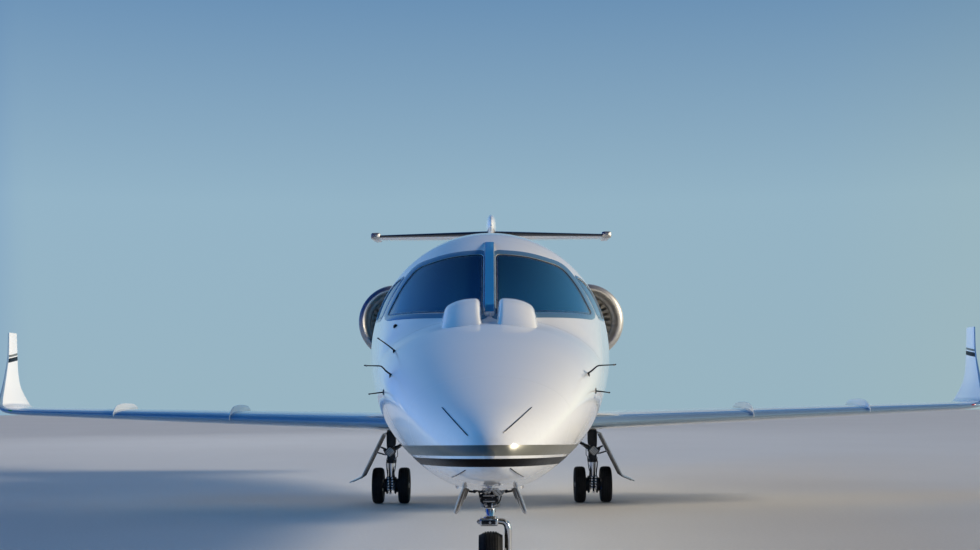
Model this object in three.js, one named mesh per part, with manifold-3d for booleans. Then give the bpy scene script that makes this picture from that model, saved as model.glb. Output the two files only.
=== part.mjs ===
// A twin-engined business jet standing on its gear, in millimetres.
// The nose points to -Y, the aircraft's left side to +X, and the ground is Z = 0.
// A station is the distance aft of the nose tip.
import * as THREE from "three";
import { mergeVertices } from "three/addons/utils/BufferGeometryUtils.js";
import Module from "manifold-3d";

const wasm = await Module();
wasm.setup();

// Driving sizes
const LENGTH = 17880;
const GAP = 0.3;
const MOVING_GAP = 7;
const COVE_GAP = 8;
const FLAP_END_GAP = 14;
const ELEVATOR_END_GAP = 10;
const WALL = 65;
const FLOOR_HEIGHT = 1000;
const FLOOR_THICKNESS = 20;
const BODY_SIDES = 28;
const WHEEL_SIDES = 20;
const BODY_ROUNDNESS = 2.05;
const FAR = 30000;

// The body's sections. Columns: station, half width, top, bottom, height of the widest point.
const BODY = [
  [0, 30, 1108, 1046, 1076],
  [40, 112, 1176, 984, 1080],
  [120, 188, 1240, 943, 1088],
  [250, 272, 1307, 909, 1122],
  [450, 368, 1383, 876, 1186],
  [750, 482, 1503, 838, 1277],
  [1100, 590, 1632, 802, 1360],
  [1500, 686, 1762, 795, 1434],
  [1850, 752, 1857, 787, 1480],
  [2150, 799, 1930, 778, 1514],
  [2450, 838, 2085, 765, 1546],
  [2750, 873, 2240, 750, 1580],
  [3050, 906, 2394, 735, 1614],
  [3350, 938, 2545, 716, 1650],
  [3550, 960, 2636, 703, 1680],
  [3750, 980, 2704, 692, 1702],
  [4200, 980, 2762, 690, 1722],
  [10300, 980, 2765, 690, 1722],
  [11000, 905, 2765, 726, 1745],
  [11700, 800, 2762, 812, 1795],
  [12400, 700, 2755, 940, 1860],
  [13100, 610, 2742, 1092, 1928],
  [13900, 510, 2712, 1290, 2003],
  [14700, 402, 2660, 1510, 2075],
  [15500, 285, 2575, 1740, 2142],
  [16300, 160, 2440, 1985, 2205],
];
// The body's panels join at these stations.
const RADOME_END = 750;
const NOSE_END = 2150;
const COCKPIT_END = 3750;
const CABIN_END = 10300;
const BODY_END = 16300;
const FRONT_BULKHEAD = 90;
const REAR_BULKHEAD = 130;
const REAR_BAY = [10430, 13900];

// Lifting surfaces. Columns: span position, leading edge, trailing edge, height, thickness ratio.
const WING = [
  [400, 7727, 10370, 1014, 0.088],
  [5900, 9331, 10639, 1165.5, 0.0785],
];
// Columns: span position, leading edge, trailing edge, height, thickness ratio, turn up in degrees.
const WINGLET = [
  [5900, 9331, 10639, 1165.5, 0.078, 0],
  [6060, 9385, 10645, 1175, 0.078, 7],
  [6170, 9445, 10645, 1195, 0.078, 24],
  [6235, 9510, 10635, 1235, 0.078, 48],
  [6268, 9600, 10610, 1300, 0.078, 68],
  [6343, 9905, 10560, 1480, 0.075, 71.5],
  [6400, 10135, 10620, 1650, 0.072, 71.5],
  [6474, 10407, 10775, 1874, 0.07, 71.5],
  [6590, 10720, 11040, 2220, 0.07, 71.5],
];
const STABILIZER = [
  [0, 16100, 17430, 4190, 0.1],
  [2200, 17090, 17860, 4258, 0.09],
];
// Columns: height, leading edge, trailing edge, thickness ratio.
const FIN = [
  [2430, 12000, 16130, 0.045],
  [2775, 12330, 16330, 0.047],
  [2860, 13250, 16400, 0.058],
  [3010, 13960, 16510, 0.07],
  [3220, 14430, 16670, 0.078],
  [4140, 15740, 17350, 0.085],
];
// Control surfaces. Spans and hinge places as fractions of the chord.
const AILERON = { from: 3960, to: 5650, hinge: 0.76 };
const FLAP = { from: 1130, to: 3900, hinge: 0.77 };
const SPOILER = { from: 1500, to: 3000, front: 0.6, back: 0.73, plate: 16, recess: 24 };
const ELEVATOR = { from: 190, to: 2040, hinge: 0.7 };
const RUDDER = { bottom: 3010, top: 4070, bottomHinge: 15790, topHinge: 16800, endGap: 32 };
// The squared tips of the stabilizer. Columns: station, half width, half height.
const TAIL_TIPS = [
  [17000, 30, 20],
  [17030, 76, 52],
  [17090, 90, 64],
  [17600, 84, 60],
  [17860, 50, 30],
];
const TAIL_TIP_MIDDLE = { across: 2150, height: 4260 };
// The bullet fairing where fin and stabilizer meet. Columns: station, half width, top, bottom.
const BULLET = [
  [15560, 12, 4290, 4240],
  [15700, 54, 4390, 4180],
  [16000, 82, 4490, 4150],
  [16500, 92, 4570, 4144],
  [16900, 88, 4585, 4144],
  [17250, 66, 4540, 4146],
  [17520, 36, 4440, 4180],
  [17660, 10, 4340, 4250],
];
// A ventral fin's corners on its own plane: station, distance out, corner radius.
const VENTRAL_FIN = [
  [13950, 380, 5],
  [16150, 150, 5],
  [16250, 640, 30],
  [15850, 700, 60],
];
const VENTRAL_PLANE = { down: 52, height: 2010, thickness: 24 };
const LEG_WELL = { halfWidth: 105, halfLength: 125 };
const JACK_PAD = { place: [2150, 9080], bottom: 940, top: 1030, radius: 45 };
const FENCES = { spans: [3110, 4620], height: 70, thickness: 8, end: 0.68 };

// Openings in the body, as centre station, centre height, length, height and corner radius.
const DOORWAY = { station: 4230, height: 1742, length: 660, tall: 1395, corner: 110, split: 1745 };
const BAGGAGE = { station: 11525, height: 1600, length: 750, tall: 500, corner: 70, thickness: 42 };
const CABIN_WINDOW = { height: 2025, length: 300, tall: 400, corner: 120 };
const LEFT_WINDOWS = [5150, 6050, 6950, 7850, 8750];
const RIGHT_WINDOWS = [4250, ...LEFT_WINDOWS];
const PANE_DEPTH = 5;
const PANE_THICKNESS = 24;
// Corners of the left windshield pane seen from the front: across, height, corner radius.
const WINDSHIELD = [
  [48, 1946, 20],
  [330, 1972, 60],
  [796, 1984, 42],
  [695, 2240, 90],
  [580, 2403, 70],
  [300, 2474, 90],
  [48, 2490, 40],
];
// Corners of a cockpit side window seen from the side: station, height, corner radius.
const SIDE_WINDOW = [
  [3235, 1985, 40],
  [3640, 1985, 60],
  [3640, 2290, 70],
  [3500, 2330, 60],
];
const POST = { halfWidth: 36, rise: 38, from: 2215, to: 3480 };
// A warm-air fairing ahead of a pane. Columns: station, height of its top beside the post.
const FAIRING = [
  [1860, 1832],
  [1890, 1876],
  [1940, 1930],
  [2010, 1985],
  [2090, 2035],
  [2180, 2064],
  [2250, 2070],
  [2300, 2040],
];
// The low saddle that joins the two fairings under the foot of the post.
const SADDLE = { halfWidth: 80, from: 2220, to: 2290, rise: 10 };
const FAIRING_ACROSS = { inner: 66, outer: 322, arch: 0.00112, sink: 60 };

// Engines
const ENGINE = { across: 1310, height: 2340, sides: 20, coreSides: 14 };
// Columns: station, radius. The outside from the lip back, then the duct from the nozzle forward.
const NACELLE_OUTSIDE = [
  [10600, 430],
  [10615, 458],
  [10670, 483],
  [10800, 503],
  [11200, 519],
  [11900, 516],
  [12600, 478],
  [13550, 385],
];
const NACELLE_DUCT = [
  [13550, 367],
  [12700, 436],
  [11900, 448],
  [11400, 404],
  [11250, 378],
  [10850, 378],
  [10700, 388],
  [10620, 408],
  [10600, 430],
];
const ENGINE_CORE = [
  [11300, 0],
  [11300, 366],
  [11560, 366],
  [11800, 300],
  [12600, 292],
  [13050, 240],
  [13500, 150],
  [13860, 24],
  [13860, 0],
];
const SPINNER = [
  [10850, 0],
  [10880, 42],
  [10960, 92],
  [11080, 132],
  [11230, 142],
  [11230, 0],
];
// Columns of the blade's angles: at its root and at its tip, in degrees off the engine's axis.
const FAN = { blades: 12, root: 118, tip: 362, front: 11030, back: 11200, thickness: 12, twist: [34, 62] };
const PYLON = { inner: 480, outer: 870, front: 11150, back: 13150, thickness: 118 };

// Undercarriage
const NOSE_GEAR = { station: 1960, trail: 35, axle: 228.5, legBottom: 622, bayTop: 1010, halfBay: 172 };
const MAIN_GEAR = { across: 1260, station: 9450, axle: 222.5, halfTrack: 162, shaft: 20, bore: 27, wellTop: 1024 };
// Bars of the nose leg. Columns: one end, other end, radius. An end is across, station, height.
const NOSE_LEG_BARS = [
  [[0, 1960, 622], [0, 1960, 1009.7], 58],
  [[0, 1960, 622], [0, 1960, 662], 72],
  [[0, 1960, 760], [0, 1420, 984], 22],
  [[-150, 1960, 960], [150, 1960, 960], 26],
];
const NOSE_LEG_BLOCK = [[-84, 2000, 700], [84, 2050, 790]];
const NOSE_STEM = { bottom: 545, radius: 30, clearance: 4 };
const NOSE_CROWN = { bottom: 520, top: 590, radius: 52 };
const NOSE_YOKE = [[-62, 1926, 486], [110, 2012, 546]];
const NOSE_ARM = { inside: 100, outside: 141 };
const NOSE_AXLE = { inside: -70, radius: 18, cap: 36 };
// The one-sided fork arm from the side. Columns: station, height, corner radius.
const NOSE_ARM_SIDE = [
  [1924, 548, 12],
  [2016, 548, 12],
  [2039, 248.5, 30],
  [2023, 186.5, 24],
  [1963, 186.5, 24],
  [1947, 288.5, 40],
];
// A nose gear door from the front. Columns: across, height, corner radius.
const NOSE_DOOR = [
  [167, 836, 1],
  [181, 836, 1],
  [240, 600, 1],
  [226, 598, 1],
];
const NOSE_DOOR_SPAN = [1400, 2050];
// Bars of a main leg about its own middle. Columns: one end, other end, radius, end radius.
const MAIN_LEG_BARS = [
  [[0, 0, 222.5], [0, 0, 520], 36, 36],
  [[0, 0, 500], [0, 0, 1018], 54, 54],
  [[0, 0, 500], [0, 0, 560], 66, 66],
  [[-100, 0, 970], [100, 0, 970], 34, 34],
  [[0, 0, 640], [-256, 0, 812], 26, 26],
  [[0, 0, 640], [142, 20, 700], 14, 14],
  [[25, -76, 635], [25, -30, 635], 62, 44],
  [[-46, 0, 222.5], [46, 0, 222.5], 50, 50],
  [[-60, 0, 222.5], [60, 0, 222.5], 62, 62],
  [[-104, 0, 222.5], [-52, 0, 222.5], 86, 86],
  [[52, 0, 222.5], [104, 0, 222.5], 86, 86],
];
// Its torque links as boxes. Columns: low corner, high corner.
const TORQUE_LINKS = [
  [[-26, 30, 300], [26, 120, 330]],
  [[-26, 30, 560], [26, 120, 590]],
  [[-20, 96, 300], [20, 120, 590]],
];
// A main gear door from the front. Columns: across, height, corner radius.
const MAIN_DOOR = [
  [1336, 868, 1],
  [1352, 872, 1],
  [1612, 348, 10],
  [1756, 288, 1],
  [1750, 274, 1],
  [1600, 336, 10],
];
const MAIN_DOOR_SPAN = [9150, 9725];
// Tyre profiles. Columns: place across, radius.
const NOSE_TYRE = [
  [-44, 112],
  [-62, 150],
  [-60, 186],
  [-82, 200],
  [-58, 212],
  [-36, 226],
  [0, 228.5],
  [36, 226],
  [58, 212],
  [82, 200],
  [60, 186],
  [62, 150],
  [44, 112],
];
const MAIN_TYRE = [
  [-50, 112],
  [-68, 160],
  [-66, 200],
  [-34, 221],
  [0, 222.5],
  [34, 221],
  [66, 200],
  [68, 160],
  [50, 112],
];
const RIM = { radius: 111.7, halfWidth: 50, web: 20, hub: 40, lip: 12, bore: 23 };

// Finishes
const finish = (color, roughness, metalness) => ({ color, roughness, metalness });
const WHITE_PAINT = finish(0xf2f1ec, 0.16, 0.05);
const DARK_GLASS = finish(0x10202c, 0.06, 0.1);
const POLISHED_METAL = finish(0xc9ccd0, 0.16, 1);
const DARK_METAL = finish(0x2b2d31, 0.42, 0.6);
const GEAR_PAINT = finish(0x8e9296, 0.45, 0.3);
const RUBBER = finish(0x1c1c1d, 0.85, 0);
const LEATHER = finish(0xb9a98e, 0.6, 0);
const CARPET = finish(0x6c655c, 0.95, 0);
const PANEL_PLASTIC = finish(0x26282b, 0.7, 0);

const jet = new THREE.Group();

// Solids and how they are joined

// A closed geometry as a solid, with its faces turned out.
function solidOf(geometry) {
  const bare = geometry.clone();
  bare.deleteAttribute("normal");
  bare.deleteAttribute("uv");
  const welded = mergeVertices(bare, 1e-2);
  const corners = welded.index.array;
  const kept = [];
  for (let i = 0; i < corners.length; i += 3) {
    const [a, b, c] = corners.slice(i, i + 3);
    if (a !== b && b !== c && c !== a) kept.push(a, b, c);
  }
  const make = (triangles) =>
    new wasm.Manifold(
      new wasm.Mesh({
        numProp: 3,
        vertProperties: welded.attributes.position.array,
        triVerts: Uint32Array.from(triangles),
      }),
    );
  const made = make(kept);
  return made.volume() < 0 ? make(kept.reverse()) : made;
}

function geometryOf(solid) {
  const mesh = solid.getMesh();
  const geometry = new THREE.BufferGeometry();
  geometry.setAttribute("position", new THREE.BufferAttribute(mesh.vertProperties, 3));
  geometry.setIndex(new THREE.BufferAttribute(mesh.triVerts, 1));
  geometry.computeVertexNormals();
  return geometry;
}

const join = (first, ...others) => others.reduce((all, one) => all.add(one), first);
const cut = (first, ...others) => others.reduce((all, one) => all.subtract(one), first);
const mirrored = (solid) => solidOf(geometryOf(solid).scale(-1, 1, 1));
const yOf = (station) => station - LENGTH / 2;

// Skins rings of points of equal number, and closes both ends about their middles.
// Four-sided faces are split so that the two sides of the aircraft are mirror images.
function loft(rings) {
  const sides = rings[0].length;
  const middle = (ring) =>
    ring.reduce((sum, p) => sum.add(p), new THREE.Vector3()).divideScalar(sides);
  const points = [...rings.flat(), middle(rings[0]), middle(rings.at(-1))];
  const index = [];
  for (let r = 0; r + 1 < rings.length; r++)
    for (let i = 0; i < sides; i++) {
      const [a, b] = [r * sides + i, r * sides + ((i + 1) % sides)];
      const [c, d] = [b + sides, a + sides];
      const onRight = points[a].x + points[b].x < 0;
      index.push(...(onRight ? [a, b, d, b, c, d] : [a, b, c, a, c, d]));
    }
  const last = (rings.length - 1) * sides;
  for (let i = 0; i < sides; i++) {
    const j = (i + 1) % sides;
    index.push(points.length - 2, j, i, points.length - 1, last + i, last + j);
  }
  const geometry = new THREE.BufferGeometry().setFromPoints(points);
  geometry.setIndex(index);
  return solidOf(geometry);
}

// A box between two corners, each given as [across, station, height].
function box(low, high) {
  const size = high.map((value, i) => value - low[i]);
  const centre = high.map((value, i) => (value + low[i]) / 2);
  return solidOf(new THREE.BoxGeometry(...size).translate(centre[0], yOf(centre[1]), centre[2]));
}

// A round bar between two points given as [across, station, height].
function rod(from, to, radius, endRadius = radius, sides = 12) {
  const start = new THREE.Vector3(from[0], yOf(from[1]), from[2]);
  const run = new THREE.Vector3(to[0], yOf(to[1]), to[2]).sub(start);
  const up = new THREE.Vector3(0, 1, 0);
  const turn = new THREE.Quaternion().setFromUnitVectors(up, run.clone().normalize());
  const geometry = new THREE.CylinderGeometry(endRadius, radius, run.length(), sides);
  geometry.applyQuaternion(turn).translate(...start.addScaledVector(run, 0.5).toArray());
  return solidOf(geometry);
}

// An outline with rounded corners, from rows of across, up and corner radius.
function roundedShape(corners) {
  const shape = new THREE.Shape();
  corners.forEach(([x, y, radius], i) => {
    const corner = new THREE.Vector2(x, y);
    const before = corners[(i + corners.length - 1) % corners.length];
    const after = corners[(i + 1) % corners.length];
    const towards = ([nx, ny]) => new THREE.Vector2(nx, ny).sub(corner).setLength(radius).add(corner);
    const start = towards(before);
    const end = towards(after);
    if (i === 0) shape.moveTo(start.x, start.y);
    else shape.lineTo(start.x, start.y);
    shape.quadraticCurveTo(x, y, end.x, end.y);
  });
  shape.closePath();
  return shape;
}

function rectangle({ station, height, length, tall, corner }, inset = 0) {
  const [halfLength, halfTall] = [length / 2 - inset, tall / 2 - inset];
  return [
    [station - halfLength, height - halfTall, corner],
    [station + halfLength, height - halfTall, corner],
    [station + halfLength, height + halfTall, corner],
    [station - halfLength, height + halfTall, corner],
  ];
}

// Draws a corner list in towards its middle by about an inset.
function inset(corners, amount) {
  const middle = [0, 1].map((k) => corners.reduce((sum, c) => sum + c[k], 0) / corners.length);
  return corners.map(([x, y, radius]) => [
    x - Math.sign(x - middle[0]) * amount,
    y - Math.sign(y - middle[1]) * amount,
    radius,
  ]);
}

function prism(shape, start, depth, across, up, along) {
  const geometry = new THREE.ExtrudeGeometry(shape, { depth, bevelEnabled: false, curveSegments: 2 });
  geometry.translate(0, 0, start);
  return solidOf(geometry.applyMatrix4(new THREE.Matrix4().makeBasis(across, up, along)));
}
const X = new THREE.Vector3(1, 0, 0);
const Y = new THREE.Vector3(0, 1, 0);
const Z = new THREE.Vector3(0, 0, 1);
// An outline of stations and heights, pushed along X between two places.
function sideways(corners, from, to) {
  const placed = corners.map(([station, height, radius]) => [yOf(station), height, radius]);
  return prism(roundedShape(placed), from, to - from, Y, Z, X);
}
// An outline of places across and heights, pushed along the body between two stations.
const lengthways = (corners, from, to) =>
  prism(roundedShape(corners), yOf(from), to - from, X, Z, Y);

// A solid of revolution about an axis along Y, from rows of station and radius.
function turned(profile, sides) {
  const points = profile.map(([station, radius]) => new THREE.Vector2(radius, yOf(station)));
  return solidOf(new THREE.LatheGeometry(points, sides));
}

// Adding pieces

function meshOf(name, solid, look) {
  const mesh = new THREE.Mesh(geometryOf(solid), new THREE.MeshStandardMaterial(look));
  mesh.name = name;
  return mesh;
}
function add(name, solid, look, parent = jet) {
  const mesh = meshOf(name, solid, look);
  parent.add(mesh);
  return mesh;
}
function addPair(name, solid, look) {
  return [add(name + "_left", solid, look), add(name + "_right", mirrored(solid), look)];
}
// A group at a hinge, turned so that its own X is the hinge's axis, which the pieces are hung on.
function hinge(name, at, axis, pieces) {
  const pivot = new THREE.Group();
  pivot.name = "hinge_" + name;
  pivot.position.copy(at);
  pivot.quaternion.setFromUnitVectors(X, axis.clone().normalize());
  jet.add(pivot);
  pieces.forEach((piece) => pivot.attach(piece));
  return pivot;
}
// The same hinge on both sides. Positive angles are mirror images of each other.
function hingePair(name, at, axis, [left, right]) {
  hinge(name + "_left", at, axis, [left]);
  const acrossAt = new THREE.Vector3(-at.x, at.y, at.z);
  hinge(name + "_right", acrossAt, new THREE.Vector3(axis.x, -axis.y, -axis.z), [right]);
}

// Body

// A smooth curve through the body table's rows that never overshoots them.
function bodyValue(column, station) {
  const last = BODY.length - 1;
  const next = BODY.findIndex((row) => row[0] >= station);
  const i = next <= 0 ? 0 : next - 1;
  const slope = (k) => (BODY[k + 1][column] - BODY[k][column]) / (BODY[k + 1][0] - BODY[k][0]);
  const tangent = (k) => {
    if (k === 0) return slope(0);
    if (k === last) return slope(last - 1);
    const [a, b] = [slope(k - 1), slope(k)];
    return a * b <= 0 ? 0 : (2 * a * b) / (a + b);
  };
  const span = BODY[i + 1][0] - BODY[i][0];
  const t = (station - BODY[i][0]) / span;
  const rise = BODY[i + 1][column] - BODY[i][column];
  const ease = t * t * (3 - 2 * t);
  const start = t * (1 - t) * (1 - t) * span * tangent(i);
  const end = t * t * (t - 1) * span * tangent(i + 1);
  return BODY[i][column] + rise * ease + start + end;
}
function bodySection(station, depth) {
  const [halfWidth, top, bottom, widest] = [1, 2, 3, 4].map((k) => bodyValue(k, station));
  return { halfWidth: halfWidth - depth, top: top - depth, bottom: bottom + depth, widest };
}
function bodyRing(station, depth) {
  const { halfWidth, top, bottom, widest } = bodySection(station, depth);
  const power = 2 / BODY_ROUNDNESS;
  return Array.from({ length: BODY_SIDES }, (_, i) => {
    const angle = (i / BODY_SIDES) * 2 * Math.PI;
    const [c, s] = [Math.cos(angle), Math.sin(angle)];
    const reach = s > 0 ? top - widest : widest - bottom;
    const x = Math.sign(c) * Math.abs(c) ** power * halfWidth;
    return new THREE.Vector3(x, yOf(station), widest + Math.sign(s) * Math.abs(s) ** power * reach);
  });
}
// The body between two stations, drawn in by a depth.
function body(from, to, depth = 0) {
  const between = BODY.map((row) => row[0]).filter((station) => station > from + 1 && station < to - 1);
  return loft([from, ...between, to].map((station) => bodyRing(station, depth)));
}
// Half the body's width at a station and height.
function bodyReach(station, height) {
  const { halfWidth, top, bottom, widest } = bodySection(station, 0);
  const part = Math.abs(height - widest) / (height > widest ? top - widest : widest - bottom);
  return halfWidth * (1 - part ** BODY_ROUNDNESS) ** (1 / BODY_ROUNDNESS);
}

const grownBody = body(0, BODY_END, -GAP);
const aboveFloor = box([-FAR, 0, FLOOR_HEIGHT], [FAR, LENGTH, FAR]);
const skin = (from, to, outer, inner) => cut(body(from, to, outer), body(from - 50, to + 50, inner));
const leftDoorHole = sideways(rectangle(DOORWAY), 0, FAR);
const windshieldHole = lengthways(WINDSHIELD, NOSE_END - 60, COCKPIT_END - 110);
const sideWindowHole = sideways(SIDE_WINDOW, 0, FAR);
// An outline about the baggage door's middle, pushed out of the tapering tail square to the door's hinge.
function throughTail(corners, reach) {
  const { station, height, length, tall } = BAGGAGE;
  const [front, back] = [-0.5, 0.5].map((way) => bodyReach(station + way * length, height - tall / 2));
  const taper = Math.atan((front - back) / length);
  const placed = corners.map(([s, z, radius]) => [(s - station) / Math.cos(taper), z, radius]);
  const straight = prism(roundedShape(placed), -2 * WALL, reach, Y, Z, X);
  const middle = new THREE.Vector3(bodyReach(station, height), yOf(station), 0);
  const turn = new THREE.Matrix4().makeRotationZ(taper).setPosition(middle);
  return solidOf(geometryOf(straight).applyMatrix4(turn));
}
const cabinWindow = (station, amount) => rectangle({ station, ...CABIN_WINDOW }, amount);

function addFuselage() {
  add("radome", body(0, RADOME_END - GAP / 2), WHITE_PAINT);

  const noseBay = box(
    [-NOSE_GEAR.halfBay, 1330, 0],
    [NOSE_GEAR.halfBay, 2080, NOSE_GEAR.bayTop],
  );
  const jackPad = rod([0, 1180, 760], [0, 1180, 820], 45);
  const nose = join(body(RADOME_END + GAP / 2, NOSE_END - GAP / 2), jackPad);
  add("nose_section", cut(nose, noseBay), WHITE_PAINT);

  const cockpitSpace = body(NOSE_END + FRONT_BULKHEAD, COCKPIT_END + 10, WALL).intersect(aboveFloor);
  const cockpit = cut(
    body(NOSE_END + GAP / 2, COCKPIT_END - GAP / 2),
    cockpitSpace,
    windshieldHole,
    mirrored(windshieldHole),
    sideWindowHole,
    mirrored(sideWindowHole),
  );
  add("cockpit_shell", cockpit, WHITE_PAINT);

  const cabinSpace = body(COCKPIT_END - 10, CABIN_END - REAR_BULKHEAD, WALL).intersect(aboveFloor);
  const cabin = cut(
    body(COCKPIT_END + GAP / 2, CABIN_END - GAP / 2),
    cabinSpace,
    leftDoorHole,
    ...LEFT_WINDOWS.map((station) => sideways(cabinWindow(station, 0), 0, FAR)),
    ...RIGHT_WINDOWS.map((station) => sideways(cabinWindow(station, 0), -FAR, 0)),
  );
  add("cabin_shell", cabin, WHITE_PAINT);

  const [bayFront, bayBack] = REAR_BAY;
  const bayLength = box([-FAR, bayFront, 0], [FAR, bayBack, FAR]);
  const bagSpace = body(CABIN_END, bayBack + 800, WALL).intersect(bayLength);
  const tail = cut(
    body(CABIN_END + GAP / 2, BODY_END),
    bagSpace,
    throughTail(rectangle(BAGGAGE), FAR),
  );
  add("tail_section", tail, WHITE_PAINT);
}

// The fairing under the wing. Columns: station, half width, half height, middle height.
const BELLY = [
  [6700, 470, 215, 945],
  [7250, 880, 305, 950],
  [7900, 1020, 350, 955],
  [8900, 1045, 360, 955],
  [10000, 1010, 350, 955],
  [10800, 800, 290, 955],
  [11400, 440, 190, 990],
];
function bellyRing([station, halfWidth, halfHeight, middle], grow) {
  const power = 2 / 2.5;
  return Array.from({ length: 16 }, (_, i) => {
    const angle = (i / 16) * 2 * Math.PI;
    const [c, s] = [Math.cos(angle), Math.sin(angle)];
    const x = Math.sign(c) * Math.abs(c) ** power * (halfWidth + grow);
    const z = middle + Math.sign(s) * Math.abs(s) ** power * (halfHeight + grow);
    return new THREE.Vector3(x, yOf(station), z);
  });
}

function addGlass() {
  const nearWindshield = skin(NOSE_END, COCKPIT_END, PANE_DEPTH, PANE_DEPTH + PANE_THICKNESS);
  const windshield = lengthways(inset(WINDSHIELD, 1), NOSE_END, 3640);
  addPair("windshield", nearWindshield.intersect(windshield), DARK_GLASS);
  const sideWindow = sideways(inset(SIDE_WINDOW, 1), 0, FAR);
  addPair("cockpit_side_window", nearWindshield.intersect(sideWindow), DARK_GLASS);

  const rows = [
    ["cabin_windows_left", LEFT_WINDOWS, [0, FAR]],
    ["cabin_windows_right", RIGHT_WINDOWS, [-FAR, 0]],
  ];
  const beltDepth = [WALL + 1, WALL + 13];
  for (const [name, stations, [from, to]] of rows) {
    const band = box([from, stations[0] - 260, 1760], [to, stations.at(-1) + 300, 2290]);
    const belt = skin(COCKPIT_END, CABIN_END, ...beltDepth).intersect(band);
    const panes = stations.map((station) => sideways(cabinWindow(station, 1.5), from, to));
    const plugs = skin(COCKPIT_END, CABIN_END, 10, WALL + 6).intersect(join(...panes));
    add(name, join(belt, plugs), DARK_GLASS);
  }
}

function addWindshieldPost() {
  const steps = [0, 0.25, 0.5, 0.75, 1];
  const ridge = ({ halfWidth, from, to }, riseAt) =>
    loft(
      steps.map((t) => {
        const station = from + t * (to - from);
        const top = bodyValue(2, station) + riseAt(t);
        const bottom = bodyValue(2, station) - 60;
        return [
          [-halfWidth - 8, bottom],
          [halfWidth + 8, bottom],
          [halfWidth, top],
          [-halfWidth, top],
        ].map(([x, z]) => new THREE.Vector3(x, yOf(station), z));
      }),
    );
  const post = ridge(POST, (t) => POST.rise * Math.min(1, 4 * (1 - t) + 0.15));
  const saddle = ridge(SADDLE, () => SADDLE.rise);
  const { inner, outer, arch, sink } = FAIRING_ACROSS;
  // Columns: share of the way out, share of the height above the base.
  const outline = [
    [0, 0],
    [0, 0.82],
    [0.03, 0.95],
    [0.1, 1],
    [0.35, 1],
    [0.65, 1],
    [0.88, 1],
    [0.97, 0.93],
    [1, 0.8],
    [1, 0],
  ];
  const humpRings = FAIRING.map(([station, top]) => {
    const base = bodyValue(2, station) - sink;
    return outline.map(([out, up]) => {
      const x = inner + out * (outer - inner);
      const z = base + up * (top - arch * (x - inner) ** 2 - base);
      return new THREE.Vector3(x, yOf(station), z);
    });
  });
  const hump = loft(humpRings);
  const all = join(post, saddle, hump, mirrored(hump));
  const grown = body(0, COCKPIT_END, -GAP);
  add("windshield_post", cut(all, grown), WHITE_PAINT);
}

function addDoors() {
  const opening = rectangle(DOORWAY, MOVING_GAP);
  const leaf = skin(COCKPIT_END, CABIN_END, 0, WALL).intersect(sideways(opening, 0, FAR));
  const halfGap = MOVING_GAP / 2;
  const below = box([-FAR, 0, 0], [FAR, LENGTH, DOORWAY.split - halfGap]);
  const above = box([-FAR, 0, DOORWAY.split + halfGap], [FAR, LENGTH, FAR]);
  const upper = add("entry_door_upper", leaf.intersect(above), WHITE_PAINT);
  const lower = add("entry_door_lower", leaf.intersect(below), WHITE_PAINT);
  const standOff = 4;
  const edge = DOORWAY.tall / 2 - halfGap;
  const doorHinge = (height) =>
    new THREE.Vector3(bodyReach(DOORWAY.station, height) + standOff, yOf(DOORWAY.station), height);
  hinge("entry_door_upper", doorHinge(DOORWAY.height + edge), Y.clone().negate(), [upper]);
  hinge("entry_door_lower", doorHinge(DOORWAY.height - edge), Y, [lower]);

  const bagHole = throughTail(rectangle(BAGGAGE, MOVING_GAP), FAR);
  const bagLeaf = skin(CABIN_END, 12400, 0, BAGGAGE.thickness).intersect(bagHole);
  const bag = add("baggage_door", bagLeaf, WHITE_PAINT);
  const sill = BAGGAGE.height - BAGGAGE.tall / 2 + halfGap;
  const ends = [-1, 1].map((way) => {
    const station = BAGGAGE.station + (way * BAGGAGE.length) / 2;
    return new THREE.Vector3(bodyReach(station, sill) + standOff, yOf(station), sill);
  });
  const bagAxis = ends[1].clone().sub(ends[0]);
  hinge("baggage_door", ends[0].clone().lerp(ends[1], 0.5), bagAxis, [bag]);
}

// Inside, as seen through the glass

// A seat's side view. Columns: distance behind its front, height above the floor, corner radius.
const SEAT_SIDE = [
  [60, 0, 4],
  [470, 0, 4],
  [470, 230, 10],
  [590, 330, 30],
  [690, 1190, 40],
  [590, 1190, 40],
  [490, 440, 50],
  [0, 460, 40],
  [0, 290, 30],
];
function seat(across, halfWidth, front, facing) {
  const floor = FLOOR_HEIGHT + FLOOR_THICKNESS + 5;
  const corners = SEAT_SIDE.map(([back, up, radius]) => [front + facing * back, floor + up, radius]);
  return sideways(corners, across - halfWidth, across + halfWidth);
}
// Columns: how far out a seat stands, its half width, the station of its front, which way it looks.
const CREW_SEATS = [[385, 212, 3190, 1]];
const CABIN_SEATS = [
  [405, 205, 5600, -1],
  [405, 205, 6150, 1],
  [405, 205, 7350, 1],
  [405, 205, 8550, 1],
];
const RAIL_HEIGHT = 10;
const CREW_RAILS = { halfWidth: 560, from: 3250, to: 3860 };
const CABIN_RAILS = { halfWidth: 600, from: 4960, to: 9200 };
const PANEL = { from: 2690, to: 2960, bottom: 1480, top: 1890 };
const PEDESTAL = { halfWidth: 130, from: 2700, to: 3330, top: 1500, room: 10 };
const LINING = { clearance: 20, depth: WALL + 14 };

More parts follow.
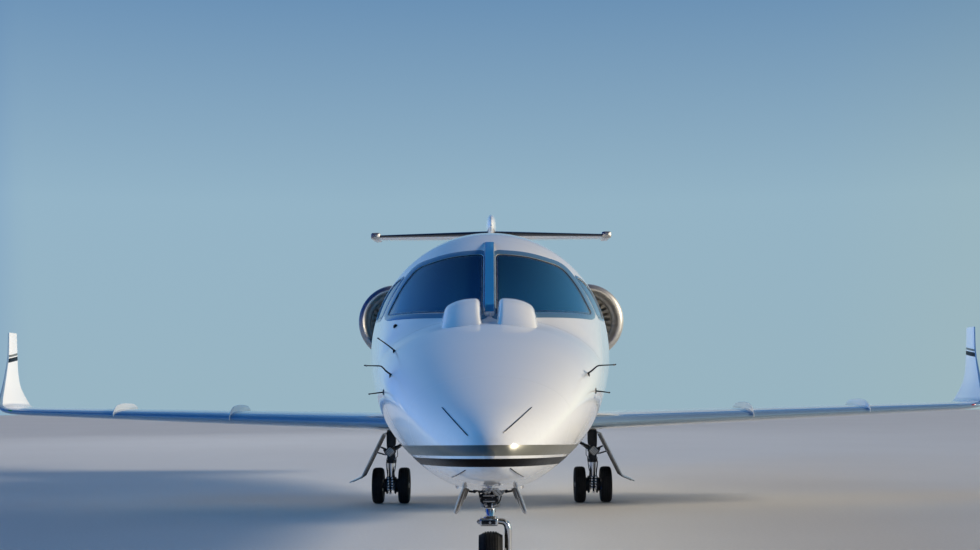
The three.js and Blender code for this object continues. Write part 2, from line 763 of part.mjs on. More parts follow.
function addInterior() {
  const lined = body(
    NOSE_END + FRONT_BULKHEAD + LINING.clearance,
    CABIN_END - REAR_BULKHEAD - LINING.clearance,
    LINING.depth,
  );
  const floorTop = FLOOR_HEIGHT + FLOOR_THICKNESS;
  const floorSlice = box([-FAR, 0, FLOOR_HEIGHT + GAP], [FAR, LENGTH, floorTop]);
  add("cabin_floor", lined.intersect(floorSlice), CARPET);

  const panelSlice = box([-FAR, PANEL.from, PANEL.bottom], [FAR, PANEL.to, PANEL.top]);
  const slab = ({ halfWidth, from, to }, top) =>
    box([-halfWidth, from, floorTop + GAP], [halfWidth, to, top]);
  const pedestal = slab(PEDESTAL, PEDESTAL.top);
  add("instrument_panel", join(lined.intersect(panelSlice), pedestal), PANEL_PLASTIC);

  const railTop = floorTop + RAIL_HEIGHT;
  const seats = (rows) =>
    rows.flatMap(([across, halfWidth, front, facing]) =>
      [-1, 1].map((side) => seat(side * across, halfWidth, front, facing)),
    );
  const besides = PEDESTAL.halfWidth + PEDESTAL.room;
  const pedestalRoom = box([-besides, 0, 0], [besides, PEDESTAL.to + PEDESTAL.room, FAR]);
  const crew = join(slab(CREW_RAILS, railTop), ...seats(CREW_SEATS));
  add("crew_seats", cut(crew, pedestalRoom), LEATHER);
  add("cabin_seats", join(slab(CABIN_RAILS, railTop), ...seats(CABIN_SEATS)), LEATHER);
}

// Lifting surfaces

const THICKNESS_PLACES = [0, 0.015, 0.06, 0.16, 0.32, 0.52, 0.74, 1];
const TRAILING_EDGE = 0.0016;
// Half the thickness of the section at a fraction of its chord, for a thickness ratio of one.
function halfThickness(c) {
  const curve = 0.2969 * Math.sqrt(c) - 0.126 * c - 0.3516 * c ** 2 + 0.2843 * c ** 3 - 0.1036 * c ** 4;
  return 5 * curve;
}
const halfAt = (section, c) => halfThickness(c) * section.ratio + TRAILING_EDGE * c;
// A section of a level surface, or of an upright one, at a place along the span.
function sectionAt(rows, place, upright = false) {
  const next = Math.max(1, rows.findIndex((row) => row[0] >= place - 1e-6));
  const [a, b] = [rows[next - 1], rows[next]];
  const t = (place - a[0]) / (b[0] - a[0]);
  const row = a.map((value, k) => value + t * (b[k] - value));
  const lead = upright ? [0, yOf(row[1]), row[0]] : [row[0], yOf(row[1]), row[3]];
  const turn = upright ? Math.PI / 2 : THREE.MathUtils.degToRad(row[5] ?? 0);
  return {
    lead: new THREE.Vector3(...lead),
    chord: row[2] - row[1],
    ratio: upright ? row[3] : row[4],
    up: new THREE.Vector3(-Math.sin(turn), 0, Math.cos(turn)),
  };
}
const onSection = (section, [c, h]) =>
  section.lead
    .clone()
    .addScaledVector(Y, c * section.chord)
    .addScaledVector(section.up, h * section.chord);
const ringOn = (section, outline) => outline.map((point) => onSection(section, point));

function wholeOutline(section, grow = 0) {
  const extra = grow / section.chord;
  const upper = THICKNESS_PLACES.slice(1).map((c) => [c, halfAt(section, c) + extra]);
  const lower = upper.map(([c, h]) => [c, -h]).reverse();
  return [[-extra, 0], ...upper, ...lower];
}
// Behind a hinge, with a round nose about it.
function roundNosed(section, c, stretch = 1) {
  const radius = halfAt(section, c);
  const aft = [0.5, 1].map((t) => c + t * (1 - c));
  const upper = aft.map((place) => [place, halfAt(section, place)]);
  const lower = upper.map(([place, h]) => [place, -h]).reverse();
  const nose = [-90, -120, -150, 180, 150, 120, 90].map((degrees) => {
    const angle = THREE.MathUtils.degToRad(degrees);
    return [c + stretch * radius * Math.cos(angle), radius * Math.sin(angle)];
  });
  return [...upper, ...lower, ...nose];
}
function roundNosedRoom(section, c) {
  const radius = halfAt(section, c) + COVE_GAP / section.chord;
  const nose = [-90, -120, -150, 180, 150, 120, 90].map((degrees) => {
    const angle = THREE.MathUtils.degToRad(degrees);
    return [c + radius * Math.cos(angle), radius * Math.sin(angle)];
  });
  return [[1.1, radius], [1.1, -radius], ...nose];
}
// Room for a surface that swings far: the skin ahead of its hinge is cut back as well.
function farSwingRoom(section, c, stretch) {
  const radius = halfAt(section, c) + COVE_GAP / section.chord;
  const nose = [-112, -135, -158, 180, 158, 135, 112].map((degrees) => {
    const angle = THREE.MathUtils.degToRad(degrees);
    return [c + stretch * radius * Math.cos(angle), radius * Math.sin(angle)];
  });
  const [lipBack, side] = [nose.at(-1)[0], 3 * radius];
  return [[lipBack, side], [1.1, side], [1.1, -side], [lipBack, -side], ...nose];
}
function flatNosed(section, c) {
  const middle = c + 0.5 * (1 - c);
  const upper = [c, middle, 1].map((place) => [place, halfAt(section, place)]);
  return [...upper, ...upper.map(([place, h]) => [place, -h]).reverse()];
}
function flatNosedRoom(section, c) {
  const front = c - MOVING_GAP / section.chord;
  return [[front, 0.1], [1.1, 0.1], [1.1, -0.1], [front, -0.1]];
}

const wingAt = (place) => sectionAt(WING, place);
const wingSpan = [WING[0][0], WING[1][0]];
const wingSolid = (grow) => loft(wingSpan.map((place) => ringOn(wingAt(place), wholeOutline(wingAt(place), grow))));
const between = (from, to, ringAt) => loft([from, to].map(ringAt));

function fence(place) {
  const section = wingAt(place);
  const rise = FENCES.height / section.chord;
  const upper = [-0.012, 0.03, 0.12, 0.3, 0.5, FENCES.end].map((c) => {
    const taper = Math.min(1, 0.45 + 4 * Math.max(0, c)) * (c > 0.6 ? 0.35 : 1);
    return [c, (c > 0 ? halfAt(section, c) : 0) + rise * taper];
  });
  const outline = [...upper, [FENCES.end, 0], [0.02, -0.012], [-0.012, -0.004]];
  const ringAt = (way) =>
    ringOn(section, outline).map((p) => p.add(new THREE.Vector3((way * FENCES.thickness) / 2, 0, 0)));
  return loft([ringAt(-1), ringAt(1)]);
}

function addWings() {
  const room = [
    between(AILERON.from - MOVING_GAP, AILERON.to + MOVING_GAP, (x) =>
      ringOn(wingAt(x), roundNosedRoom(wingAt(x), AILERON.hinge)),
    ),
    between(FLAP.from - FLAP_END_GAP, FLAP.to + MOVING_GAP, (x) =>
      ringOn(wingAt(x), flatNosedRoom(wingAt(x), FLAP.hinge)),
    ),
  ];
  const spoilerOutline = (section, extra, depth, above) => {
    const side = extra / section.chord;
    const [front, back] = [SPOILER.front - side, SPOILER.back + side];
    const drop = depth / section.chord;
    return [
      [front, halfAt(section, front) + above],
      [back, halfAt(section, back) + above],
      [back, halfAt(section, back) - drop],
      [front, halfAt(section, front) - drop],
    ];
  };
  const recess = between(SPOILER.from - COVE_GAP, SPOILER.to + COVE_GAP, (x) =>
    ringOn(wingAt(x), spoilerOutline(wingAt(x), COVE_GAP, SPOILER.recess, 0.05)),
  );
  const { across, station, wellTop } = MAIN_GEAR;
  const { halfWidth, halfLength } = LEG_WELL;
  const wellLow = [across - halfWidth, station - halfLength, 0];
  const legWell = box(wellLow, [across + halfWidth, station + halfLength, wellTop]);
  const jackPad = rod([...JACK_PAD.place, JACK_PAD.bottom], [...JACK_PAD.place, JACK_PAD.top], JACK_PAD.radius);
  const wing = join(wingSolid(0), ...FENCES.spans.map(fence), jackPad);
  addPair("wing", cut(wing, ...room, recess, legWell, grownBody), WHITE_PAINT);

  const tip = loft(
    WINGLET.map((row) => sectionAt(WINGLET, row[0])).map((section, i) => {
      if (i === 0) section.lead.x += GAP;
      return ringOn(section, wholeOutline(section));
    }),
  );
  addPair("winglet", tip, WHITE_PAINT);

  const aileron = between(AILERON.from, AILERON.to, (x) =>
    ringOn(wingAt(x), roundNosed(wingAt(x), AILERON.hinge)),
  );
  const aileronLine = [AILERON.from, AILERON.to].map((x) => onSection(wingAt(x), [AILERON.hinge, 0]));
  hangOn("aileron", aileronLine, addPair("aileron", aileron, WHITE_PAINT));

  const flap = between(FLAP.from, FLAP.to, (x) => ringOn(wingAt(x), flatNosed(wingAt(x), FLAP.hinge)));
  const flapLine = [FLAP.from, FLAP.to].map((x) =>
    onSection(wingAt(x), [FLAP.hinge, -halfAt(wingAt(x), FLAP.hinge)]),
  );
  hangOn("flap", flapLine, addPair("flap", flap, WHITE_PAINT));

  const spoiler = between(SPOILER.from, SPOILER.to, (x) =>
    ringOn(wingAt(x), spoilerOutline(wingAt(x), 0, SPOILER.plate, 0)),
  );
  const spoilerLine = [SPOILER.from, SPOILER.to].map((x) =>
    onSection(wingAt(x), [SPOILER.front, halfAt(wingAt(x), SPOILER.front)]),
  );
  hangOn("spoiler", spoilerLine, addPair("spoiler", spoiler, WHITE_PAINT));

  const fairing = loft(BELLY.map((row) => bellyRing(row, 0)));
  add("belly_fairing", cut(fairing, grownBody, wingSolid(2 * GAP), mirrored(wingSolid(2 * GAP))), WHITE_PAINT);
}
// Hangs a pair on the line between two points. Positive angles lift the trailing edge.
function hangOn(name, [from, to], pair) {
  hingePair(name, from.clone().lerp(to, 0.5), to.clone().sub(from), pair);
}

function addTail() {
  const finAt = (height) => sectionAt(FIN, height, true);
  const finRings = FIN.map(([height]) => ringOn(finAt(height), wholeOutline(finAt(height))));
  const line = (height) => {
    const t = (height - RUDDER.bottom) / (RUDDER.top - RUDDER.bottom);
    const station = RUDDER.bottomHinge + t * (RUDDER.topHinge - RUDDER.bottomHinge);
    const section = finAt(height);
    return { section, c: (yOf(station) - section.lead.y) / section.chord };
  };
  // The hinge leans back, so a nose that is round about it is stretched along the body.
  const run = (RUDDER.topHinge - RUDDER.bottomHinge) / (RUDDER.top - RUDDER.bottom);
  const stretch = Math.hypot(1, run);
  const rudderRing = (outline) => (height) => {
    const { section, c } = line(height);
    return ringOn(section, outline(section, c, stretch));
  };
  const heights = [RUDDER.bottom, 3220, RUDDER.top];
  const roomHeights = [RUDDER.bottom - RUDDER.endGap, 3220, RUDDER.top + RUDDER.endGap];
  const rudder = loft(heights.map(rudderRing(roundNosed)));
  const room = loft(roomHeights.map(rudderRing(farSwingRoom)));
  const stabAt = (place) => sectionAt(STABILIZER, place);
  const halfStabilizer = (grow) =>
    loft(STABILIZER.map(([x]) => ringOn(stabAt(x), wholeOutline(stabAt(x), grow))));
  const stabilizerRoom = join(halfStabilizer(GAP), mirrored(halfStabilizer(GAP)));
  add("fin", cut(loft(finRings), grownBody, room, stabilizerRoom), WHITE_PAINT);
  const rudderMesh = add("rudder", rudder, WHITE_PAINT);
  const ends = [RUDDER.bottom, RUDDER.top].map((height) => {
    const { section, c } = line(height);
    return onSection(section, [c, 0]);
  });
  hinge("rudder", ends[0].clone().lerp(ends[1], 0.5), ends[1].clone().sub(ends[0]), [rudderMesh]);

  const squared = (value) => Math.sign(value) * Math.abs(value) ** 0.55;
  const tipPod = loft(
    TAIL_TIPS.map(([station, halfWidth, halfHeight]) =>
      Array.from({ length: 12 }, (_, i) => {
        const angle = ((i + 0.5) / 12) * 2 * Math.PI;
        const x = TAIL_TIP_MIDDLE.across + squared(Math.cos(angle)) * halfWidth;
        const z = TAIL_TIP_MIDDLE.height + squared(Math.sin(angle)) * halfHeight;
        return new THREE.Vector3(x, yOf(station), z);
      }),
    ),
  );
  const elevatorRoom = between(ELEVATOR.from - ELEVATOR_END_GAP, ELEVATOR.to + ELEVATOR_END_GAP, (x) =>
    ringOn(stabAt(x), roundNosedRoom(stabAt(x), ELEVATOR.hinge)),
  );
  const halfTail = join(cut(halfStabilizer(0), elevatorRoom), tipPod);
  const bullet = loft(
    BULLET.map(([station, halfWidth, top, bottom]) =>
      Array.from({ length: 12 }, (_, i) => {
        const angle = (i / 12) * 2 * Math.PI;
        const height = (top + bottom) / 2 + (Math.sin(angle) * (top - bottom)) / 2;
        return new THREE.Vector3(Math.cos(angle) * halfWidth, yOf(station), height);
      }),
    ),
  );
  add("stabilizer", join(bullet, halfTail, mirrored(halfTail)), WHITE_PAINT);
  const elevator = between(ELEVATOR.from, ELEVATOR.to, (x) =>
    ringOn(stabAt(x), roundNosed(stabAt(x), ELEVATOR.hinge)),
  );
  const elevatorLine = [ELEVATOR.from, ELEVATOR.to].map((x) => onSection(stabAt(x), [ELEVATOR.hinge, 0]));
  hangOn("elevator", elevatorLine, addPair("elevator", elevator, WHITE_PAINT));

  const placed = VENTRAL_FIN.map(([station, out, radius]) => [yOf(station), out, radius]);
  const tilt = THREE.MathUtils.degToRad(VENTRAL_PLANE.down);
  const { thickness } = VENTRAL_PLANE;
  const outward = new THREE.Vector3(Math.cos(tilt), 0, -Math.sin(tilt));
  const normal = new THREE.Vector3(Math.sin(tilt), 0, Math.cos(tilt));
  const strake = prism(roundedShape(placed), -thickness / 2, thickness, Y, outward, normal);
  const shift = new THREE.Matrix4().makeTranslation(0, 0, VENTRAL_PLANE.height);
  const lowered = solidOf(geometryOf(strake).applyMatrix4(shift));
  addPair("ventral_fin", cut(lowered, grownBody), WHITE_PAINT);
}

function addEngines() {
  const { across, height, sides, coreSides } = ENGINE;
  const place = (solid) => solidOf(geometryOf(solid).translate(across, 0, height));
  const [lip, nozzle] = [NACELLE_OUTSIDE[0][0], NACELLE_OUTSIDE.at(-1)[0]];
  const outside = [[lip, 0], ...NACELLE_OUTSIDE, [nozzle, 0]];
  const [behind, ahead] = [nozzle + 150, lip - 100];
  const bore = [[behind, 0], [behind, 355], ...NACELLE_DUCT, [ahead, 450], [ahead, 0]];
  const duct = place(turned(bore, sides));
  const thick = PYLON.thickness / 2;
  const pylonRing = (x) =>
    [
      [0, 0],
      [0.04, 0.55],
      [0.2, 1],
      [0.6, 0.9],
      [1, 0.06],
      [1, -0.06],
      [0.6, -0.9],
      [0.2, -1],
      [0.04, -0.55],
    ].map(([t, h]) => {
      const station = PYLON.front + t * (PYLON.back - PYLON.front);
      return new THREE.Vector3(x, yOf(station), height - 30 + h * thick);
    });
  const pylon = loft([PYLON.inner, PYLON.outer].map(pylonRing));
  const nacelle = cut(join(place(turned(outside, sides)), pylon), duct, grownBody);
  addPair("nacelle", nacelle, WHITE_PAINT);
  addPair("engine_core", place(turned(ENGINE_CORE, coreSides)), DARK_METAL);

  const blade = loft(
    [0, 0.33, 0.67, 1].map((t) => {
      const radius = FAN.root + t * (FAN.tip - FAN.root);
      const halfChord = 58 + 16 * t;
      const angle = THREE.MathUtils.degToRad(FAN.twist[0] + t * (FAN.twist[1] - FAN.twist[0]));
      const along = new THREE.Vector3(Math.sin(angle), Math.cos(angle), 0).multiplyScalar(halfChord);
      const thin = new THREE.Vector3(Math.cos(angle), -Math.sin(angle), 0).multiplyScalar(FAN.thickness / 2);
      const centre = new THREE.Vector3(0, yOf((FAN.front + FAN.back) / 2), radius);
      return [
        centre.clone().add(along),
        centre.clone().add(thin),
        centre.clone().sub(along),
        centre.clone().sub(thin),
      ];
    }),
  );
  const turn = new THREE.Matrix4();
  const blades = Array.from({ length: FAN.blades }, (_, i) => {
    turn.makeRotationY((i / FAN.blades) * 2 * Math.PI);
    return solidOf(geometryOf(blade).applyMatrix4(turn));
  });
  const fan = place(join(turned(SPINNER, 16), ...blades));
  const pair = addPair("fan", fan, DARK_METAL);
  const at = new THREE.Vector3(across, yOf(FAN.front), height);
  hingePair("fan", at, Y, pair);
}

// Undercarriage

// A wheel part about an axle along X, centred on the axle's middle.
// It is turned half a step, so that a flat is at the bottom.
function wheelPart(profile) {
  const points = profile.map(([place, radius]) => new THREE.Vector2(radius, place));
  const round = new THREE.LatheGeometry([...points, points[0]], WHEEL_SIDES).rotateZ(-Math.PI / 2);
  return solidOf(round.rotateX(Math.PI / WHEEL_SIDES));
}
// A tyre's tread stands out so that the flats touch its round outline.
function tyre(profile) {
  const grow = 1 / Math.cos(Math.PI / WHEEL_SIDES);
  const bead = profile[0][1];
  return wheelPart(profile.map(([place, radius]) => [place, radius > bead ? radius * grow : radius]));
}
function rim(bore) {
  const { radius, halfWidth, web, hub, lip } = RIM;
  const half = [
    [web, hub],
    [web, radius - lip],
    [halfWidth, radius - lip],
    [halfWidth, radius],
  ];
  const other = half.map(([place, reach]) => [-place, reach]).reverse();
  const outline = [[halfWidth, bore], [halfWidth, hub], ...half, ...other];
  return wheelPart([...outline, [-halfWidth, hub], [-halfWidth, bore]]);
}

function addNoseGear() {
  const { station, trail, axle, legBottom } = NOSE_GEAR;
  const legBars = NOSE_LEG_BARS.map(([from, to, radius]) => rod(from, to, radius));
  add("nose_leg", join(box(...NOSE_LEG_BLOCK), ...legBars), DARK_METAL);

  const axleStation = station + trail;
  const { inside, outside } = NOSE_ARM;
  const reach = inside + 10;
  const fork = join(
    rod([0, station, NOSE_STEM.bottom], [0, station, legBottom - NOSE_STEM.clearance], NOSE_STEM.radius),
    rod([0, station, NOSE_CROWN.bottom], [0, station, NOSE_CROWN.top], NOSE_CROWN.radius),
    box(...NOSE_YOKE),
    sideways(NOSE_ARM_SIDE, inside, outside),
    rod([NOSE_AXLE.inside, axleStation, axle], [reach, axleStation, axle], NOSE_AXLE.radius),
    rod([outside - 10, axleStation, axle], [outside + 12, axleStation, axle], NOSE_AXLE.cap),
  );
  const forkMesh = add("nose_fork", fork, POLISHED_METAL);
  const steering = hinge("nose_steering", new THREE.Vector3(0, yOf(station), 560), Z, [forkMesh]);

  const wheel = new THREE.Group();
  wheel.name = "hinge_nose_wheel";
  wheel.position.set(0, yOf(axleStation), axle);
  add("nose_tyre", tyre(NOSE_TYRE), RUBBER, wheel);
  add("nose_rim", rim(RIM.bore), POLISHED_METAL, wheel);
  jet.add(wheel);
  steering.attach(wheel);

  const door = cut(lengthways(NOSE_DOOR, ...NOSE_DOOR_SPAN), body(1300, NOSE_END, -MOVING_GAP));
  addPair("nose_gear_door", door, WHITE_PAINT);
}

function addMainGear() {
  const { across, station, axle, halfTrack, shaft } = MAIN_GEAR;
  const onLeg = ([x, y, z]) => [across + x, station + y, z];
  const bore = rod(onLeg([-300, 0, axle]), onLeg([300, 0, axle]), MAIN_GEAR.bore);
  const bars = MAIN_LEG_BARS.map(([from, to, radius, end]) => rod(onLeg(from), onLeg(to), radius, end, 16));
  const links = TORQUE_LINKS.map(([low, high]) => box(onLeg(low), onLeg(high)));
  const leg = join(...bars, ...links);
  addPair("main_leg", cut(leg, bore), GEAR_PAINT);

  const solidRim = rim(0);
  for (const side of [1, -1]) {
    const name = side > 0 ? "left" : "right";
    const wheels = new THREE.Group();
    wheels.name = "hinge_main_wheels_" + name;
    wheels.position.set(side * across, yOf(station), axle);
    const spun = [-1, 1].map((way) => solidOf(geometryOf(solidRim).translate(way * halfTrack, 0, 0)));
    const axleBar = new THREE.CylinderGeometry(shaft, shaft, 2 * halfTrack, 16).rotateZ(Math.PI / 2);
    add("main_rims_" + name, join(solidOf(axleBar), ...spun), POLISHED_METAL, wheels);
    for (const way of [-1, 1]) {
      const where = way * side > 0 ? "outer" : "inner";
      const placed = add("main_tyre_" + name + "_" + where, tyre(MAIN_TYRE), RUBBER, wheels);
      placed.position.x = way * halfTrack;
    }
    jet.add(wheels);
  }

  addPair("main_gear_door", lengthways(MAIN_DOOR, ...MAIN_DOOR_SPAN), WHITE_PAINT);
}

addFuselage();
addGlass();
addWindshieldPost();
addDoors();
addInterior();
addWings();
addTail();
addEngines();
addNoseGear();
addMainGear();

export default jet;
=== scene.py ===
"""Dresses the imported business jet: smooth skins, glazing, cabin, wings, engines and gear, with their finishes."""

import math

import bmesh
import bpy
import numpy as np
from mathutils import Matrix, Vector


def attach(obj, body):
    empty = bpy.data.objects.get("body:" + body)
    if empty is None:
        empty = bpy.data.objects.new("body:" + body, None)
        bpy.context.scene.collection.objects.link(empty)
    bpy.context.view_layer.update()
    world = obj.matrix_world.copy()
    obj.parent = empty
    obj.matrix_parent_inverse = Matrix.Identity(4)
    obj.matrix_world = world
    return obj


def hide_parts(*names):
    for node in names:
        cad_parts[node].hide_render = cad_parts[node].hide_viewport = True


bl_info = {
    "name": "Business jet",
    "version": (1, 0, 0),
    "blender": (4, 5, 0),
    "location": "View3D > Sidebar > Jet",
    "description": "Builds the looks of a business jet around its packed frame",
    "category": "Object",
}

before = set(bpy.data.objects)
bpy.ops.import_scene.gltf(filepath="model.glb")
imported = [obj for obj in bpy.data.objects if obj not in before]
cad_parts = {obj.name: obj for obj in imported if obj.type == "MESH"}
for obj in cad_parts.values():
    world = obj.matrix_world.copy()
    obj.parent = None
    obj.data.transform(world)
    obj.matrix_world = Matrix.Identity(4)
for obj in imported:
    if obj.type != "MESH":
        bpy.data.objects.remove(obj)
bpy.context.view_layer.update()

# Metres. The nose points to -Y, the aircraft's left is +X, and a station is the distance aft of the nose tip.
NOSE_TIP = -8.94
ROUNDNESS = 2.05
WALL = 0.065
GAP = 0.007

# Columns: station, half width, top, bottom, height of the widest point.
BODY = np.array([
    [0, 30, 1108, 1046, 1076], [40, 112, 1176, 984, 1080], [120, 188, 1240, 943, 1088],
    [250, 272, 1307, 909, 1122], [450, 368, 1383, 876, 1186], [750, 482, 1503, 838, 1277],
    [1100, 590, 1632, 802, 1360], [1500, 686, 1762, 795, 1434], [1850, 752, 1857, 787, 1480],
    [2150, 799, 1930, 778, 1514], [2450, 838, 2085, 765, 1546], [2750, 873, 2240, 750, 1580],
    [3050, 906, 2394, 735, 1614], [3350, 938, 2545, 716, 1650], [3550, 960, 2636, 703, 1680],
    [3750, 980, 2704, 692, 1702], [4200, 980, 2762, 690, 1722], [10300, 980, 2765, 690, 1722],
    [11000, 905, 2765, 726, 1745], [11700, 800, 2762, 812, 1795], [12400, 700, 2755, 940, 1860],
    [13100, 610, 2742, 1092, 1928], [13900, 510, 2712, 1290, 2003], [14700, 402, 2660, 1510, 2075],
    [15500, 285, 2575, 1740, 2142], [16300, 160, 2440, 1985, 2205],
]) / 1000
RADOME_END, COCKPIT_END, BODY_END = 0.75, 3.75, 16.3

# Openings. A corner is two places and a radius: station and height from the side, across and height from the front.
DOORWAY = {"centre": (4.23, 1.742), "size": (0.66, 1.395), "corner": 0.11, "split": 1.745}
BAGGAGE = {"centre": (11.525, 1.6), "size": (0.75, 0.5), "corner": 0.07, "thickness": 0.042}
CABIN_WINDOW = {"height": 2.025, "size": (0.3, 0.4), "corner": 0.12}
# Half the length of skin about a cabin window that has closer rows.
WINDOW_REACH = 0.19
LEFT_WINDOWS = (5.15, 6.05, 6.95, 7.85, 8.75)
RIGHT_WINDOWS = (4.25, *LEFT_WINDOWS)
WINDSHIELD = (
    (0.048, 1.946, 0.02), (0.33, 1.972, 0.06), (0.796, 1.984, 0.042), (0.695, 2.24, 0.09),
    (0.58, 2.403, 0.07), (0.3, 2.474, 0.09), (0.048, 2.49, 0.04),
)
SIDE_WINDOW = (
    (3.235, 1.985, 0.04), (3.64, 1.985, 0.06), (3.64, 2.29, 0.07), (3.5, 2.33, 0.06),
)
NOSE_BAY = {"half": 0.172, "from": 1.33, "to": 2.08, "top": 1.01}


# Arrays of points and faces


class Form:
    """Points and faces gathered as arrays. Each face keeps the number of its finish."""

    def __init__(self):
        self.points, self.faces, self.finishes, self.count = [], [], [], 0

    def add(self, points, faces, finish=0):
        points = np.asarray(points, float).reshape(-1, 3)
        for rows in faces:
            if len(rows):
                self.faces.append(np.asarray(rows) + self.count)
                self.finishes.append(np.broadcast_to(finish, len(rows)))
        self.points.append(points)
        self.count += len(points)
        return self

    def join(self, *others):
        for other in others:
            offset = self.count
            self.points += other.points
            self.faces += [rows + offset for rows in other.faces]
            self.finishes += other.finishes
            self.count += other.count
        return self

    def moved(self, change):
        """The same faces with every point passed through a function of an array of points."""
        made = Form()
        made.points = [change(points) for points in self.points]
        made.faces, made.finishes, made.count = self.faces, self.finishes, self.count
        return made

    def mirrored(self):
        """The same form on the other side of the plane x = 0, with its faces turned back out."""
        made = self.moved(lambda points: points * (-1, 1, 1))
        made.faces = [rows[:, ::-1] for rows in self.faces]
        return made


def both(form):
    """A form and its mirror image together."""
    return Form().join(form, form.mirrored())


def grid(points, around=False, caps=False, finish=0, outward=True):
    """Four-sided faces over rows of points. The rows close round when asked, and caps fan out from the middle of the
    first and last row."""
    points = np.asarray(points, float)
    rows, columns = points.shape[:2]
    index = np.arange(rows * columns).reshape(rows, columns)
    if around:
        index = np.concatenate([index, index[:, :1]], 1)
    corners = [index[:-1, :-1], index[:-1, 1:], index[1:, 1:], index[1:, :-1]]
    quads = np.stack(corners if outward else corners[::-1], -1).reshape(-1, 4)
    finish = np.broadcast_to(finish, (rows - 1, index.shape[1] - 1)).ravel()
    form = Form().add(points, [quads], finish)
    if caps:
        for row in (0, rows - 1):
            ring = index[row]
            middle = form.count
            fan = np.stack([ring[:-1], ring[1:], np.full(len(ring) - 1, middle)], -1)
            form.add(points[row].mean(0), [])
            form.faces.append(fan)
            form.finishes.append(np.full(len(fan), finish[0 if row == 0 else -1]))
    return form


def hull(rows, finish=0):
    """A closed shape: rows of points that close round, with a cap on the first and the last."""
    return grid(rows, around=True, caps=True, finish=finish)


def circuit(count):
    """Even angles once round a circle."""
    return np.linspace(0, 2 * np.pi, count, endpoint=False)


def lines(*spans):
    """Places along a line, from spans of start, end and step."""
    parts = [np.linspace(a, b, max(2, round(abs(b - a) / step) + 1)) for a, b, step in spans]
    return np.concatenate([part if i == 0 else part[1:] for i, part in enumerate(parts)])


def smooth(table, column, place):
    """A curve through a table's rows that never overshoots them: cubic pieces whose slope at a row is the harmonic
    mean of the slopes on its two sides."""
    table = np.asarray(table, float)
    x, y = table[:, 0], table[:, column]
    slope = np.diff(y) / np.diff(x)
    total = slope[1:] + slope[:-1]
    product = slope[1:] * slope[:-1]
    inner = np.where(product > 0, 2 * product / np.where(total == 0, 1, total), 0)
    tangent = np.concatenate([slope[:1], inner, slope[-1:]])
    i = np.clip(np.searchsorted(x, place) - 1, 0, len(x) - 2)
    span = x[i + 1] - x[i]
    t = (place - x[i]) / span
    bend = t * (1 - t) ** 2 * tangent[i] + t * t * (t - 1) * tangent[i + 1]
    return y[i] + (y[i + 1] - y[i]) * t * t * (3 - 2 * t) + span * bend


def stack(x, y, z):
    """Three arrays of coordinates, broadcast against each other, as points."""
    return np.stack(np.broadcast_arrays(x, y, z), -1).astype(float)


def power(value, exponent):
    """A power that keeps the sign of its base, as superellipses need."""
    return np.sign(value) * np.abs(value) ** exponent


def frames(path):
    """Two unit vectors square to a path at each of its points, carried along it without twisting."""
    path = np.asarray(path, float)
    along = np.gradient(path, axis=0)
    along /= np.linalg.norm(along, axis=1, keepdims=True)
    start = np.cross(along[0], (0, 0, 1) if abs(along[0][2]) < 0.9 else (1, 0, 0))
    sides = [start / np.linalg.norm(start)]
    for direction in along[1:]:
        side = sides[-1] - direction * (sides[-1] @ direction)
        sides.append(side / np.linalg.norm(side))
    sides = np.array(sides)
    return sides, np.cross(along, sides)


def tube(path, radius, sides=12, finish=0, flat=1.0):
    """A round bar along a path: each point of the path carries a circle of its own radius, flattened by a factor in
    one direction."""
    path = np.asarray(path, float)
    side, up = frames(path)
    radius = np.broadcast_to(radius, len(path))[:, None, None]
    angle = circuit(sides)[None, :, None]
    ring = np.cos(angle) * side[:, None] + flat * np.sin(angle) * up[:, None]
    return hull(path[:, None] + radius * ring, finish)


def spline(points, count):
    """A smooth path through a few points, by their distance along it."""
    points = np.asarray(points, float)
    reach = np.concatenate([[0], np.cumsum(np.linalg.norm(np.diff(points, axis=0), axis=1))])
    table = np.column_stack([reach, points])
    place = np.linspace(0, reach[-1], count)
    return np.stack([smooth(table, k, place) for k in (1, 2, 3)], -1)


def lathe(profile, centre, axis="y", sides=48, finish=0, closed=False):
    """A surface of revolution: rows of place along the axis and radius are turned about it."""
    profile = np.asarray(profile, float)
    angle = circuit(sides)
    along = profile[:, :1] + 0 * angle
    c, s = profile[:, 1:2] * np.cos(angle), profile[:, 1:2] * np.sin(angle)
    order = {"x": (along, c, s), "y": (c, along, s), "z": (c, s, along)}[axis]
    points = stack(*order) + np.asarray(centre, float)
    if closed:
        points = np.concatenate([points, points[:1]])
    return grid(points, around=True, caps=not closed, finish=finish)


def rounded(corners, steps=7):
    """An outline with rounded corners, as parabolic arcs between the straight sides. A corner is two places and a
    radius."""
    corners = np.asarray(corners, float)
    t = np.linspace(0, 1, steps)[:, None]
    outline = []
    for i, (*corner, radius) in enumerate(corners):
        corner = np.array(corner)
        ends = []
        for other in (corners[i - 1, :2], corners[(i + 1) % len(corners), :2]):
            way = other - corner
            ends.append(corner + way / np.linalg.norm(way) * radius)
        outline.append((1 - t) ** 2 * ends[0] + 2 * t * (1 - t) * corner + t * t * ends[1])
    return np.concatenate(outline)


def rectangle(centre, size, corner, inset=0.0):
    """A rectangle with rounded corners, drawn in on all sides by an inset."""
    half = np.array(size) / 2 - inset
    signs = ((-1, -1), (1, -1), (1, 1), (-1, 1))
    return rounded([(centre[0] + a * half[0], centre[1] + b * half[1], corner) for a, b in signs])


def offset(outline, amount):
    """An outline moved out square to itself."""
    along = np.roll(outline, -1, 0) - np.roll(outline, 1, 0)
    normal = np.stack([along[:, 1], -along[:, 0]], -1)
    area = np.cross(outline, np.roll(outline, -1, 0)).sum()
    return outline + np.sign(area) * amount * normal / np.linalg.norm(normal, axis=1, keepdims=True)


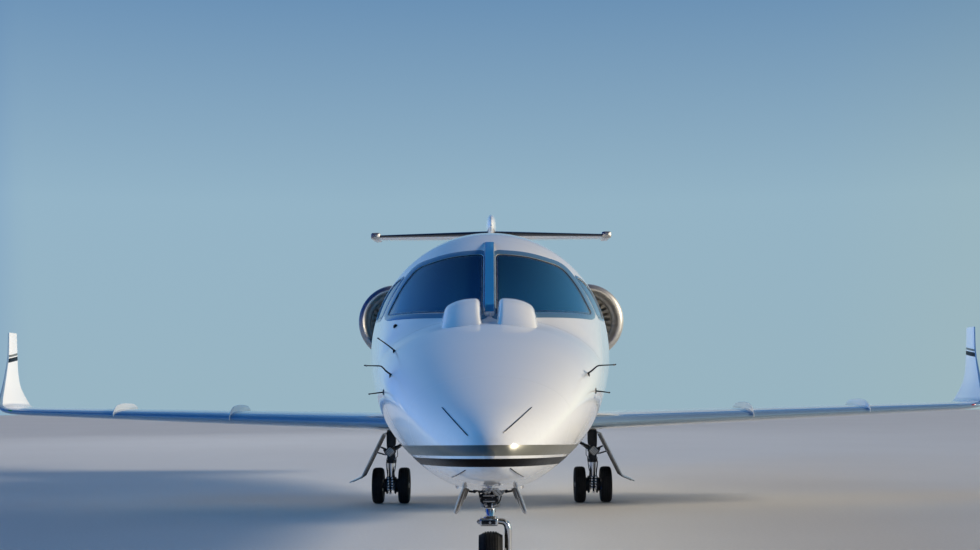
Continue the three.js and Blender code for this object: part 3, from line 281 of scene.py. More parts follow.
def resampled(outline, count):
    """The same closed outline with its points evenly spaced."""
    closed = np.concatenate([outline, outline[:1]])
    reach = np.concatenate([[0], np.cumsum(np.linalg.norm(np.diff(closed, axis=0), axis=1))])
    place = np.linspace(0, reach[-1], count, endpoint=False)
    return np.stack([np.interp(place, reach, closed[:, k]) for k in (0, 1)], -1)


def plate(outline, place, low, high, edge=0.002, finish=0):
    """A flat plate: an outline drawn in by its edge radius at both faces. place turns two places and a depth into a
    point."""
    depth = [low, low + edge * 0.3, low + edge, high - edge, high - edge * 0.3, high]
    draw = [-edge, -edge * 0.3, 0, 0, -edge * 0.3, -edge]
    rows = [place(offset(outline, d), z) for d, z in zip(draw, depth)]
    return hull(rows, finish)


def block(low, high, edge=0.006, finish=0):
    """A box with rounded edges: a rounded rectangle drawn in by a quarter circle towards its two ends."""
    low, high = np.minimum(low, high), np.maximum(low, high)
    middle, half = (low + high) / 2, (high - low) / 2
    edge = min(edge, half.min() * 0.95)
    turn = np.linspace(0, np.pi / 2, 5)
    height = np.concatenate([-half[2] + edge - edge * np.cos(turn), half[2] - edge + edge * np.sin(turn)])
    inward = np.concatenate([edge - edge * np.sin(turn), edge - edge * np.cos(turn)])
    rows = []
    for z, draw in zip(height, inward):
        corner = [
            (a * (half[0] - draw), b * (half[1] - draw), max(edge - draw, 1e-4))
            for a, b in ((-1, -1), (1, -1), (1, 1), (-1, 1))
        ]
        outline = rounded(corner, 4)
        rows.append(np.column_stack([outline, np.full(len(outline), z)]))
    return hull(np.array(rows) + middle, finish)


def make(name, form, looks, body, slot, replaced=(), welded=True, thickness=0.0, inner=0, edge=0.0, sharp=38):
    """Puts a form into a mesh object at the origin, with its finishes and body, and hides the frame's nodes that it
    stands for. Its slot is not used."""
    mesh = bpy.data.meshes.new(name)
    faces = [face for rows in form.faces for face in rows.tolist()]
    mesh.from_pydata(np.concatenate(form.points).tolist(), [], faces)
    mesh.polygons.foreach_set("material_index", np.concatenate(form.finishes).astype(np.int32))
    work = bmesh.new()
    work.from_mesh(mesh)
    bmesh.ops.remove_doubles(work, verts=work.verts, dist=2e-6)
    if welded:
        bmesh.ops.recalc_face_normals(work, faces=work.faces)
    work.to_mesh(mesh)
    work.free()
    for look in looks:
        mesh.materials.append(look)
    mesh.shade_smooth()
    mesh.set_sharp_from_angle(angle=math.radians(sharp))
    piece = bpy.data.objects.new(name, mesh)
    bpy.context.scene.collection.objects.link(piece)
    levels = bpy.context.scene.jet_sizes.edge_steps
    if thickness:
        solid = piece.modifiers.new("thickness", "SOLIDIFY")
        solid.thickness, solid.offset = thickness, -1
        solid.material_offset = solid.material_offset_rim = inner
    if edge:
        bevel = piece.modifiers.new("edge", "BEVEL")
        bevel.width, bevel.segments, bevel.limit_method = edge, levels, "ANGLE"
        bevel.angle_limit = math.radians(40)
    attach(piece, body)
    if replaced:
        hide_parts(*replaced)
    return piece


# The body's surface


def at(station):
    """The y coordinate of a station: the nose tip's plus the distance aft of it."""
    return np.asarray(station, float) + NOSE_TIP


def section(station, depth=0.0):
    """Half width, top, bottom and widest height of the body, each a smooth curve through its table, less a depth."""
    half, top, low, widest = (smooth(BODY, k, station) for k in (1, 2, 3, 4))
    return half - depth, top - depth, low + depth, widest


def on_body(station, angle, depth=0.0):
    """A point of the body: each section is a pair of half superellipses that meet at the widest height."""
    half, top, low, widest = section(station, depth)
    c, s = np.cos(angle), np.sin(angle)
    reach = np.where(s > 0, top - widest, widest - low)
    exponent = 2 / ROUNDNESS
    return stack(power(c, exponent) * half, at(station), widest + power(s, exponent) * reach)


def flank(station, height, side=1, depth=0.0):
    """The point of the body's side at a station and height."""
    half, top, low, widest = section(station, depth)
    part = np.abs(height - widest) / np.where(height > widest, top - widest, widest - low)
    across = half * np.clip(1 - part**ROUNDNESS, 0, 1) ** (1 / ROUNDNESS)
    return stack(side * across, at(station), height)


def swell(station, x, z, depth=0.0):
    """How far out a point is as a share of the body's reach in its direction: one on the surface."""
    half, top, low, widest = section(station, depth)
    reach = np.where(z > widest, top - widest, widest - low)
    return ((np.abs(x) / half) ** ROUNDNESS + (np.abs(z - widest) / reach) ** ROUNDNESS) ** (1 / ROUNDNESS)


HALVINGS = 34


def facing(x, z, depth=0.0, first=0.02):
    """The point of the body that is first met from ahead at a place across and a height, found by halving."""
    x, z = np.broadcast_arrays(np.asarray(x, float), np.asarray(z, float))
    low, high = np.full(x.shape, first), np.full(x.shape, COCKPIT_END)
    for _ in range(HALVINGS):
        middle = (low + high) / 2
        ahead = swell(middle, x, z, depth) > 1
        low, high = np.where(ahead, middle, low), np.where(ahead, high, middle)
    return stack(x, at(high), z)


def crest(station, x):
    """Height of the body's top at a place across it."""
    half, top, _, widest = section(station)
    inside = np.clip(1 - np.abs(x / half) ** ROUNDNESS, 0, 1)
    return widest + (top - widest) * inside ** (1 / ROUNDNESS)


def beneath(x, station, depth=0.0):
    """The point of the body's underside at a place across and a station."""
    half, _, low, widest = section(station, depth)
    drop = (widest - low) * np.clip(1 - (np.abs(x) / half) ** ROUNDNESS, 0, 1) ** (1 / ROUNDNESS)
    return stack(x, at(station), widest - drop)


VIEWS = {
    "side": (
        lambda p: np.stack([p[..., 1] - NOSE_TIP, p[..., 2]], -1),
        lambda q, side, depth: flank(q[:, 0], q[:, 1], side, depth)
    ),
    "front": (
        lambda p: np.stack([p[..., 0], p[..., 2]], -1), lambda q, side, depth: facing(q[:, 0], q[:, 1], depth, 1.9)
    ),
    "under": (
        lambda p: np.stack([p[..., 0], p[..., 1] - NOSE_TIP], -1),
        lambda q, side, depth: beneath(q[:, 0], q[:, 1], depth)
    ),
}


def signed(points, outline):
    """The distance of points from a closed outline, below zero inside it, and the nearest places on it."""
    a, b = outline, np.roll(outline, -1, 0)
    run = b - a
    away = points[:, None] - a
    t = np.clip((away * run).sum(-1) / np.maximum((run * run).sum(-1), 1e-12), 0, 1)
    near = a + t[..., None] * run
    distance = np.linalg.norm(points[:, None] - near, axis=-1)
    first = distance.argmin(1)
    rows = np.arange(len(points))
    x, y = points[:, :1], points[:, 1:]
    spans = (a[:, 1] > y) != (b[:, 1] > y)
    rise = np.where(run[:, 1] == 0, 1e-12, run[:, 1])
    crossings = spans & (x < a[:, 0] + (y - a[:, 1]) / rise * run[:, 0])
    inside = crossings.sum(1) % 2 == 1
    return np.where(inside, -1, 1) * distance[rows, first], near[rows, first]


def skin(stations, angles, holes=(), depth=0.0, keep=1, around=True):
    """A patch of the body's surface. Grid points beside a hole's outline are drawn onto it, and only the faces
    outside the holes (keep 1) or inside (keep -1) stay.
    A hole is a view, a side and an outline as seen in that view."""
    points = on_body(stations[:, None], angles[None, :], depth)
    margin, unmeasured, underside = 0.12, 9.0, 1.3
    far = np.full(points.shape[:2], unmeasured)
    state = np.ones(points.shape[:2], int)
    for view, side, outline in holes:
        flatten, lift = VIEWS[view]
        flat = flatten(points)
        low, high = outline.min(0) - margin, outline.max(0) + margin
        near = ((flat > low) & (flat < high)).all(-1)
        near &= points[..., 0] * side > 0 if side else points[..., 2] < underside
        away = np.full(near.shape, unmeasured)
        spot = np.zeros((*near.shape, 2))
        away[near], spot[near] = signed(flat[near], outline)
        pulled = np.zeros(near.shape, bool)
        for axis in (0, 1):
            following = np.roll(away, -1, axis)
            crosses = away * following < 0
            closer = np.abs(away) <= np.abs(following)
            pulled |= crosses & closer
            pulled |= np.roll(crosses & ~closer, 1, axis)
        points[pulled] = lift(spot[pulled], side, depth)
        state[(away < 0) & ~pulled] = -1
        state[pulled] = 0
        far = np.where(np.abs(away) < np.abs(far), away, far)
    rows, columns = state.shape
    index = np.arange(rows * columns).reshape(rows, columns)
    if around:
        index = np.concatenate([index, index[:, :1]], 1)
    quads = np.stack([index[:-1, :-1], index[1:, :-1], index[1:, 1:], index[:-1, 1:]], -1).reshape(-1, 4)
    mark = keep * state.ravel()[quads]
    middle = keep * far.ravel()[quads].mean(1)
    whole = (mark >= 0).all(1) & ((mark == 1).any(1) | (middle > 0))
    halves = []
    for j in range(4):
        a, b, c, d = (mark[:, (j + k) % 4] for k in range(4))
        split = (a == -1) & (b == 0) & (c == 1) & (d == 0)
        halves.append(quads[split][:, [(j + 1) % 4, (j + 2) % 4, (j + 3) % 4]])
    faces = [quads[whole], np.concatenate(halves)]
    used = np.unique(np.concatenate([part.ravel() for part in faces]))
    renumber = np.zeros(rows * columns, int)
    renumber[used] = np.arange(len(used))
    return Form().add(points.reshape(-1, 3)[used], [renumber[part] for part in faces])


def ring_angles(*spans):
    """Angles right round the body from those of its left half, in degrees from level."""
    half = np.radians(lines(*spans))
    return np.concatenate([half, (np.pi - half)[::-1][1:-1]])


# Finishes


class Wire:
    """A shader socket. Arithmetic and comparisons on it add Math nodes."""

    def __init__(self, finish, socket):
        self.finish, self.socket = finish, socket

    def math(self, operation, *others):
        values = dict(enumerate((self, *others)))
        return self.finish.node("ShaderNodeMath", {"operation": operation}, values)

    def __add__(self, other):
        return self.math("ADD", other)

    def __mul__(self, other):
        return self.math("MULTIPLY", other)

    __radd__, __rmul__ = __add__, __mul__

    def __sub__(self, other):
        return self.math("SUBTRACT", other)

    def __rsub__(self, other):
        return self.finish.node("ShaderNodeMath", {"operation": "SUBTRACT"}, {0: other, 1: self})

    def __gt__(self, other):
        return self.math("GREATER_THAN", other)

    def __lt__(self, other):
        return self.math("LESS_THAN", other)

    def near(self, place, reach):
        return self.math("COMPARE", place, reach)

    def every(self, step, reach):
        """One on thin lines that repeat along a coordinate, and zero between them."""
        return self.math("PINGPONG", step / 2) < reach

    def eased(self, low, high):
        return self.finish.node(
            "ShaderNodeMapRange", {"interpolation_type": "SMOOTHSTEP"}, {0: self, 1: low, 2: high}
        )


class Finish:
    """A material whose nodes are added by one method. It reads Object coordinates."""

    def __init__(self, name):
        self.material = bpy.data.materials.get(name) or bpy.data.materials.new(name)
        self.material.use_nodes = True
        self.tree = self.material.node_tree
        self.tree.nodes.clear()
        self.place = self.node("ShaderNodeTexCoord", {}, {}, "Object")
        parts = self.tree.nodes.new("ShaderNodeSeparateXYZ")
        self.tree.links.new(self.place.socket, parts.inputs[0])
        self.x, self.y, self.z = (Wire(self, socket) for socket in parts.outputs)
        self.side = self.x.math("ABSOLUTE")

    def node(self, kind, settings, values, output=0):
        made = self.tree.nodes.new(kind)
        for name, value in settings.items():
            setattr(made, name, value)
        for name, value in values.items():
            if isinstance(value, Wire):
                self.tree.links.new(value.socket, made.inputs[name])
            else:
                made.inputs[name].default_value = value
        return Wire(self, made.outputs[output])

    def noise(self, scale, detail=2.0, stretch=None):
        place = self.place
        if stretch:
            place = self.node("ShaderNodeVectorMath", {"operation": "MULTIPLY"}, {0: place, 1: stretch})
        return self.node(
            "ShaderNodeTexNoise", {}, {"Vector": place, "Scale": scale, "Detail": detail, "Roughness": 0.5}, "Fac"
        )

    def cells(self, scale, feature="F1"):
        return self.node(
            "ShaderNodeTexVoronoi", {"feature": feature}, {"Vector": self.place, "Scale": scale}, "Distance"
        )

    def mix(self, factor, first, second):
        return self.node("ShaderNodeMix", {"data_type": "RGBA"}, {0: factor, 6: colour(first), 7: colour(second)}, 2)

    def surface(self, base, roughness, metallic=0.0, bump=None, height=0.001, **fixed):
        """Ends the material in one Principled shader. bump is a height that a Bump node turns into a normal."""
        values = {"Base Color": colour(base), "Roughness": roughness, "Metallic": metallic}
        values.update({name.replace("_", " ").title().replace("Ior", "IOR"): value for name, value in fixed.items()})
        if bump is not None:
            values["Normal"] = self.node("ShaderNodeBump", {}, {"Strength": 1.0, "Distance": height, "Height": bump})
        shader = self.node("ShaderNodeBsdfPrincipled", {}, values)
        end = self.tree.nodes.new("ShaderNodeOutputMaterial")
        self.tree.links.new(shader.socket, end.inputs["Surface"])
        return self.material


def colour(value):
    """A colour with an alpha added, or anything else as it is."""
    return (*value, 1.0) if isinstance(value, tuple) and len(value) == 3 else value


def palette():
    return bpy.context.scene.jet_colours


def tint(name):
    return tuple(getattr(palette(), name))


# Half widths of seams and of fasteners, and places of seams along the body, by station.
BODY_SEAM, PANEL_SEAM, FASTENER = 0.0013, 0.0012, 0.0022
SEAMS = (2.15, 2.95, 3.751, 5.6, 7.4, 9.2, 10.301, 11.0, 12.45, 13.9, 15.1)


def body_marks(f):
    """Seams round the body at fixed stations, with a row of flush fasteners along each."""
    seam = None
    for station in SEAMS:
        line = f.y.near(station + NOSE_TIP, BODY_SEAM)
        seam = line if seam is None else seam + line
    rows = None
    for station in SEAMS[1:]:
        for way in (-0.016, 0.016):
            row = f.y.near(station + NOSE_TIP + way, FASTENER)
            rows = row if rows is None else rows + row
    return seam.math("MINIMUM", 1.0), (rows * f.z.every(0.03, FASTENER)).math("MINIMUM", 1.0)


def wing_marks(f):
    """Seams along the wing, aft of its nose strip, with fasteners beside them, and seams across it."""
    sweep = f.y - f.side * 0.2904
    seam = sweep.near(-1.16, PANEL_SEAM) + sweep.near(-0.2, PANEL_SEAM)
    across = f.side.near(1.1, PANEL_SEAM) + f.side.near(3.93, PANEL_SEAM) + f.side.near(5.86, PANEL_SEAM)
    rows = sweep.near(-1.176, FASTENER) + sweep.near(-0.216, FASTENER)
    return (seam + across).math("MINIMUM", 1.0), rows * f.side.every(0.034, FASTENER)


def cowl_marks(f):
    """Seams round an engine's cowl and along its panels."""
    front, back, lip, away = 11.62 + NOSE_TIP, 12.72 + NOSE_TIP, 10.83 + NOSE_TIP, 0.015
    seam = f.y.near(front, BODY_SEAM) + f.y.near(back, BODY_SEAM)
    along = f.z.near(2.3, PANEL_SEAM) * (f.y > front)
    rows = f.y.near(front - away, FASTENER) + f.y.near(back + away, FASTENER) + f.y.near(lip, FASTENER)
    return (seam + along).math("MINIMUM", 1.0), rows * f.z.every(0.036, FASTENER)


def paint(name, base, marks=None, stripes=None, roughness=0.1, metal=0.0):
    """Gloss paint: a faint cloudiness in its colour, a fine ripple in its clear coat, a little dust below.
    stripes are the limits of a metallic stripe and of a dark one on a height that leans by a slope along the body.
    With no slope given they sink 43 mm for each metre over the first metre and a half, then run level."""
    f = Finish(name)
    cloud = f.noise(1.3, 3.0)
    speck = f.noise(38.0, 4.0)
    dust = (1 - f.z.eased(0.5, 1.5)) * speck.eased(0.45, 0.75)
    tone = f.mix(cloud * 0.5, base, tuple(value * 0.955 for value in base))
    tone = f.mix(dust * 0.22, tone, (0.42, 0.38, 0.32))
    coat = plain_coat = 0.5
    gloss = speck * 0.05 + cloud * 0.03 + (roughness - 0.04) + dust * 0.1
    if stripes:
        (low, high), (dark_low, dark_high), slope = stripes
        drop = (f.y - NOSE_TIP).math("MINIMUM", 1.5) * 0.043
        height = f.z + drop if slope is None else f.z - f.y * slope
        upper = (height > low) * (height < high)
        lower = (height > dark_low) * (height < dark_high)
        flake = f.noise(900.0, 1.0)
        tone = f.mix(upper, tone, f.mix(flake * 0.5, tint("stripe"), tuple(v * 0.7 for v in tint("stripe"))))
        tone = f.mix(lower, tone, tint("dark_stripe"))
        metal = upper * 0.35 + lower * 0.85
        gloss = gloss + upper * 0.2 + lower * 0.32
        coat = plain_coat - upper * 0.36 - lower * 0.46
    ripple = f.noise(210.0, 2.0) * 0.05
    if marks:
        seam, fasteners = marks(f)
        tone = f.mix(seam * 0.75 + fasteners * 0.22, tone, (0.16, 0.165, 0.17))
        gloss = gloss + seam * 0.3
        ripple = ripple - seam
    return f.surface(
        tone, gloss, metal, ripple, 0.0008, coat_weight=coat, coat_roughness=0.04, specular_ior_level=0.5
    )


def metal(name, base, roughness, brushed=(1, 1, 1), wear=0.3):
    """Bare or polished metal: its roughness streaks one way and its colour darkens a little in patches."""
    f = Finish(name)
    streak = f.noise(60.0, 3.0, brushed)
    patch = f.noise(7.0, 4.0)
    tone = f.mix(patch.eased(0.35, 0.7) * wear, base, tuple(value * 0.55 for value in base))
    gloss = streak * roughness * 0.7 + patch * roughness * 0.5 + roughness * 0.4
    return f.surface(tone, gloss, 1.0, streak * 0.2, 0.0002)


def finishes():
    """Every material of the jet, by its plain name."""
    white = tint("paint")
    looks = {
        "striped": paint("striped_white_paint", white, body_marks, ((1.071, 1.129), (1.012, 1.056), None)),
        "wing": paint("wing_white_paint", white, wing_marks),
        "nacelle": paint("cowl_white_paint", white, cowl_marks),
        "winglet": paint("winglet_white_paint", white, None, ((1.728, 1.756), (1.662, 1.714), 0.1)),
        "white": paint("white_paint", white),
        "frame": paint("windshield_frame_paint", (0.1, 0.2, 0.3), roughness=0.2),
        # The windshield post's face is blue as painted shade on a white post.
        "post": paint("windshield_post_paint", (0.03, 0.24, 0.5), roughness=0.24),
        "edge": paint("door_edge_paint", (0.62, 0.63, 0.62), roughness=0.3),
        "taupe_lining": paint("door_lining_paint", (0.13, 0.11, 0.09), roughness=0.45),
        "black_paint": paint("black_paint", (0.015, 0.015, 0.017), roughness=0.25),
        "red_lens": paint("red_lens", (0.5, 0.02, 0.015), roughness=0.08),
        "green_lens": paint("green_lens", (0.01, 0.3, 0.08), roughness=0.08),
        "gear": paint("gear_paint", tint("gear"), roughness=0.34),
        # The main gear's paint is the gear colour darkened as painted shade.
        "main_gear": paint("main_gear_paint", tuple(value * 0.22 for value in tint("gear")), roughness=0.34),
        "dark_lining": paint("dark_door_lining_paint", (0.05, 0.045, 0.04), roughness=0.45),
        "bay": paint("bay_primer", (0.42, 0.43, 0.4), roughness=0.5),
        "polished": metal("polished_aluminium", (0.87, 0.88, 0.9), 0.11, (1, 14, 1)),
        "lip": metal("intake_lip_metal", (0.62, 0.6, 0.56), 0.52, (1, 9, 1), 0.15),
        "chrome": metal("piston_chrome", (0.83, 0.84, 0.86), 0.16, (1, 1, 30), 0.1),
        "steel": metal("brushed_steel", (0.55, 0.55, 0.56), 0.28, (1, 1, 12)),
        "dark_metal": metal("dark_hydraulic_metal", (0.045, 0.048, 0.054), 0.42, wear=0.5),
        "fork": metal("fork_aluminium", (0.74, 0.74, 0.74), 0.2, (1, 1, 9), 0.15),
        "titanium": metal("fan_titanium", (0.74, 0.71, 0.66), 0.3, (6, 1, 6), 0.2),
        "exhaust": metal("heat_tinted_metal", (0.36, 0.31, 0.27), 0.36, (1, 20, 1), 0.7),
    }
    looks["liner"] = perforated_liner()
    looks["rubber"] = rubber()
    looks["hose"] = hose_rubber()
    # The leading edges' metal is tinted blue as a painted reflection of the sky.
    looks["painted_sky_edge"] = paint("leading_edge_metallic", (0.36, 0.54, 0.7), roughness=0.2, metal=0.5)
    looks["boot"] = paint("leading_edge_boot", (0.012, 0.014, 0.018), roughness=0.22)
    looks["glass"] = glass("windshield_glass", tint("glass"))
    looks["cabin_glass"] = glass("cabin_window_glass", tuple(value * 0.22 for value in tint("glass")))
    looks["lamp"] = lens()
    looks["leather"] = leather()
    looks["carpet"] = carpet()
    looks["trim"] = trim("cabin_trim", (0.5, 0.46, 0.4), 0.55)
    looks["dark_trim"] = trim("panel_plastic", (0.03, 0.031, 0.034), 0.6)
    looks["screen"] = screen()
    return looks


def perforated_liner():
    """The intake's acoustic lining: a grey raised to pale grey as painted light against the lip's shade, with a dark
    dot of painted shade in each cell for its perforations.
    """
    f = Finish("intake_liner")
    # Dark dots of painted shade stand for the perforations.
    holes = f.cells(160.0).eased(0.25, 0.4)
    # The pale grey is raised as painted light to offset the shade of the intake lip.
    tone = f.mix(f.noise(5.0, 3.0) * 0.6, (0.82, 0.79, 0.74), (0.66, 0.64, 0.6))
    return f.surface(f.mix(holes, (0.2, 0.195, 0.185), tone), 0.42 + f.noise(20.0) * 0.15, 0.1, holes, 0.0008)


def rubber():
    """Tyre rubber: near black, with a fine moulded grain and dusty scuffs."""
    f = Finish("tyre_rubber")
    scuff = f.noise(24.0, 5.0, (1, 3, 3))
    grain = f.noise(420.0, 3.0)
    tone = f.mix(scuff.eased(0.4, 0.72) * 0.5, (0.006, 0.006, 0.007), (0.024, 0.023, 0.022))
    tone = f.mix(grain.eased(0.55, 0.8) * 0.3, tone, (0.04, 0.038, 0.036))
    return f.surface(tone, 0.62 + scuff * 0.2, 0.0, grain, 0.0005, specular_ior_level=0.3)


def hose_rubber():
    """Black hose with a faint weave."""
    f = Finish("hose_rubber")
    rib = f.noise(330.0, 2.0)
    return f.surface(f.mix(rib * 0.4, (0.02, 0.02, 0.022), (0.05, 0.05, 0.052)), 0.5 + rib * 0.15, 0.0, rib, 0.0006)


def glass(name, base):
    """Dark tinted glass with a painted reflection that lightens it towards the sides of the body and low down, so it
    is deeper in tone near the middle and the top, with faint dust on it.
    """
    f = Finish(name)
    dust = f.noise(90.0, 5.0)
    # Painted reflection: the tint lightens towards the sides and low down.
    low = (2.5 - f.z).eased(0.0, 0.5)
    tone = f.mix(f.side.eased(0.12, 0.8) * 0.6 + low * 0.4, tuple(value * 0.3 for value in base), base)
    tone = f.mix(dust.eased(0.55, 0.85) * 0.12, tone, tuple(min(1.0, value * 1.6 + 0.02) for value in base))
    return f.surface(
        tone, dust * 0.03 + 0.01, 0.0, None, transmission_weight=0.5, ior=1.45, coat_weight=0.3, coat_roughness=0.01
    )


def lens():
    """Clear lamp glass with dark ribs on lines where side and height add up to a step."""
    f = Finish("lamp_lens")
    ribs = (f.side + f.z).every(0.03, 0.0045)
    return f.surface(
        f.mix(ribs * 0.85, (0.6, 0.62, 0.62), (0.1, 0.105, 0.11)), 0.12 + ribs * 0.2, 0.1, ribs, 0.001,
        coat_weight=0.8
    )


def leather():
    """Seat leather: folds from broad noise, pores from small cells."""
    f = Finish("seat_leather")
    pores = f.cells(420.0, "SMOOTH_F1")
    fold = f.noise(9.0, 4.0)
    base = tint("leather")
    tone = f.mix(fold * 0.5, base, tuple(value * 0.74 for value in base))
    return f.surface(tone, 0.42 + fold * 0.2 + pores * 0.1, 0.0, pores + fold * 2, 0.0009, sheen_weight=0.15)


def carpet():
    """Cut pile from fine noise, in a colour that drifts slowly."""
    f = Finish("cabin_carpet")
    pile = f.noise(520.0, 3.0)
    wash = f.noise(4.0, 3.0)
    tone = f.mix(pile, (0.1, 0.085, 0.065), (0.23, 0.2, 0.165))
    return f.surface(
        f.mix(wash * 0.4, tone, (0.13, 0.115, 0.09)), 0.95 - pile * 0.08, 0.0, pile, 0.004, sheen_weight=0.3
    )


def trim(name, base, roughness):
    """Moulded plastic or lining with a fine cell grain."""
    f = Finish(name)
    grain = f.cells(650.0)
    wash = f.noise(3.0, 3.0)
    tone = f.mix(wash * 0.35, base, tuple(value * 0.8 for value in base))
    return f.surface(tone, roughness + grain * 0.12, 0.0, grain, 0.0004)


def screen():
    """A dark display with a painted glow that makes it a little bluer in places. It shows no picture."""
    f = Finish("display_glass")
    painted_glow = f.noise(6.0, 2.0).eased(0.35, 0.75)
    tone = f.mix(painted_glow, (0.004, 0.006, 0.01), (0.012, 0.03, 0.06))
    return f.surface(tone, 0.08 + f.noise(60.0) * 0.05, 0.0, coat_weight=0.9)


LOOKS = {}


def looks(*names):
    """Materials by their plain names, made once."""
    if not LOOKS:
        LOOKS.update(finishes())
    return [LOOKS[name] for name in names]


# Lifting surfaces


# Columns: span position, leading edge, trailing edge, height, thickness ratio, turn up in degrees.
WING = np.array([[0.4, 7.727, 10.37, 1.014, 0.088, 0], [5.9, 9.331, 10.639, 1.1655, 0.0785, 0]])
STABILIZER = np.array([[0, 16.1, 17.43, 4.19, 0.1, 0], [2.2, 17.09, 17.86, 4.258, 0.09, 0]])
# Columns: step along the turn, then as above.
WINGLET = np.array([
    [0, 5.9003, 9.331, 10.639, 1.1655, 0.078, 0], [1, 6.06, 9.385, 10.645, 1.175, 0.078, 7],
    [2, 6.17, 9.445, 10.645, 1.195, 0.078, 24], [3, 6.235, 9.51, 10.635, 1.235, 0.078, 48],
    [4, 6.268, 9.6, 10.61, 1.3, 0.078, 68], [5, 6.343, 9.905, 10.56, 1.48, 0.075, 71.5],
    [6, 6.4, 10.135, 10.62, 1.65, 0.072, 71.5], [7, 6.474, 10.407, 10.775, 1.874, 0.07, 71.5],
    [8, 6.59, 10.72, 11.04, 2.22, 0.07, 71.5],
])
# Columns: height, leading edge, trailing edge, thickness ratio.
FIN = np.array([
    [2.43, 12.0, 16.13, 0.045], [2.775, 12.33, 16.33, 0.047], [2.86, 13.25, 16.4, 0.058],
    [3.01, 13.96, 16.51, 0.07], [3.22, 14.43, 16.67, 0.078], [4.14, 15.74, 17.35, 0.085],
])
# Spans, and hinge places as shares of the chord.
AILERON = {"from": 3.96, "to": 5.65, "hinge": 0.76}
FLAP = {"from": 1.13, "to": 3.9, "hinge": 0.77}
SPOILER = {"from": 1.5, "to": 3.0, "front": 0.6, "back": 0.73, "plate": 0.016, "recess": 0.024}
ELEVATOR = {"from": 0.19, "to": 2.04, "hinge": 0.7}
RUDDER = {"bottom": 3.01, "top": 4.07, "hinges": (15.79, 16.8), "gap": 0.032}
FENCES = {"spans": (3.11, 4.62), "height": 0.07, "thickness": 0.008, "end": 0.68}
TRAILING_EDGE = 0.0016
COVE = 0.008
SPAN_STEP = 0.3


class Surface:
    """Sections of a lifting surface at places along its span: where each leads, its chord, its thickness ratio and
    its own up."""

    def __init__(self, table, places, upright=False, eased=False):
        places = np.asarray(places, float)
        read = (lambda k: smooth(table, k, places)) if eased else (
            lambda k: np.interp(places, table[:, 0], table[:, k])
        )
        first = 1 if eased else 0
        across = read(first) if eased else places
        self.lead_station, back = read(first + 1), read(first + 2)
        self.chord = back - self.lead_station
        if upright:
            self.lead = stack(0, at(self.lead_station), places)
            self.ratio, turn = read(3), np.full(len(places), np.pi / 2)
        else:
            self.lead = stack(across, at(self.lead_station), read(first + 3))
            self.ratio, turn = read(first + 4), np.radians(read(first + 5))
        self.up = stack(-np.sin(turn), 0, np.cos(turn))

    def half(self, c):
        """Half the thickness as a share of the chord: a four-figure section's square root and quartic, and a thin
        blunt trailing edge."""
        c = np.asarray(c, float)
        curve = 0.2969 * np.sqrt(np.abs(c)) - 0.126 * c - 0.3516 * c**2 + 0.2843 * c**3 - 0.1036 * c**4
        return 5 * curve * self.ratio[:, None] + TRAILING_EDGE * c

    def points(self, c, h):
        """Points at shares of the chord aft of the leading edge and up from the chord line."""
        c, h = np.broadcast_arrays(c, h)
        chord = self.chord[:, None, None]
        aft, up = np.array([0.0, 1.0, 0.0]), self.up[:, None]
        return self.lead[:, None] + c[..., None] * chord * aft + h[..., None] * chord * up


LEADING = 0.07
CHORDS = np.concatenate(
    [LEADING * np.linspace(0, 1, 9) ** 2, LEADING + (1 - LEADING) * (1 - np.cos(np.linspace(0, np.pi, 17)[1:])) / 2]
)


def closed_section(surface, c, h):
    """A closed ring of shares of the chord swept along the span. Faces within the leading edge's strip carry another
    finish."""
    ring = np.atleast_2d(c)[0]
    inside = np.maximum(ring, np.roll(ring, -1)) <= LEADING + 1e-6
    return hull(surface.points(c, h), inside.astype(int))


def foil(surface):
    """The whole section, from the rear over the top to the nose and back below."""
    c = np.concatenate([CHORDS[::-1], CHORDS[1:]])
    side = np.concatenate([np.ones(len(CHORDS)), -np.ones(len(CHORDS) - 1)])
    return closed_section(surface, c, side * surface.half(c))


def with_cove(surface, hinge, gap=COVE, stretch=1.0, lip=None):
    """The section ahead of a hinge: its rear is hollowed as an arc about the hinge that leaves a gap round the moving
    nose.
    hinge is a share of the chord, one or one for each section."""
    hinge = np.broadcast_to(hinge, len(surface.chord))[:, None]
    own = surface.half(hinge)
    radius = own + gap / surface.chord[:, None]
    start = np.pi - np.arcsin(np.clip(own / radius * 0.97, 0, 1)) if lip is None else np.full_like(own, lip)
    last = hinge + radius * stretch * np.cos(start)
    shares = CHORDS / CHORDS[-1]
    ahead = np.concatenate(
        [
            np.broadcast_to(CHORDS[:9], (len(hinge), 9)),
            LEADING + (last - LEADING) * (shares[9:] - LEADING) / (1 - LEADING)
        ],
        1
    )
    turn = start + (2 * np.pi - 2 * start) * np.linspace(0, 1, 13)[None, :]
    arc_c = hinge + stretch * radius * np.cos(turn)
    arc_h = radius * np.sin(turn)
    upper = ahead[:, ::-1]
    c = np.concatenate([upper, ahead[:, 1:], arc_c[:, ::-1]], 1)
    top, low = surface.half(upper), -surface.half(ahead[:, 1:])
    h = np.concatenate([top, low, arc_h[:, ::-1]], 1)
    return closed_section(surface, c, h)


def round_nosed(surface, hinge, stretch=1.0):
    """A moving surface behind a hinge: a half circle about the hinge, then the section to its trailing edge."""
    hinge = np.broadcast_to(hinge, len(surface.chord))[:, None]
    radius = surface.half(hinge)
    turn = np.radians(np.linspace(90, 270, 17))[None, :]
    behind = hinge + (1 - hinge) * np.linspace(0, 1, 13)[None, 1:]
    c = np.concatenate([behind[:, ::-1], hinge + stretch * radius * np.cos(turn), behind], 1)
    h = np.concatenate([surface.half(behind)[:, ::-1], radius * np.sin(turn), -surface.half(behind)], 1)
    return hull(surface.points(c, h))


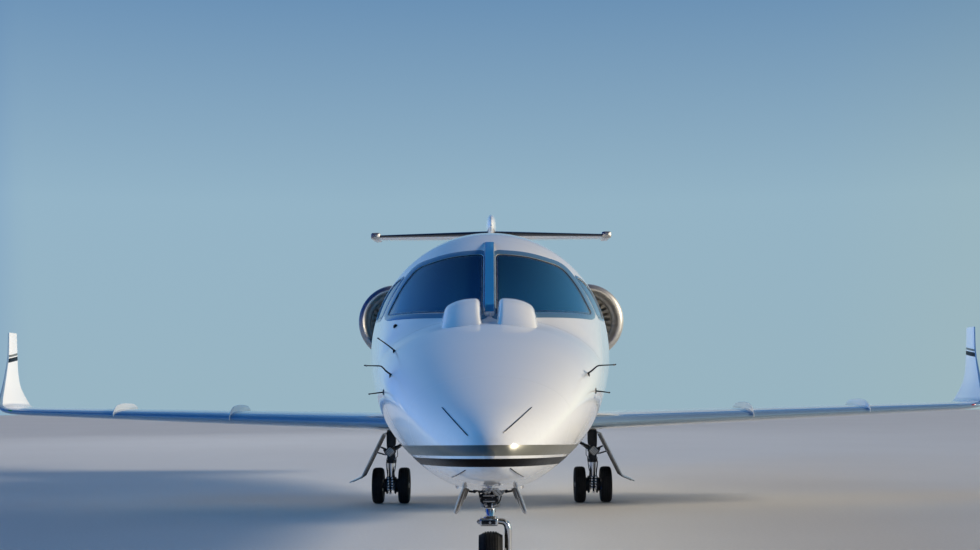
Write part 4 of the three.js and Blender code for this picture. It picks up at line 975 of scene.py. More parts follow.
def flat_nosed(surface, front):
    """A flap: a softened flat front, then the section to its trailing edge."""
    width = len(surface.chord)
    c = front + np.array([0.0, 0.004, 0.016])[None, :] * np.ones((width, 1))
    half = surface.half(np.full((width, 3), front))
    draw = np.array([0.72, 0.93, 1.0])
    behind = np.broadcast_to(front + (1 - front) * np.linspace(0, 1, 12)[None, 1:], (width, 11))
    upper_c = np.concatenate([c, behind], 1)
    upper_h = np.concatenate([half * draw, surface.half(behind)], 1)
    ring_c = np.concatenate([upper_c[:, ::-1], upper_c], 1)
    ring_h = np.concatenate([upper_h[:, ::-1], -upper_h], 1)
    return hull(surface.points(ring_c, ring_h))


def ahead_of_flap(surface, front, recess=None):
    """The wing ahead of a flap: cut off square, with a shallow well in its top for the spoiler where asked."""
    count = len(surface.chord)
    gap = GAP / surface.chord
    last = front - gap
    share = (CHORDS[9:] - LEADING) / (1 - LEADING)
    lower = np.concatenate([np.broadcast_to(CHORDS[:9], (count, 9)), LEADING + (last[:, None] - LEADING) * share], 1)
    low_h = -surface.half(lower)
    if recess:
        side = COVE / surface.chord
        front_edge, back_edge = SPOILER["front"] - side, SPOILER["back"] + side
        drop = SPOILER["recess"] / surface.chord
        ahead = LEADING + (front_edge[:, None] - LEADING) * share
        well = np.stack([front_edge, front_edge, back_edge, back_edge, last], 1)
        top = surface.half(well)
        top[:, 1:3] -= drop[:, None]
        upper_c = np.concatenate([np.broadcast_to(CHORDS[:9], (count, 9)), ahead[:, :-1], well], 1)
        upper_h = np.concatenate([surface.half(upper_c[:, : 8 + len(share)]), top], 1)
    else:
        upper_c, upper_h = lower, -low_h
    c = np.concatenate([upper_c[:, ::-1], lower[:, 1:]], 1)
    h = np.concatenate([upper_h[:, ::-1], low_h[:, 1:]], 1)
    return closed_section(surface, c, h)


def spoiler_plate(surface):
    """A plate whose top is the wing's own top between two shares of the chord."""
    c = np.linspace(SPOILER["front"], SPOILER["back"], 9)[None, :] * np.ones((len(surface.chord), 1))
    top = surface.half(c)
    low = top - SPOILER["plate"] / surface.chord[:, None]
    soft = np.full(9, 1.0)
    soft[[0, -1]] = 0.0
    low = low + (1 - soft) * 0.35 * SPOILER["plate"] / surface.chord[:, None]
    return hull(surface.points(np.concatenate([c, c[:, ::-1]], 1), np.concatenate([top, low[:, ::-1]], 1)))


def fence(place):
    """A thin upright plate that follows the wing's top and nose. Its rise above the skin is a curve through a table
    of chord shares."""
    surface = Surface(WING, [place])
    rise = np.array([[-0.012, 0.35], [0.03, 0.62], [0.12, 0.95], [0.3, 1], [0.55, 0.95], [0.66, 0.5], [0.68, 0.2]])
    c = np.concatenate([np.linspace(-0.012, 0.03, 5), np.linspace(0.05, FENCES["end"], 22)])
    upper = surface.half(np.maximum(c, 0))[0] + FENCES["height"] / surface.chord[0] * smooth(rise, 1, c)
    lower_c = np.array([FENCES["end"], 0.4, 0.1, 0.02, -0.006, -0.012])
    lower_h = np.array([0.0, 0.0, 0.0, -0.012, -0.01, -0.004])
    outline = np.column_stack([np.concatenate([c, lower_c]), np.concatenate([upper, lower_h])]) * surface.chord[0]
    base = surface.lead[0]
    half = FENCES["thickness"] / 2
    return plate(outline, lambda q, z: stack(base[0] + z, base[1] + q[:, 0], base[2] + q[:, 1]), -half, half, 0.003)


def spans(first, last):
    """Even places along the span, about 0.3 m apart."""
    return np.linspace(first, last, max(2, round((last - first) / SPAN_STEP) + 1))


# Pieces: body, glazing and doors


def ribbon(outline, view, side, profile, finish=0):
    """A closed band round an outline: at each distance out from it, the band stands off the body by a rise."""
    lift = VIEWS[view][1]
    rows = [lift(offset(outline, out), side, -rise) for out, rise in (*profile, profile[0])]
    return grid(rows, around=True, finish=finish)


def disc(station, depth, thickness, finish=0):
    """A bulkhead: the body's own section filled in, with two faces."""
    ring = ring_angles((-90, 90, 5))
    rows = [on_body(station + away, ring, depth) for away in (0.0, thickness)]
    return hull(rows, finish)


SIDE_ANGLES = ((-90, -50, 4), (-50, -30, 1.5), (-30, -2, 3), (-2, 50, 1.2), (50, 90, 3.3))
EDGE_BAND = ((0.0, -0.004), (0.001, 0.0022), (0.012, 0.0026), (0.023, 0.0022), (0.024, -0.004))


def window_outline(station, inset=0.0):
    """A cabin window as seen from the side."""
    return rectangle(
        (station, CABIN_WINDOW["height"]), CABIN_WINDOW["size"], CABIN_WINDOW["corner"] - inset / 2, inset
    )


def bay_outline():
    """The opening of the nose gear bay as seen from below."""
    bay = NOSE_BAY
    centre = (0, (bay["from"] + bay["to"]) / 2)
    return rectangle(centre, (2 * bay["half"], bay["to"] - bay["from"]), 0.02)


def patch(rows, angles, view, outline, depth=0.0):
    """The piece of the body's left side within an outline."""
    return skin(rows, angles, [(view, 1, outline)], depth, keep=-1, around=False)


def make_skin(name, form, looks_used, node, thickness, body="airframe"):
    """A piece of skin with real thickness, whose second finish is on its inner face."""
    make(name, form, looks_used, body, "white_paint", [node], thickness=thickness, inner=1, welded=False)


def body_pieces():
    """The body's skins, cut as bands of stations from one surface of superellipse sections, with the bay's liner
    swept
    round the bay's outline, the bulkheads and the tail cone's end."""
    paint_and_trim = looks("striped", "trim")
    ring = ring_angles((-90, 90, 3))
    tip = RADOME_END * np.concatenate([np.linspace(0, 1, 44)[:-1] ** 1.8, [0.992, 0.996, 0.9999]])
    radome = hull(on_body(tip[:, None], ring))
    make("radome_skin", radome, paint_and_trim, "airframe", "white_paint", ["radome"])

    bay = bay_outline()
    rows = lines(
        (0.75, 0.756, 0.003), (0.756, 0.8, 0.022), (0.8, 1.3, 0.05), (1.3, 2.1, 0.02), (2.1, 2.144, 0.022),
        (2.144, 2.1498, 0.0029)
    )
    nose_ring = ring_angles((-90, -70, 1.5), (-70, 90, 3))
    nose = skin(rows, nose_ring, [("under", 0, bay)])
    make_skin("nose_skin", nose, looks("striped", "bay"), "nose_section", 0.02)

    outline = resampled(bay, 120)
    roof, foot = NOSE_BAY["top"], beneath(outline[:, 0], outline[:, 1], 0.004)[:, 2]
    level = lambda q, z: stack(q[:, 0], at(q[:, 1]), z)
    outside = offset(outline, 0.006)
    centre = np.broadcast_to(outline.mean(0), outline.shape)
    shell = [
        level(centre, roof), level(offset(outline, -0.02), roof), level(outline, roof - 0.02), level(outline, foot)
    ]
    shell += [level(outside, foot), level(outside, roof + 0.006), level(centre, roof + 0.006)]
    liner = grid(shell, around=True)
    for station in (1.45, 1.6, 1.75, 1.9):
        for side in (-1, 1):
            wall = side * (NOSE_BAY["half"] - 0.004)
            liner.join(
                block((wall - side * 0.012, at(station) - 0.008, 0.8), (wall, at(station) + 0.008, 0.99), 0.003)
            )
    for side in (-1, 1):
        x = side * 0.15
        run = spline(
            [(x, at(1.4), 0.96), (x * 0.96, at(1.6), 0.975), (x, at(1.8), 0.955), (x * 0.9, at(2.0), 0.97)], 40
        )
        liner.join(tube(run, 0.006, 8, 1), tube(run + (-side * 0.022, 0, 0.012), 0.0045, 8, 2))
    make("nose_bay_liner", liner, looks("bay", "hose", "steel"), "airframe", "gear_paint")

    front = resampled(rounded(WINDSHIELD), 160)
    side = resampled(rounded(SIDE_WINDOW), 120)
    holes = [("front", 1, front), ("front", -1, front * (-1, 1)), ("side", 1, side), ("side", -1, side)]
    rows = lines(
        (2.1502, 2.156, 0.0029), (2.156, 2.19, 0.017), (2.19, 3.72, 0.018), (3.72, 3.744, 0.012),
        (3.744, 3.7498, 0.0029)
    )
    ring = ring_angles((-90, -10, 5), (-10, 90, 1.25))
    make_skin("cockpit_skin", skin(rows, ring, holes), paint_and_trim, "cockpit_shell", WALL * 0.7)

    holes = [("side", 1, rectangle(DOORWAY["centre"], DOORWAY["size"], DOORWAY["corner"]))]
    holes += [("side", 1, window_outline(station)) for station in LEFT_WINDOWS]
    holes += [("side", -1, window_outline(station)) for station in RIGHT_WINDOWS]
    busy = [(3.86, 4.6)] + [(station - WINDOW_REACH, station + WINDOW_REACH) for station in LEFT_WINDOWS]
    places = [3.7502, 3.753, 3.756]
    for start, end in busy:
        places += [*np.linspace(places[-1], start, max(2, round((start - places[-1]) / 0.07) + 1))[1:]]
        places += [*np.linspace(start, end, round((end - start) / 0.02) + 1)[1:]]
    places += [*np.linspace(places[-1], 10.294, 14)[1:], 10.297, 10.2998]
    make_skin(
        "cabin_skin", skin(np.array(places), ring_angles(*SIDE_ANGLES), holes), paint_and_trim, "cabin_shell", WALL
    )

    holes = [("side", 1, rectangle(BAGGAGE["centre"], BAGGAGE["size"], BAGGAGE["corner"]))]
    rows = lines((10.3002, 10.306, 0.0029), (10.306, 11.08, 0.07), (11.08, 11.97, 0.02), (11.97, BODY_END, 0.09))
    ring = ring_angles((-90, -40, 4), (-40, 12, 1.3), (12, 90, 3.5))
    make_skin("tail_skin", skin(rows, ring, holes), looks("striped", "bay"), "tail_section", 0.042)

    rows = [on_body(BODY_END - 0.004, ring)]
    middle = rows[0].mean(0)
    for away, share in ((0.012, 0.93), (0.018, 0.72), (0.014, 0.5), (-0.06, 0.46), (-0.07, 0.02)):
        rows.append(middle + (rows[0] - middle) * (share, 1, share) + (0, away, 0))
    shades = np.array([0, 0, 0, 1, 1])[:, None]
    make("tail_cone_end", hull(rows, shades), looks("white", "dark_metal"), "airframe", "white_paint")

    make("bulkheads", bulkheads(), looks("bay", "trim"), "airframe", "cabin_carpet")


def bulkheads():
    """Walls across the body: the front one solid, the cabin's with a doorway between two panels, and one behind the
    baggage."""
    form = disc(2.24, 0.048, 0.012)
    form.join(disc(10.15, 0.066, 0.02, 1), disc(13.9, 0.045, 0.02))
    angles = np.radians(np.linspace(-44, 62, 28))
    outer = on_body(3.74, angles, 0.066)
    inner = outer.copy()
    inner[:, 0] = 0.27
    front = np.stack([outer + (inner - outer) * share for share in np.linspace(0, 1, 5)])
    back = front[::-1] + (0, 0.03, 0)
    panel = grid(np.concatenate([front, back, front[:1]]), finish=1)
    return form.join(both(panel))


def glazing_pieces():
    """Panes cut from the body's own surface inside the windows' outlines, and frames, seals and beads: bands that run
    round those outlines at a rise above the skin."""
    glass_look, cabin_look = looks("glass"), looks("cabin_glass")
    rows = lines((2.15, 3.74, 0.02))
    half = np.radians(np.linspace(-8, 90, 84))
    front = resampled(rounded(WINDSHIELD), 160)
    pane = patch(rows, half, "front", offset(front, -0.003), 0.004)
    side = resampled(rounded(SIDE_WINDOW), 120)
    side_pane = patch(
        lines((3.15, 3.74, 0.02)), np.radians(np.linspace(-2, 50, 50)), "side", offset(side, -0.003), 0.004
    )
    for name, form, thickness in (("windshield", pane, 0.022), ("cockpit_side_window", side_pane, 0.018)):
        for word, one in (("left", form), ("right", form.mirrored())):
            make(
                f"{name}_{word}_glass", one, glass_look, "airframe", "window_glass", [f"{name}_{word}"],
                thickness=thickness, welded=False
            )
    half = np.radians(np.linspace(0, 36, 34))
    for word, way, stations in (("left", 1, LEFT_WINDOWS), ("right", -1, RIGHT_WINDOWS)):
        form = Form()
        for station in stations:
            rows = lines((station - WINDOW_REACH, station + WINDOW_REACH, 0.016))
            pane = patch(rows, half, "side", window_outline(station, 0.002), 0.005)
            form.join(pane if way > 0 else pane.mirrored())
        make(
            f"cabin_windows_{word}_glass", form, cabin_look, "airframe", "window_glass", [f"cabin_windows_{word}"],
            thickness=0.012, welded=False
        )

    band = ((0.0, -0.005), (0.0015, 0.0015), (0.006, 0.003), (0.038, 0.003), (0.043, 0.001), (0.044, -0.005))
    seal = ((-0.0055, -0.006), (-0.005, -0.0022), (0.0, -0.0016), (0.0005, -0.006))
    bead = ((-0.017, -0.0055), (-0.0165, -0.0032), (-0.0105, -0.0032), (-0.01, -0.0055))
    form = Form()
    for view, outline in (("front", front), ("side", side)):
        narrow = 1.0 if view == "front" else 0.5
        form.join(ribbon(outline, view, 1, [(out * narrow, rise) for out, rise in band]))
        form.join(ribbon(outline, view, 1, seal, 1), ribbon(outline, view, 1, bead, 2))
    make("windshield_frames", both(form), looks("frame", "black_paint", "steel"), "airframe", "gear_paint")

    form = Form()
    for station in RIGHT_WINDOWS:
        outline = resampled(window_outline(station), 72)
        ring = ribbon(outline, "side", 1, EDGE_BAND)
        ring.join(
            ribbon(outline, "side", 1, ((-0.004, -0.008), (-0.0035, -0.0035), (0, -0.003), (0.0005, -0.008)), 1)
        )
        form.join(ring.mirrored())
        if station in LEFT_WINDOWS:
            form.join(ring)
    make("cabin_window_frames", form, looks("polished", "black_paint"), "airframe", "bright_metal")

    make(
        "windshield_post_cover", post_form(), looks("white", "steel", "post"), "airframe", "white_paint",
        ["windshield_post"]
    )


POST = {"half": 0.04, "rise": 0.038, "from": 2.2, "to": 3.48}
# The warm-air fairings ahead of the panes. Columns: station, height of the top beside the post.
FAIRING = np.array(
    [
        [1.86, 1.832], [1.89, 1.876], [1.94, 1.93], [2.01, 1.985], [2.09, 2.035], [2.18, 2.064], [2.25, 2.07],
        [2.3, 2.04]
    ]
)
FAIRING_ACROSS = {"inner": 0.066, "outer": 0.322, "arch": 0.068}


def post_form():
    """The post between the panes, a bar with bevelled steel sides and a flat face painted blue as painted shade on
    the white post, and a rounded warm-air fairing each side of its foot."""
    t = np.linspace(0, 1, 40)
    station = POST["from"] + t * (POST["to"] - POST["from"])
    top = smooth(BODY, 2, station)[:, None]
    rise = (POST["rise"] * np.minimum(1, 4 * (1 - t) + 0.15) * np.minimum(1, 8 * t + 0.6))[:, None]
    across = np.array([-1.0, 1.0, 1.0, 0.97, 0.82, 0.78, -0.78, -0.82, -0.97, -1.0])[None, :] * POST["half"]
    share = np.array([0.0, 0.0, 0.55, 0.72, 0.97, 1.0, 1.0, 0.97, 0.72, 0.55])[None, :]
    height = top - 0.02 + share * (rise + 0.02)
    shades = np.array([0, 0, 0, 1, 2, 2, 2, 1, 0, 0])[None, :]
    form = hull(stack(across, at(station)[:, None], height), np.broadcast_to(shades, (39, 10)))
    form.join(both(block((0.006, at(2.168), 1.9), (0.03, at(2.205), 1.962), 0.006)))

    station = np.concatenate([np.linspace(1.862, 2.25, 40), np.linspace(2.25, 2.299, 10)[1:]])[:, None]
    inner, outer = FAIRING_ACROSS["inner"], FAIRING_ACROSS["outer"]
    round_off = np.sin(np.linspace(0, np.pi / 2, 9))
    soft = 1 - np.cos(np.linspace(0, np.pi / 2, 9))
    # From the foot up: a flared skirt, a small step, the side wall, and a rounded shoulder.
    foot_out, foot_up = np.array([-0.05, -0.046, -0.03, -0.018, 0.0]), np.array([0.0, 0.36, 0.43, 0.5, 0.505])
    out = np.concatenate(
        [foot_out, soft * 0.13, np.linspace(0.13, 0.87, 14)[1:-1], 1 - soft[::-1] * 0.13, 1 - foot_out[::-1]]
    )[None, :]
    shoulder = 0.72 + 0.28 * round_off
    up = np.concatenate([foot_up, shoulder, np.ones(12), shoulder[::-1], foot_up[::-1]])[None, :]
    x = inner + out * (outer - inner)
    base = crest(station, x) - 0.03
    top = np.maximum(smooth(FAIRING, 1, station) - FAIRING_ACROSS["arch"] * np.clip(out, 0, 1) ** 3, base + 0.005)
    hump = hull(stack(x, at(station), base + up * (top - base)))
    angle = circuit(40)[None, :]
    centre = stack(0.194, at(2.296), crest(2.29, 0.194) + 0.03)
    slot = stack(
        0.1 * power(np.cos(angle), 0.5), np.array([[-0.002], [0.008]]), 0.01 * power(np.sin(angle), 0.7)
    ) + centre
    hump.join(hull(slot, 1))
    return form.join(both(hump))


def door_pieces():
    """The two halves of the entry door and the baggage door: patches of the body's own skin with rounded corners and
    real thickness."""
    (station, height), (length, tall), corner = DOORWAY["centre"], DOORWAY["size"], DOORWAY["corner"]
    front, back = station - length / 2 + GAP, station + length / 2 - GAP
    low, high, split = height - tall / 2 + GAP, height + tall / 2 - GAP, DOORWAY["split"]
    rows = lines((front - 0.05, back + 0.05, 0.018))
    half = np.radians(lines((-52, -26, 1.2), (-26, -6, 2), (-6, 8, 0.8), (8, 36, 2), (36, 58, 1.2)))
    corners = {
        "upper": (
            (front, split + GAP / 2, 0.004), (back, split + GAP / 2, 0.004), (back, high, corner),
            (front, high, corner)
        ),
        "lower": (
            (front, low, corner), (back, low, corner), (back, split - GAP / 2, 0.004), (front, split - GAP / 2, 0.004)
        ),
    }
    for word, outline in corners.items():
        leaf, door = patch(rows, half, "side", resampled(rounded(outline), 260)), f"entry_door_{word}"
        make_skin(f"{door}_leaf", leaf, looks("striped", "trim"), door, WALL, door)

    steps = Form()
    for level, reach in ((1.16, 0.15), (1.36, 0.14), (1.56, 0.12)):
        x = float(flank(np.array([station]), np.array([level]), 1, WALL)[0, 0])
        steps.join(
            block((x - reach, at(station - 0.23), level), (x + 0.01, at(station + 0.23), level + 0.028), 0.008)
        )
        steps.join(
            block(
                (x - reach + 0.012, at(station - 0.215), level + 0.026),
                (x - 0.012, at(station + 0.215), level + 0.032), 0.002, 1
            )
        )
        for end in (-0.225, 0.225):
            steps.join(
                block(
                    (x - reach + 0.01, at(station + end) - 0.006, level - 0.06),
                    (x + 0.012, at(station + end) + 0.006, level + 0.01), 0.003, 2
                )
            )
    make("entry_steps", steps, looks("trim", "carpet", "steel"), "entry_door_lower", "panel_plastic")

    make(
        "entry_door_handle", handle_form(station, 1.93), looks("polished", "black_paint"), "entry_door_upper",
        "bright_metal"
    )
    pads = Form()
    for level in (1.9, 2.12):
        x = float(flank(np.array([station]), np.array([level]), 1, WALL)[0, 0])
        pads.join(
            block((x - 0.014, at(station - 0.22), level - 0.07), (x + 0.012, at(station + 0.22), level + 0.07), 0.012)
        )
    make("entry_door_pads", pads, looks("leather"), "entry_door_upper", "seat_leather")

    (station, height), (length, tall) = BAGGAGE["centre"], BAGGAGE["size"]
    rows = lines((station - length / 2 - 0.04, station + length / 2 + 0.04, 0.018))
    outline = resampled(rectangle(BAGGAGE["centre"], BAGGAGE["size"], BAGGAGE["corner"], GAP), 220)
    leaf = patch(rows, np.radians(lines((-42, 14, 1.2))), "side", outline)
    make_skin(
        "baggage_door_leaf", leaf, looks("striped", "bay"), "baggage_door", BAGGAGE["thickness"], "baggage_door"
    )
    make(
        "baggage_door_latches", handle_form(station, height + 0.17), looks("polished", "black_paint"), "baggage_door",
        "bright_metal"
    )


def handle_form(station, height):
    """A flush handle: a rounded tray set into the skin, and a paddle whose outline draws in as it rises."""
    outline = resampled(rectangle((station, height), (0.2, 0.07), 0.02), 48)
    form = ribbon(outline, "side", 1, ((0.0, -0.003), (0.001, 0.0016), (0.008, 0.0018), (0.009, -0.003)), 0)
    inner = [flank(*(offset(outline, out).T), 1, depth) for out, depth in ((0.0, 0.0005), (-0.03, 0.0005))]
    form.join(hull(inner, 1))
    paddle = [
        flank(*(offset(outline, out).T), 1, -rise)
        for out, rise in ((-0.012, -0.004), (-0.014, 0.0015), (-0.02, 0.0022), (-0.034, 0.0023))
    ]
    return form.join(hull(paddle))


# Pieces: wings and tail


# The fairing under the wing. Columns: station, half width, half height, middle height.
BELLY = np.array([
    [6.7, 0.47, 0.215, 0.945], [7.25, 0.88, 0.305, 0.95], [7.9, 1.02, 0.35, 0.955],
    [8.9, 1.045, 0.36, 0.955], [10.0, 1.01, 0.35, 0.955], [10.8, 0.8, 0.29, 0.955],
    [11.4, 0.44, 0.19, 0.99],
])
# The fairing where fin and stabilizer meet. Columns: station, half width, top, bottom.
BULLET = np.array([
    [15.56, 0.012, 4.29, 4.24], [15.7, 0.054, 4.39, 4.18], [16.0, 0.082, 4.49, 4.15],
    [16.5, 0.092, 4.57, 4.144], [16.9, 0.088, 4.585, 4.144], [17.25, 0.066, 4.54, 4.146],
    [17.52, 0.036, 4.44, 4.18], [17.66, 0.01, 4.34, 4.25],
])
# The squared tips of the stabilizer. Columns: station, half width, half height.
TAIL_TIPS = np.array(
    [[17.0, 0.03, 0.02], [17.03, 0.076, 0.052], [17.09, 0.09, 0.064], [17.6, 0.084, 0.06], [17.86, 0.05, 0.03]]
)


def pair(name, form, looks_used, slot, body="airframe", node=None, **more):
    """The left piece and its mirror image. A body or node named with a star takes left or right in its place."""
    for word, one in (("left", form), ("right", form.mirrored())):
        replaced = [node.replace("*", word)] if node else []
        make(name.replace("*", word), one, looks_used, body.replace("*", word), slot, replaced, **more)


def controls(name, form):
    """A left and a right control surface, each on its own body."""
    pair(f"{name}_*_skin", form, looks("white"), "white_paint", f"{name}_*", f"{name}_*")


def wing_pieces():
    """Wings and winglets as four-figure sections swept along their span, with hollows ahead of what moves, and the
    belly
    fairing: superellipses of exponent 2.5 pushed out wherever they would lie inside the body."""
    flap, aileron, spoiler = FLAP, AILERON, SPOILER
    flap_start, flap_end = flap["from"] - 0.014, flap["to"] + GAP
    wing = foil(Surface(WING, spans(0.68, flap_start)))
    well_start, well_end = spoiler["from"] - COVE, spoiler["to"] + COVE
    for first, last, recess in (
        (flap_start, well_start, None), (well_start, well_end, True), (well_end, flap_end, None)
    ):
        wing.join(ahead_of_flap(Surface(WING, spans(first, last)), flap["hinge"], recess))
    wing.join(foil(Surface(WING, spans(flap_end, aileron["from"] - GAP))))
    wing.join(with_cove(Surface(WING, spans(aileron["from"] - GAP, aileron["to"] + GAP)), aileron["hinge"]))
    wing.join(foil(Surface(WING, spans(aileron["to"] + GAP, 5.9))))
    for place in FENCES["spans"]:
        wing.join(fence(place))
    pair("wing_*_skin", wing, looks("wing", "painted_sky_edge"), "white_paint", node="wing_*")
    controls("aileron", round_nosed(Surface(WING, spans(aileron["from"], aileron["to"])), aileron["hinge"]))
    controls("flap", flat_nosed(Surface(WING, spans(flap["from"], flap["to"])), flap["hinge"]))
    controls("spoiler", spoiler_plate(Surface(WING, spans(spoiler["from"], spoiler["to"]))))

    turn = np.concatenate([np.linspace(0, 5, 41), np.linspace(5, 8, 13)[1:]])
    winglet = foil(Surface(WINGLET, turn, eased=True))
    pair("winglet_*_skin", winglet, looks("winglet", "painted_sky_edge"), "white_paint", node="winglet_*")

    # A lamp in a faired glass at each wing's tip, red on the left and green on the right.
    for word, way, lens_look in (("left", 1, "red_lens"), ("right", -1, "green_lens")):
        t = np.linspace(0, 1, 14)
        path = stack(6.0 + 0.1 * t, at(9.372 + 0.06 * t), 1.173 + 0.012 * t)
        lamp = tube(path, 0.017 * np.sqrt(np.clip(1 - (2 * t - 1) ** 2, 0.002, 1)), 16)
        make(f"tip_lamp_{word}", lamp if way > 0 else lamp.mirrored(), looks(lens_look), "airframe", "window_glass")

    wicks = Form()
    for table, places in ((WING, (5.86, 5.74)), (STABILIZER, (2.1, 1.5, 0.9))):
        for place in places:
            surface = Surface(table, [place])
            rear = surface.points(np.array([[1.0]]), np.array([[0.0]]))[0, 0]
            wicks.join(
                tube([rear + (0, -0.03, 0), rear + (0, 0.01, 0), rear + (0.002, 0.018, 0)], [0.004, 0.004, 0.002], 8)
            )
    make("static_wicks", both(wicks), looks("black_paint"), "airframe", "white_paint")

    belly_rows = np.concatenate(
        [
            BELLY[0, 0] + 0.55 * np.linspace(0, 1, 10) ** 1.5, np.linspace(7.25, 10.8, 30)[1:],
            10.8 + 0.6 * np.linspace(0, 1, 12)[1:]
        ]
    )
    half, tall, middle = (smooth(BELLY, k, belly_rows)[:, None] for k in (1, 2, 3))
    angle = circuit(96)[None, :]
    exponent = 2 / 2.5
    x = half * power(np.cos(angle), exponent)
    z = middle + tall * power(np.sin(angle), exponent)
    station = belly_rows[:, None] + 0 * angle
    widest = smooth(BODY, 4, station)
    inside = swell(station, x, z, 0.03)
    scale = np.where(inside < 1, 1 / np.maximum(inside, 1e-6), 1)
    points = stack(x * scale, at(station), widest + (z - widest) * scale)
    make("belly_fairing_skin", hull(points), looks("white"), "airframe", "white_paint", ["belly_fairing"])


def tail_pieces():
    """Fin, rudder, stabilizer and elevators as swept four-figure sections, squared tips and a bullet of ellipses
    through
    their tables, and ventral fins: an outline drawn in towards both faces."""
    heights = np.array([2.43, 2.6, 2.775, 2.8, 2.83, 2.86, 2.9, 2.978])
    fin = foil(Surface(FIN, heights, upright=True))
    run = (RUDDER["hinges"][1] - RUDDER["hinges"][0]) / (RUDDER["top"] - RUDDER["bottom"])
    stretch = math.hypot(1, run)

    def hinge_share(surface, heights):
        station = RUDDER["hinges"][0] + (heights - RUDDER["bottom"]) * run
        return (station - surface.lead_station) / surface.chord

    room = np.unique(
        np.concatenate(
            [
                np.linspace(RUDDER["bottom"] - RUDDER["gap"], 3.22, 6),
                np.linspace(3.22, RUDDER["top"] + RUDDER["gap"], 9)
            ]
        )
    )
    surface = Surface(FIN, room, upright=True)
    fin.join(with_cove(surface, hinge_share(surface, room), COVE, stretch, math.radians(112)))
    fin.join(foil(Surface(FIN, np.linspace(RUDDER["top"] + RUDDER["gap"], 4.15, 3), upright=True)))
    make("fin_skin", fin, looks("white", "painted_sky_edge"), "airframe", "white_paint", ["fin"])
    heights = np.unique(np.concatenate([np.linspace(RUDDER["bottom"], 3.22, 6), np.linspace(3.22, RUDDER["top"], 9)]))
    surface = Surface(FIN, heights, upright=True)
    make(
        "rudder_skin", round_nosed(surface, hinge_share(surface, heights), stretch), looks("white"), "rudder",
        "white_paint", ["rudder"]
    )

    elevator = ELEVATOR
    tail = foil(Surface(STABILIZER, spans(0.0, elevator["from"] - 0.01)))
    tail.join(
        with_cove(Surface(STABILIZER, spans(elevator["from"] - 0.01, elevator["to"] + 0.01)), elevator["hinge"])
    )
    tail.join(foil(Surface(STABILIZER, spans(elevator["to"] + 0.01, 2.2))))
    place = np.concatenate([17.0 + 0.09 * np.linspace(0, 1, 12) ** 1.3, np.linspace(17.09, 17.86, 16)[1:]])
    half, tall = smooth(TAIL_TIPS, 1, place)[:, None], smooth(TAIL_TIPS, 2, place)[:, None]
    angle = circuit(40)[None, :]
    rows = stack(2.15 + half * power(np.cos(angle), 0.5), at(place)[:, None], 4.26 + tall * power(np.sin(angle), 0.5))
    tail.join(hull(rows, (place[1:] < 17.12)[:, None] * 2))
    tail = both(tail)
    place = np.concatenate([15.56 + 0.14 * np.linspace(0, 1, 10) ** 1.6, np.linspace(15.7, 17.66, 40)[1:]])
    half, top, low = (smooth(BULLET, k, place)[:, None] for k in (1, 2, 3))
    angle = circuit(36)[None, :]
    tail.join(
        hull(stack(half * np.cos(angle), at(place)[:, None], (top + low) / 2 + np.sin(angle) * (top - low) / 2))
    )
    make("stabilizer_skin", tail, looks("white", "boot", "lip"), "airframe", "white_paint", ["stabilizer"])
    controls("elevator", round_nosed(Surface(STABILIZER, spans(elevator["from"], elevator["to"])), elevator["hinge"]))

    tilt = math.radians(52)
    outward, normal = np.array([math.cos(tilt), 0, -math.sin(tilt)]), np.array([math.sin(tilt), 0, math.cos(tilt)])
    corners = [(13.95, 0.38, 0.005), (16.15, 0.15, 0.005), (16.25, 0.64, 0.03), (15.85, 0.7, 0.06)]
    outline = resampled(rounded(corners, 10), 140)
    middle = outline.mean(0)
    rows = []
    for share, rise in (
        (0.02, -1), (0.86, -1), (0.975, -0.75), (1.0, -0.25), (1.0, 0.25), (0.975, 0.75), (0.86, 1), (0.02, 1)
    ):
        spot = middle + (outline - middle) * share
        rows.append(stack(0, at(spot[:, 0]), 2.01) + spot[:, 1:] * outward + 0.012 * rise * normal)
    pair("ventral_fin_*_skin", hull(rows), looks("white"), "white_paint", node="ventral_fin_*")
    beacon = [(0, 0.0), (0.0, 0.03), (0.012, 0.034), (0.02, 0.03), (0.05, 0.022), (0.062, 0.01), (0.064, 0)]
    lamps = lathe([[4.46 + a * 0.55, r] for a, r in beacon], (0, at(16.6), 0), "z", 24)
    lamps.join(lathe([[0.69 - a, r] for a, r in beacon][::-1], (0, at(6.2), 0), "z", 24))
    make("beacons", lamps, looks("red_lens"), "airframe", "window_glass")


# Pieces: engines

ENGINE = {"across": 1.31, "height": 2.34}
# Columns: station, radius.
NACELLE_OUTSIDE = np.array(
    [
        [10.6, 0.43], [10.615, 0.458], [10.67, 0.483], [10.8, 0.503], [11.2, 0.519], [11.9, 0.516], [12.6, 0.478],
        [13.55, 0.385]
    ]
)
NACELLE_DUCT = np.array(
    [
        [10.6, 0.43], [10.62, 0.408], [10.7, 0.388], [10.85, 0.378], [11.25, 0.378], [11.4, 0.404], [11.9, 0.448],
        [12.7, 0.436], [13.55, 0.367]
    ]
)
FAN = {"root": 0.118, "tip": 0.363, "front": 11.03, "back": 11.2}
PYLON = {"inner": 0.4, "outer": 0.84, "front": 11.15, "back": 13.15, "thickness": 0.118}


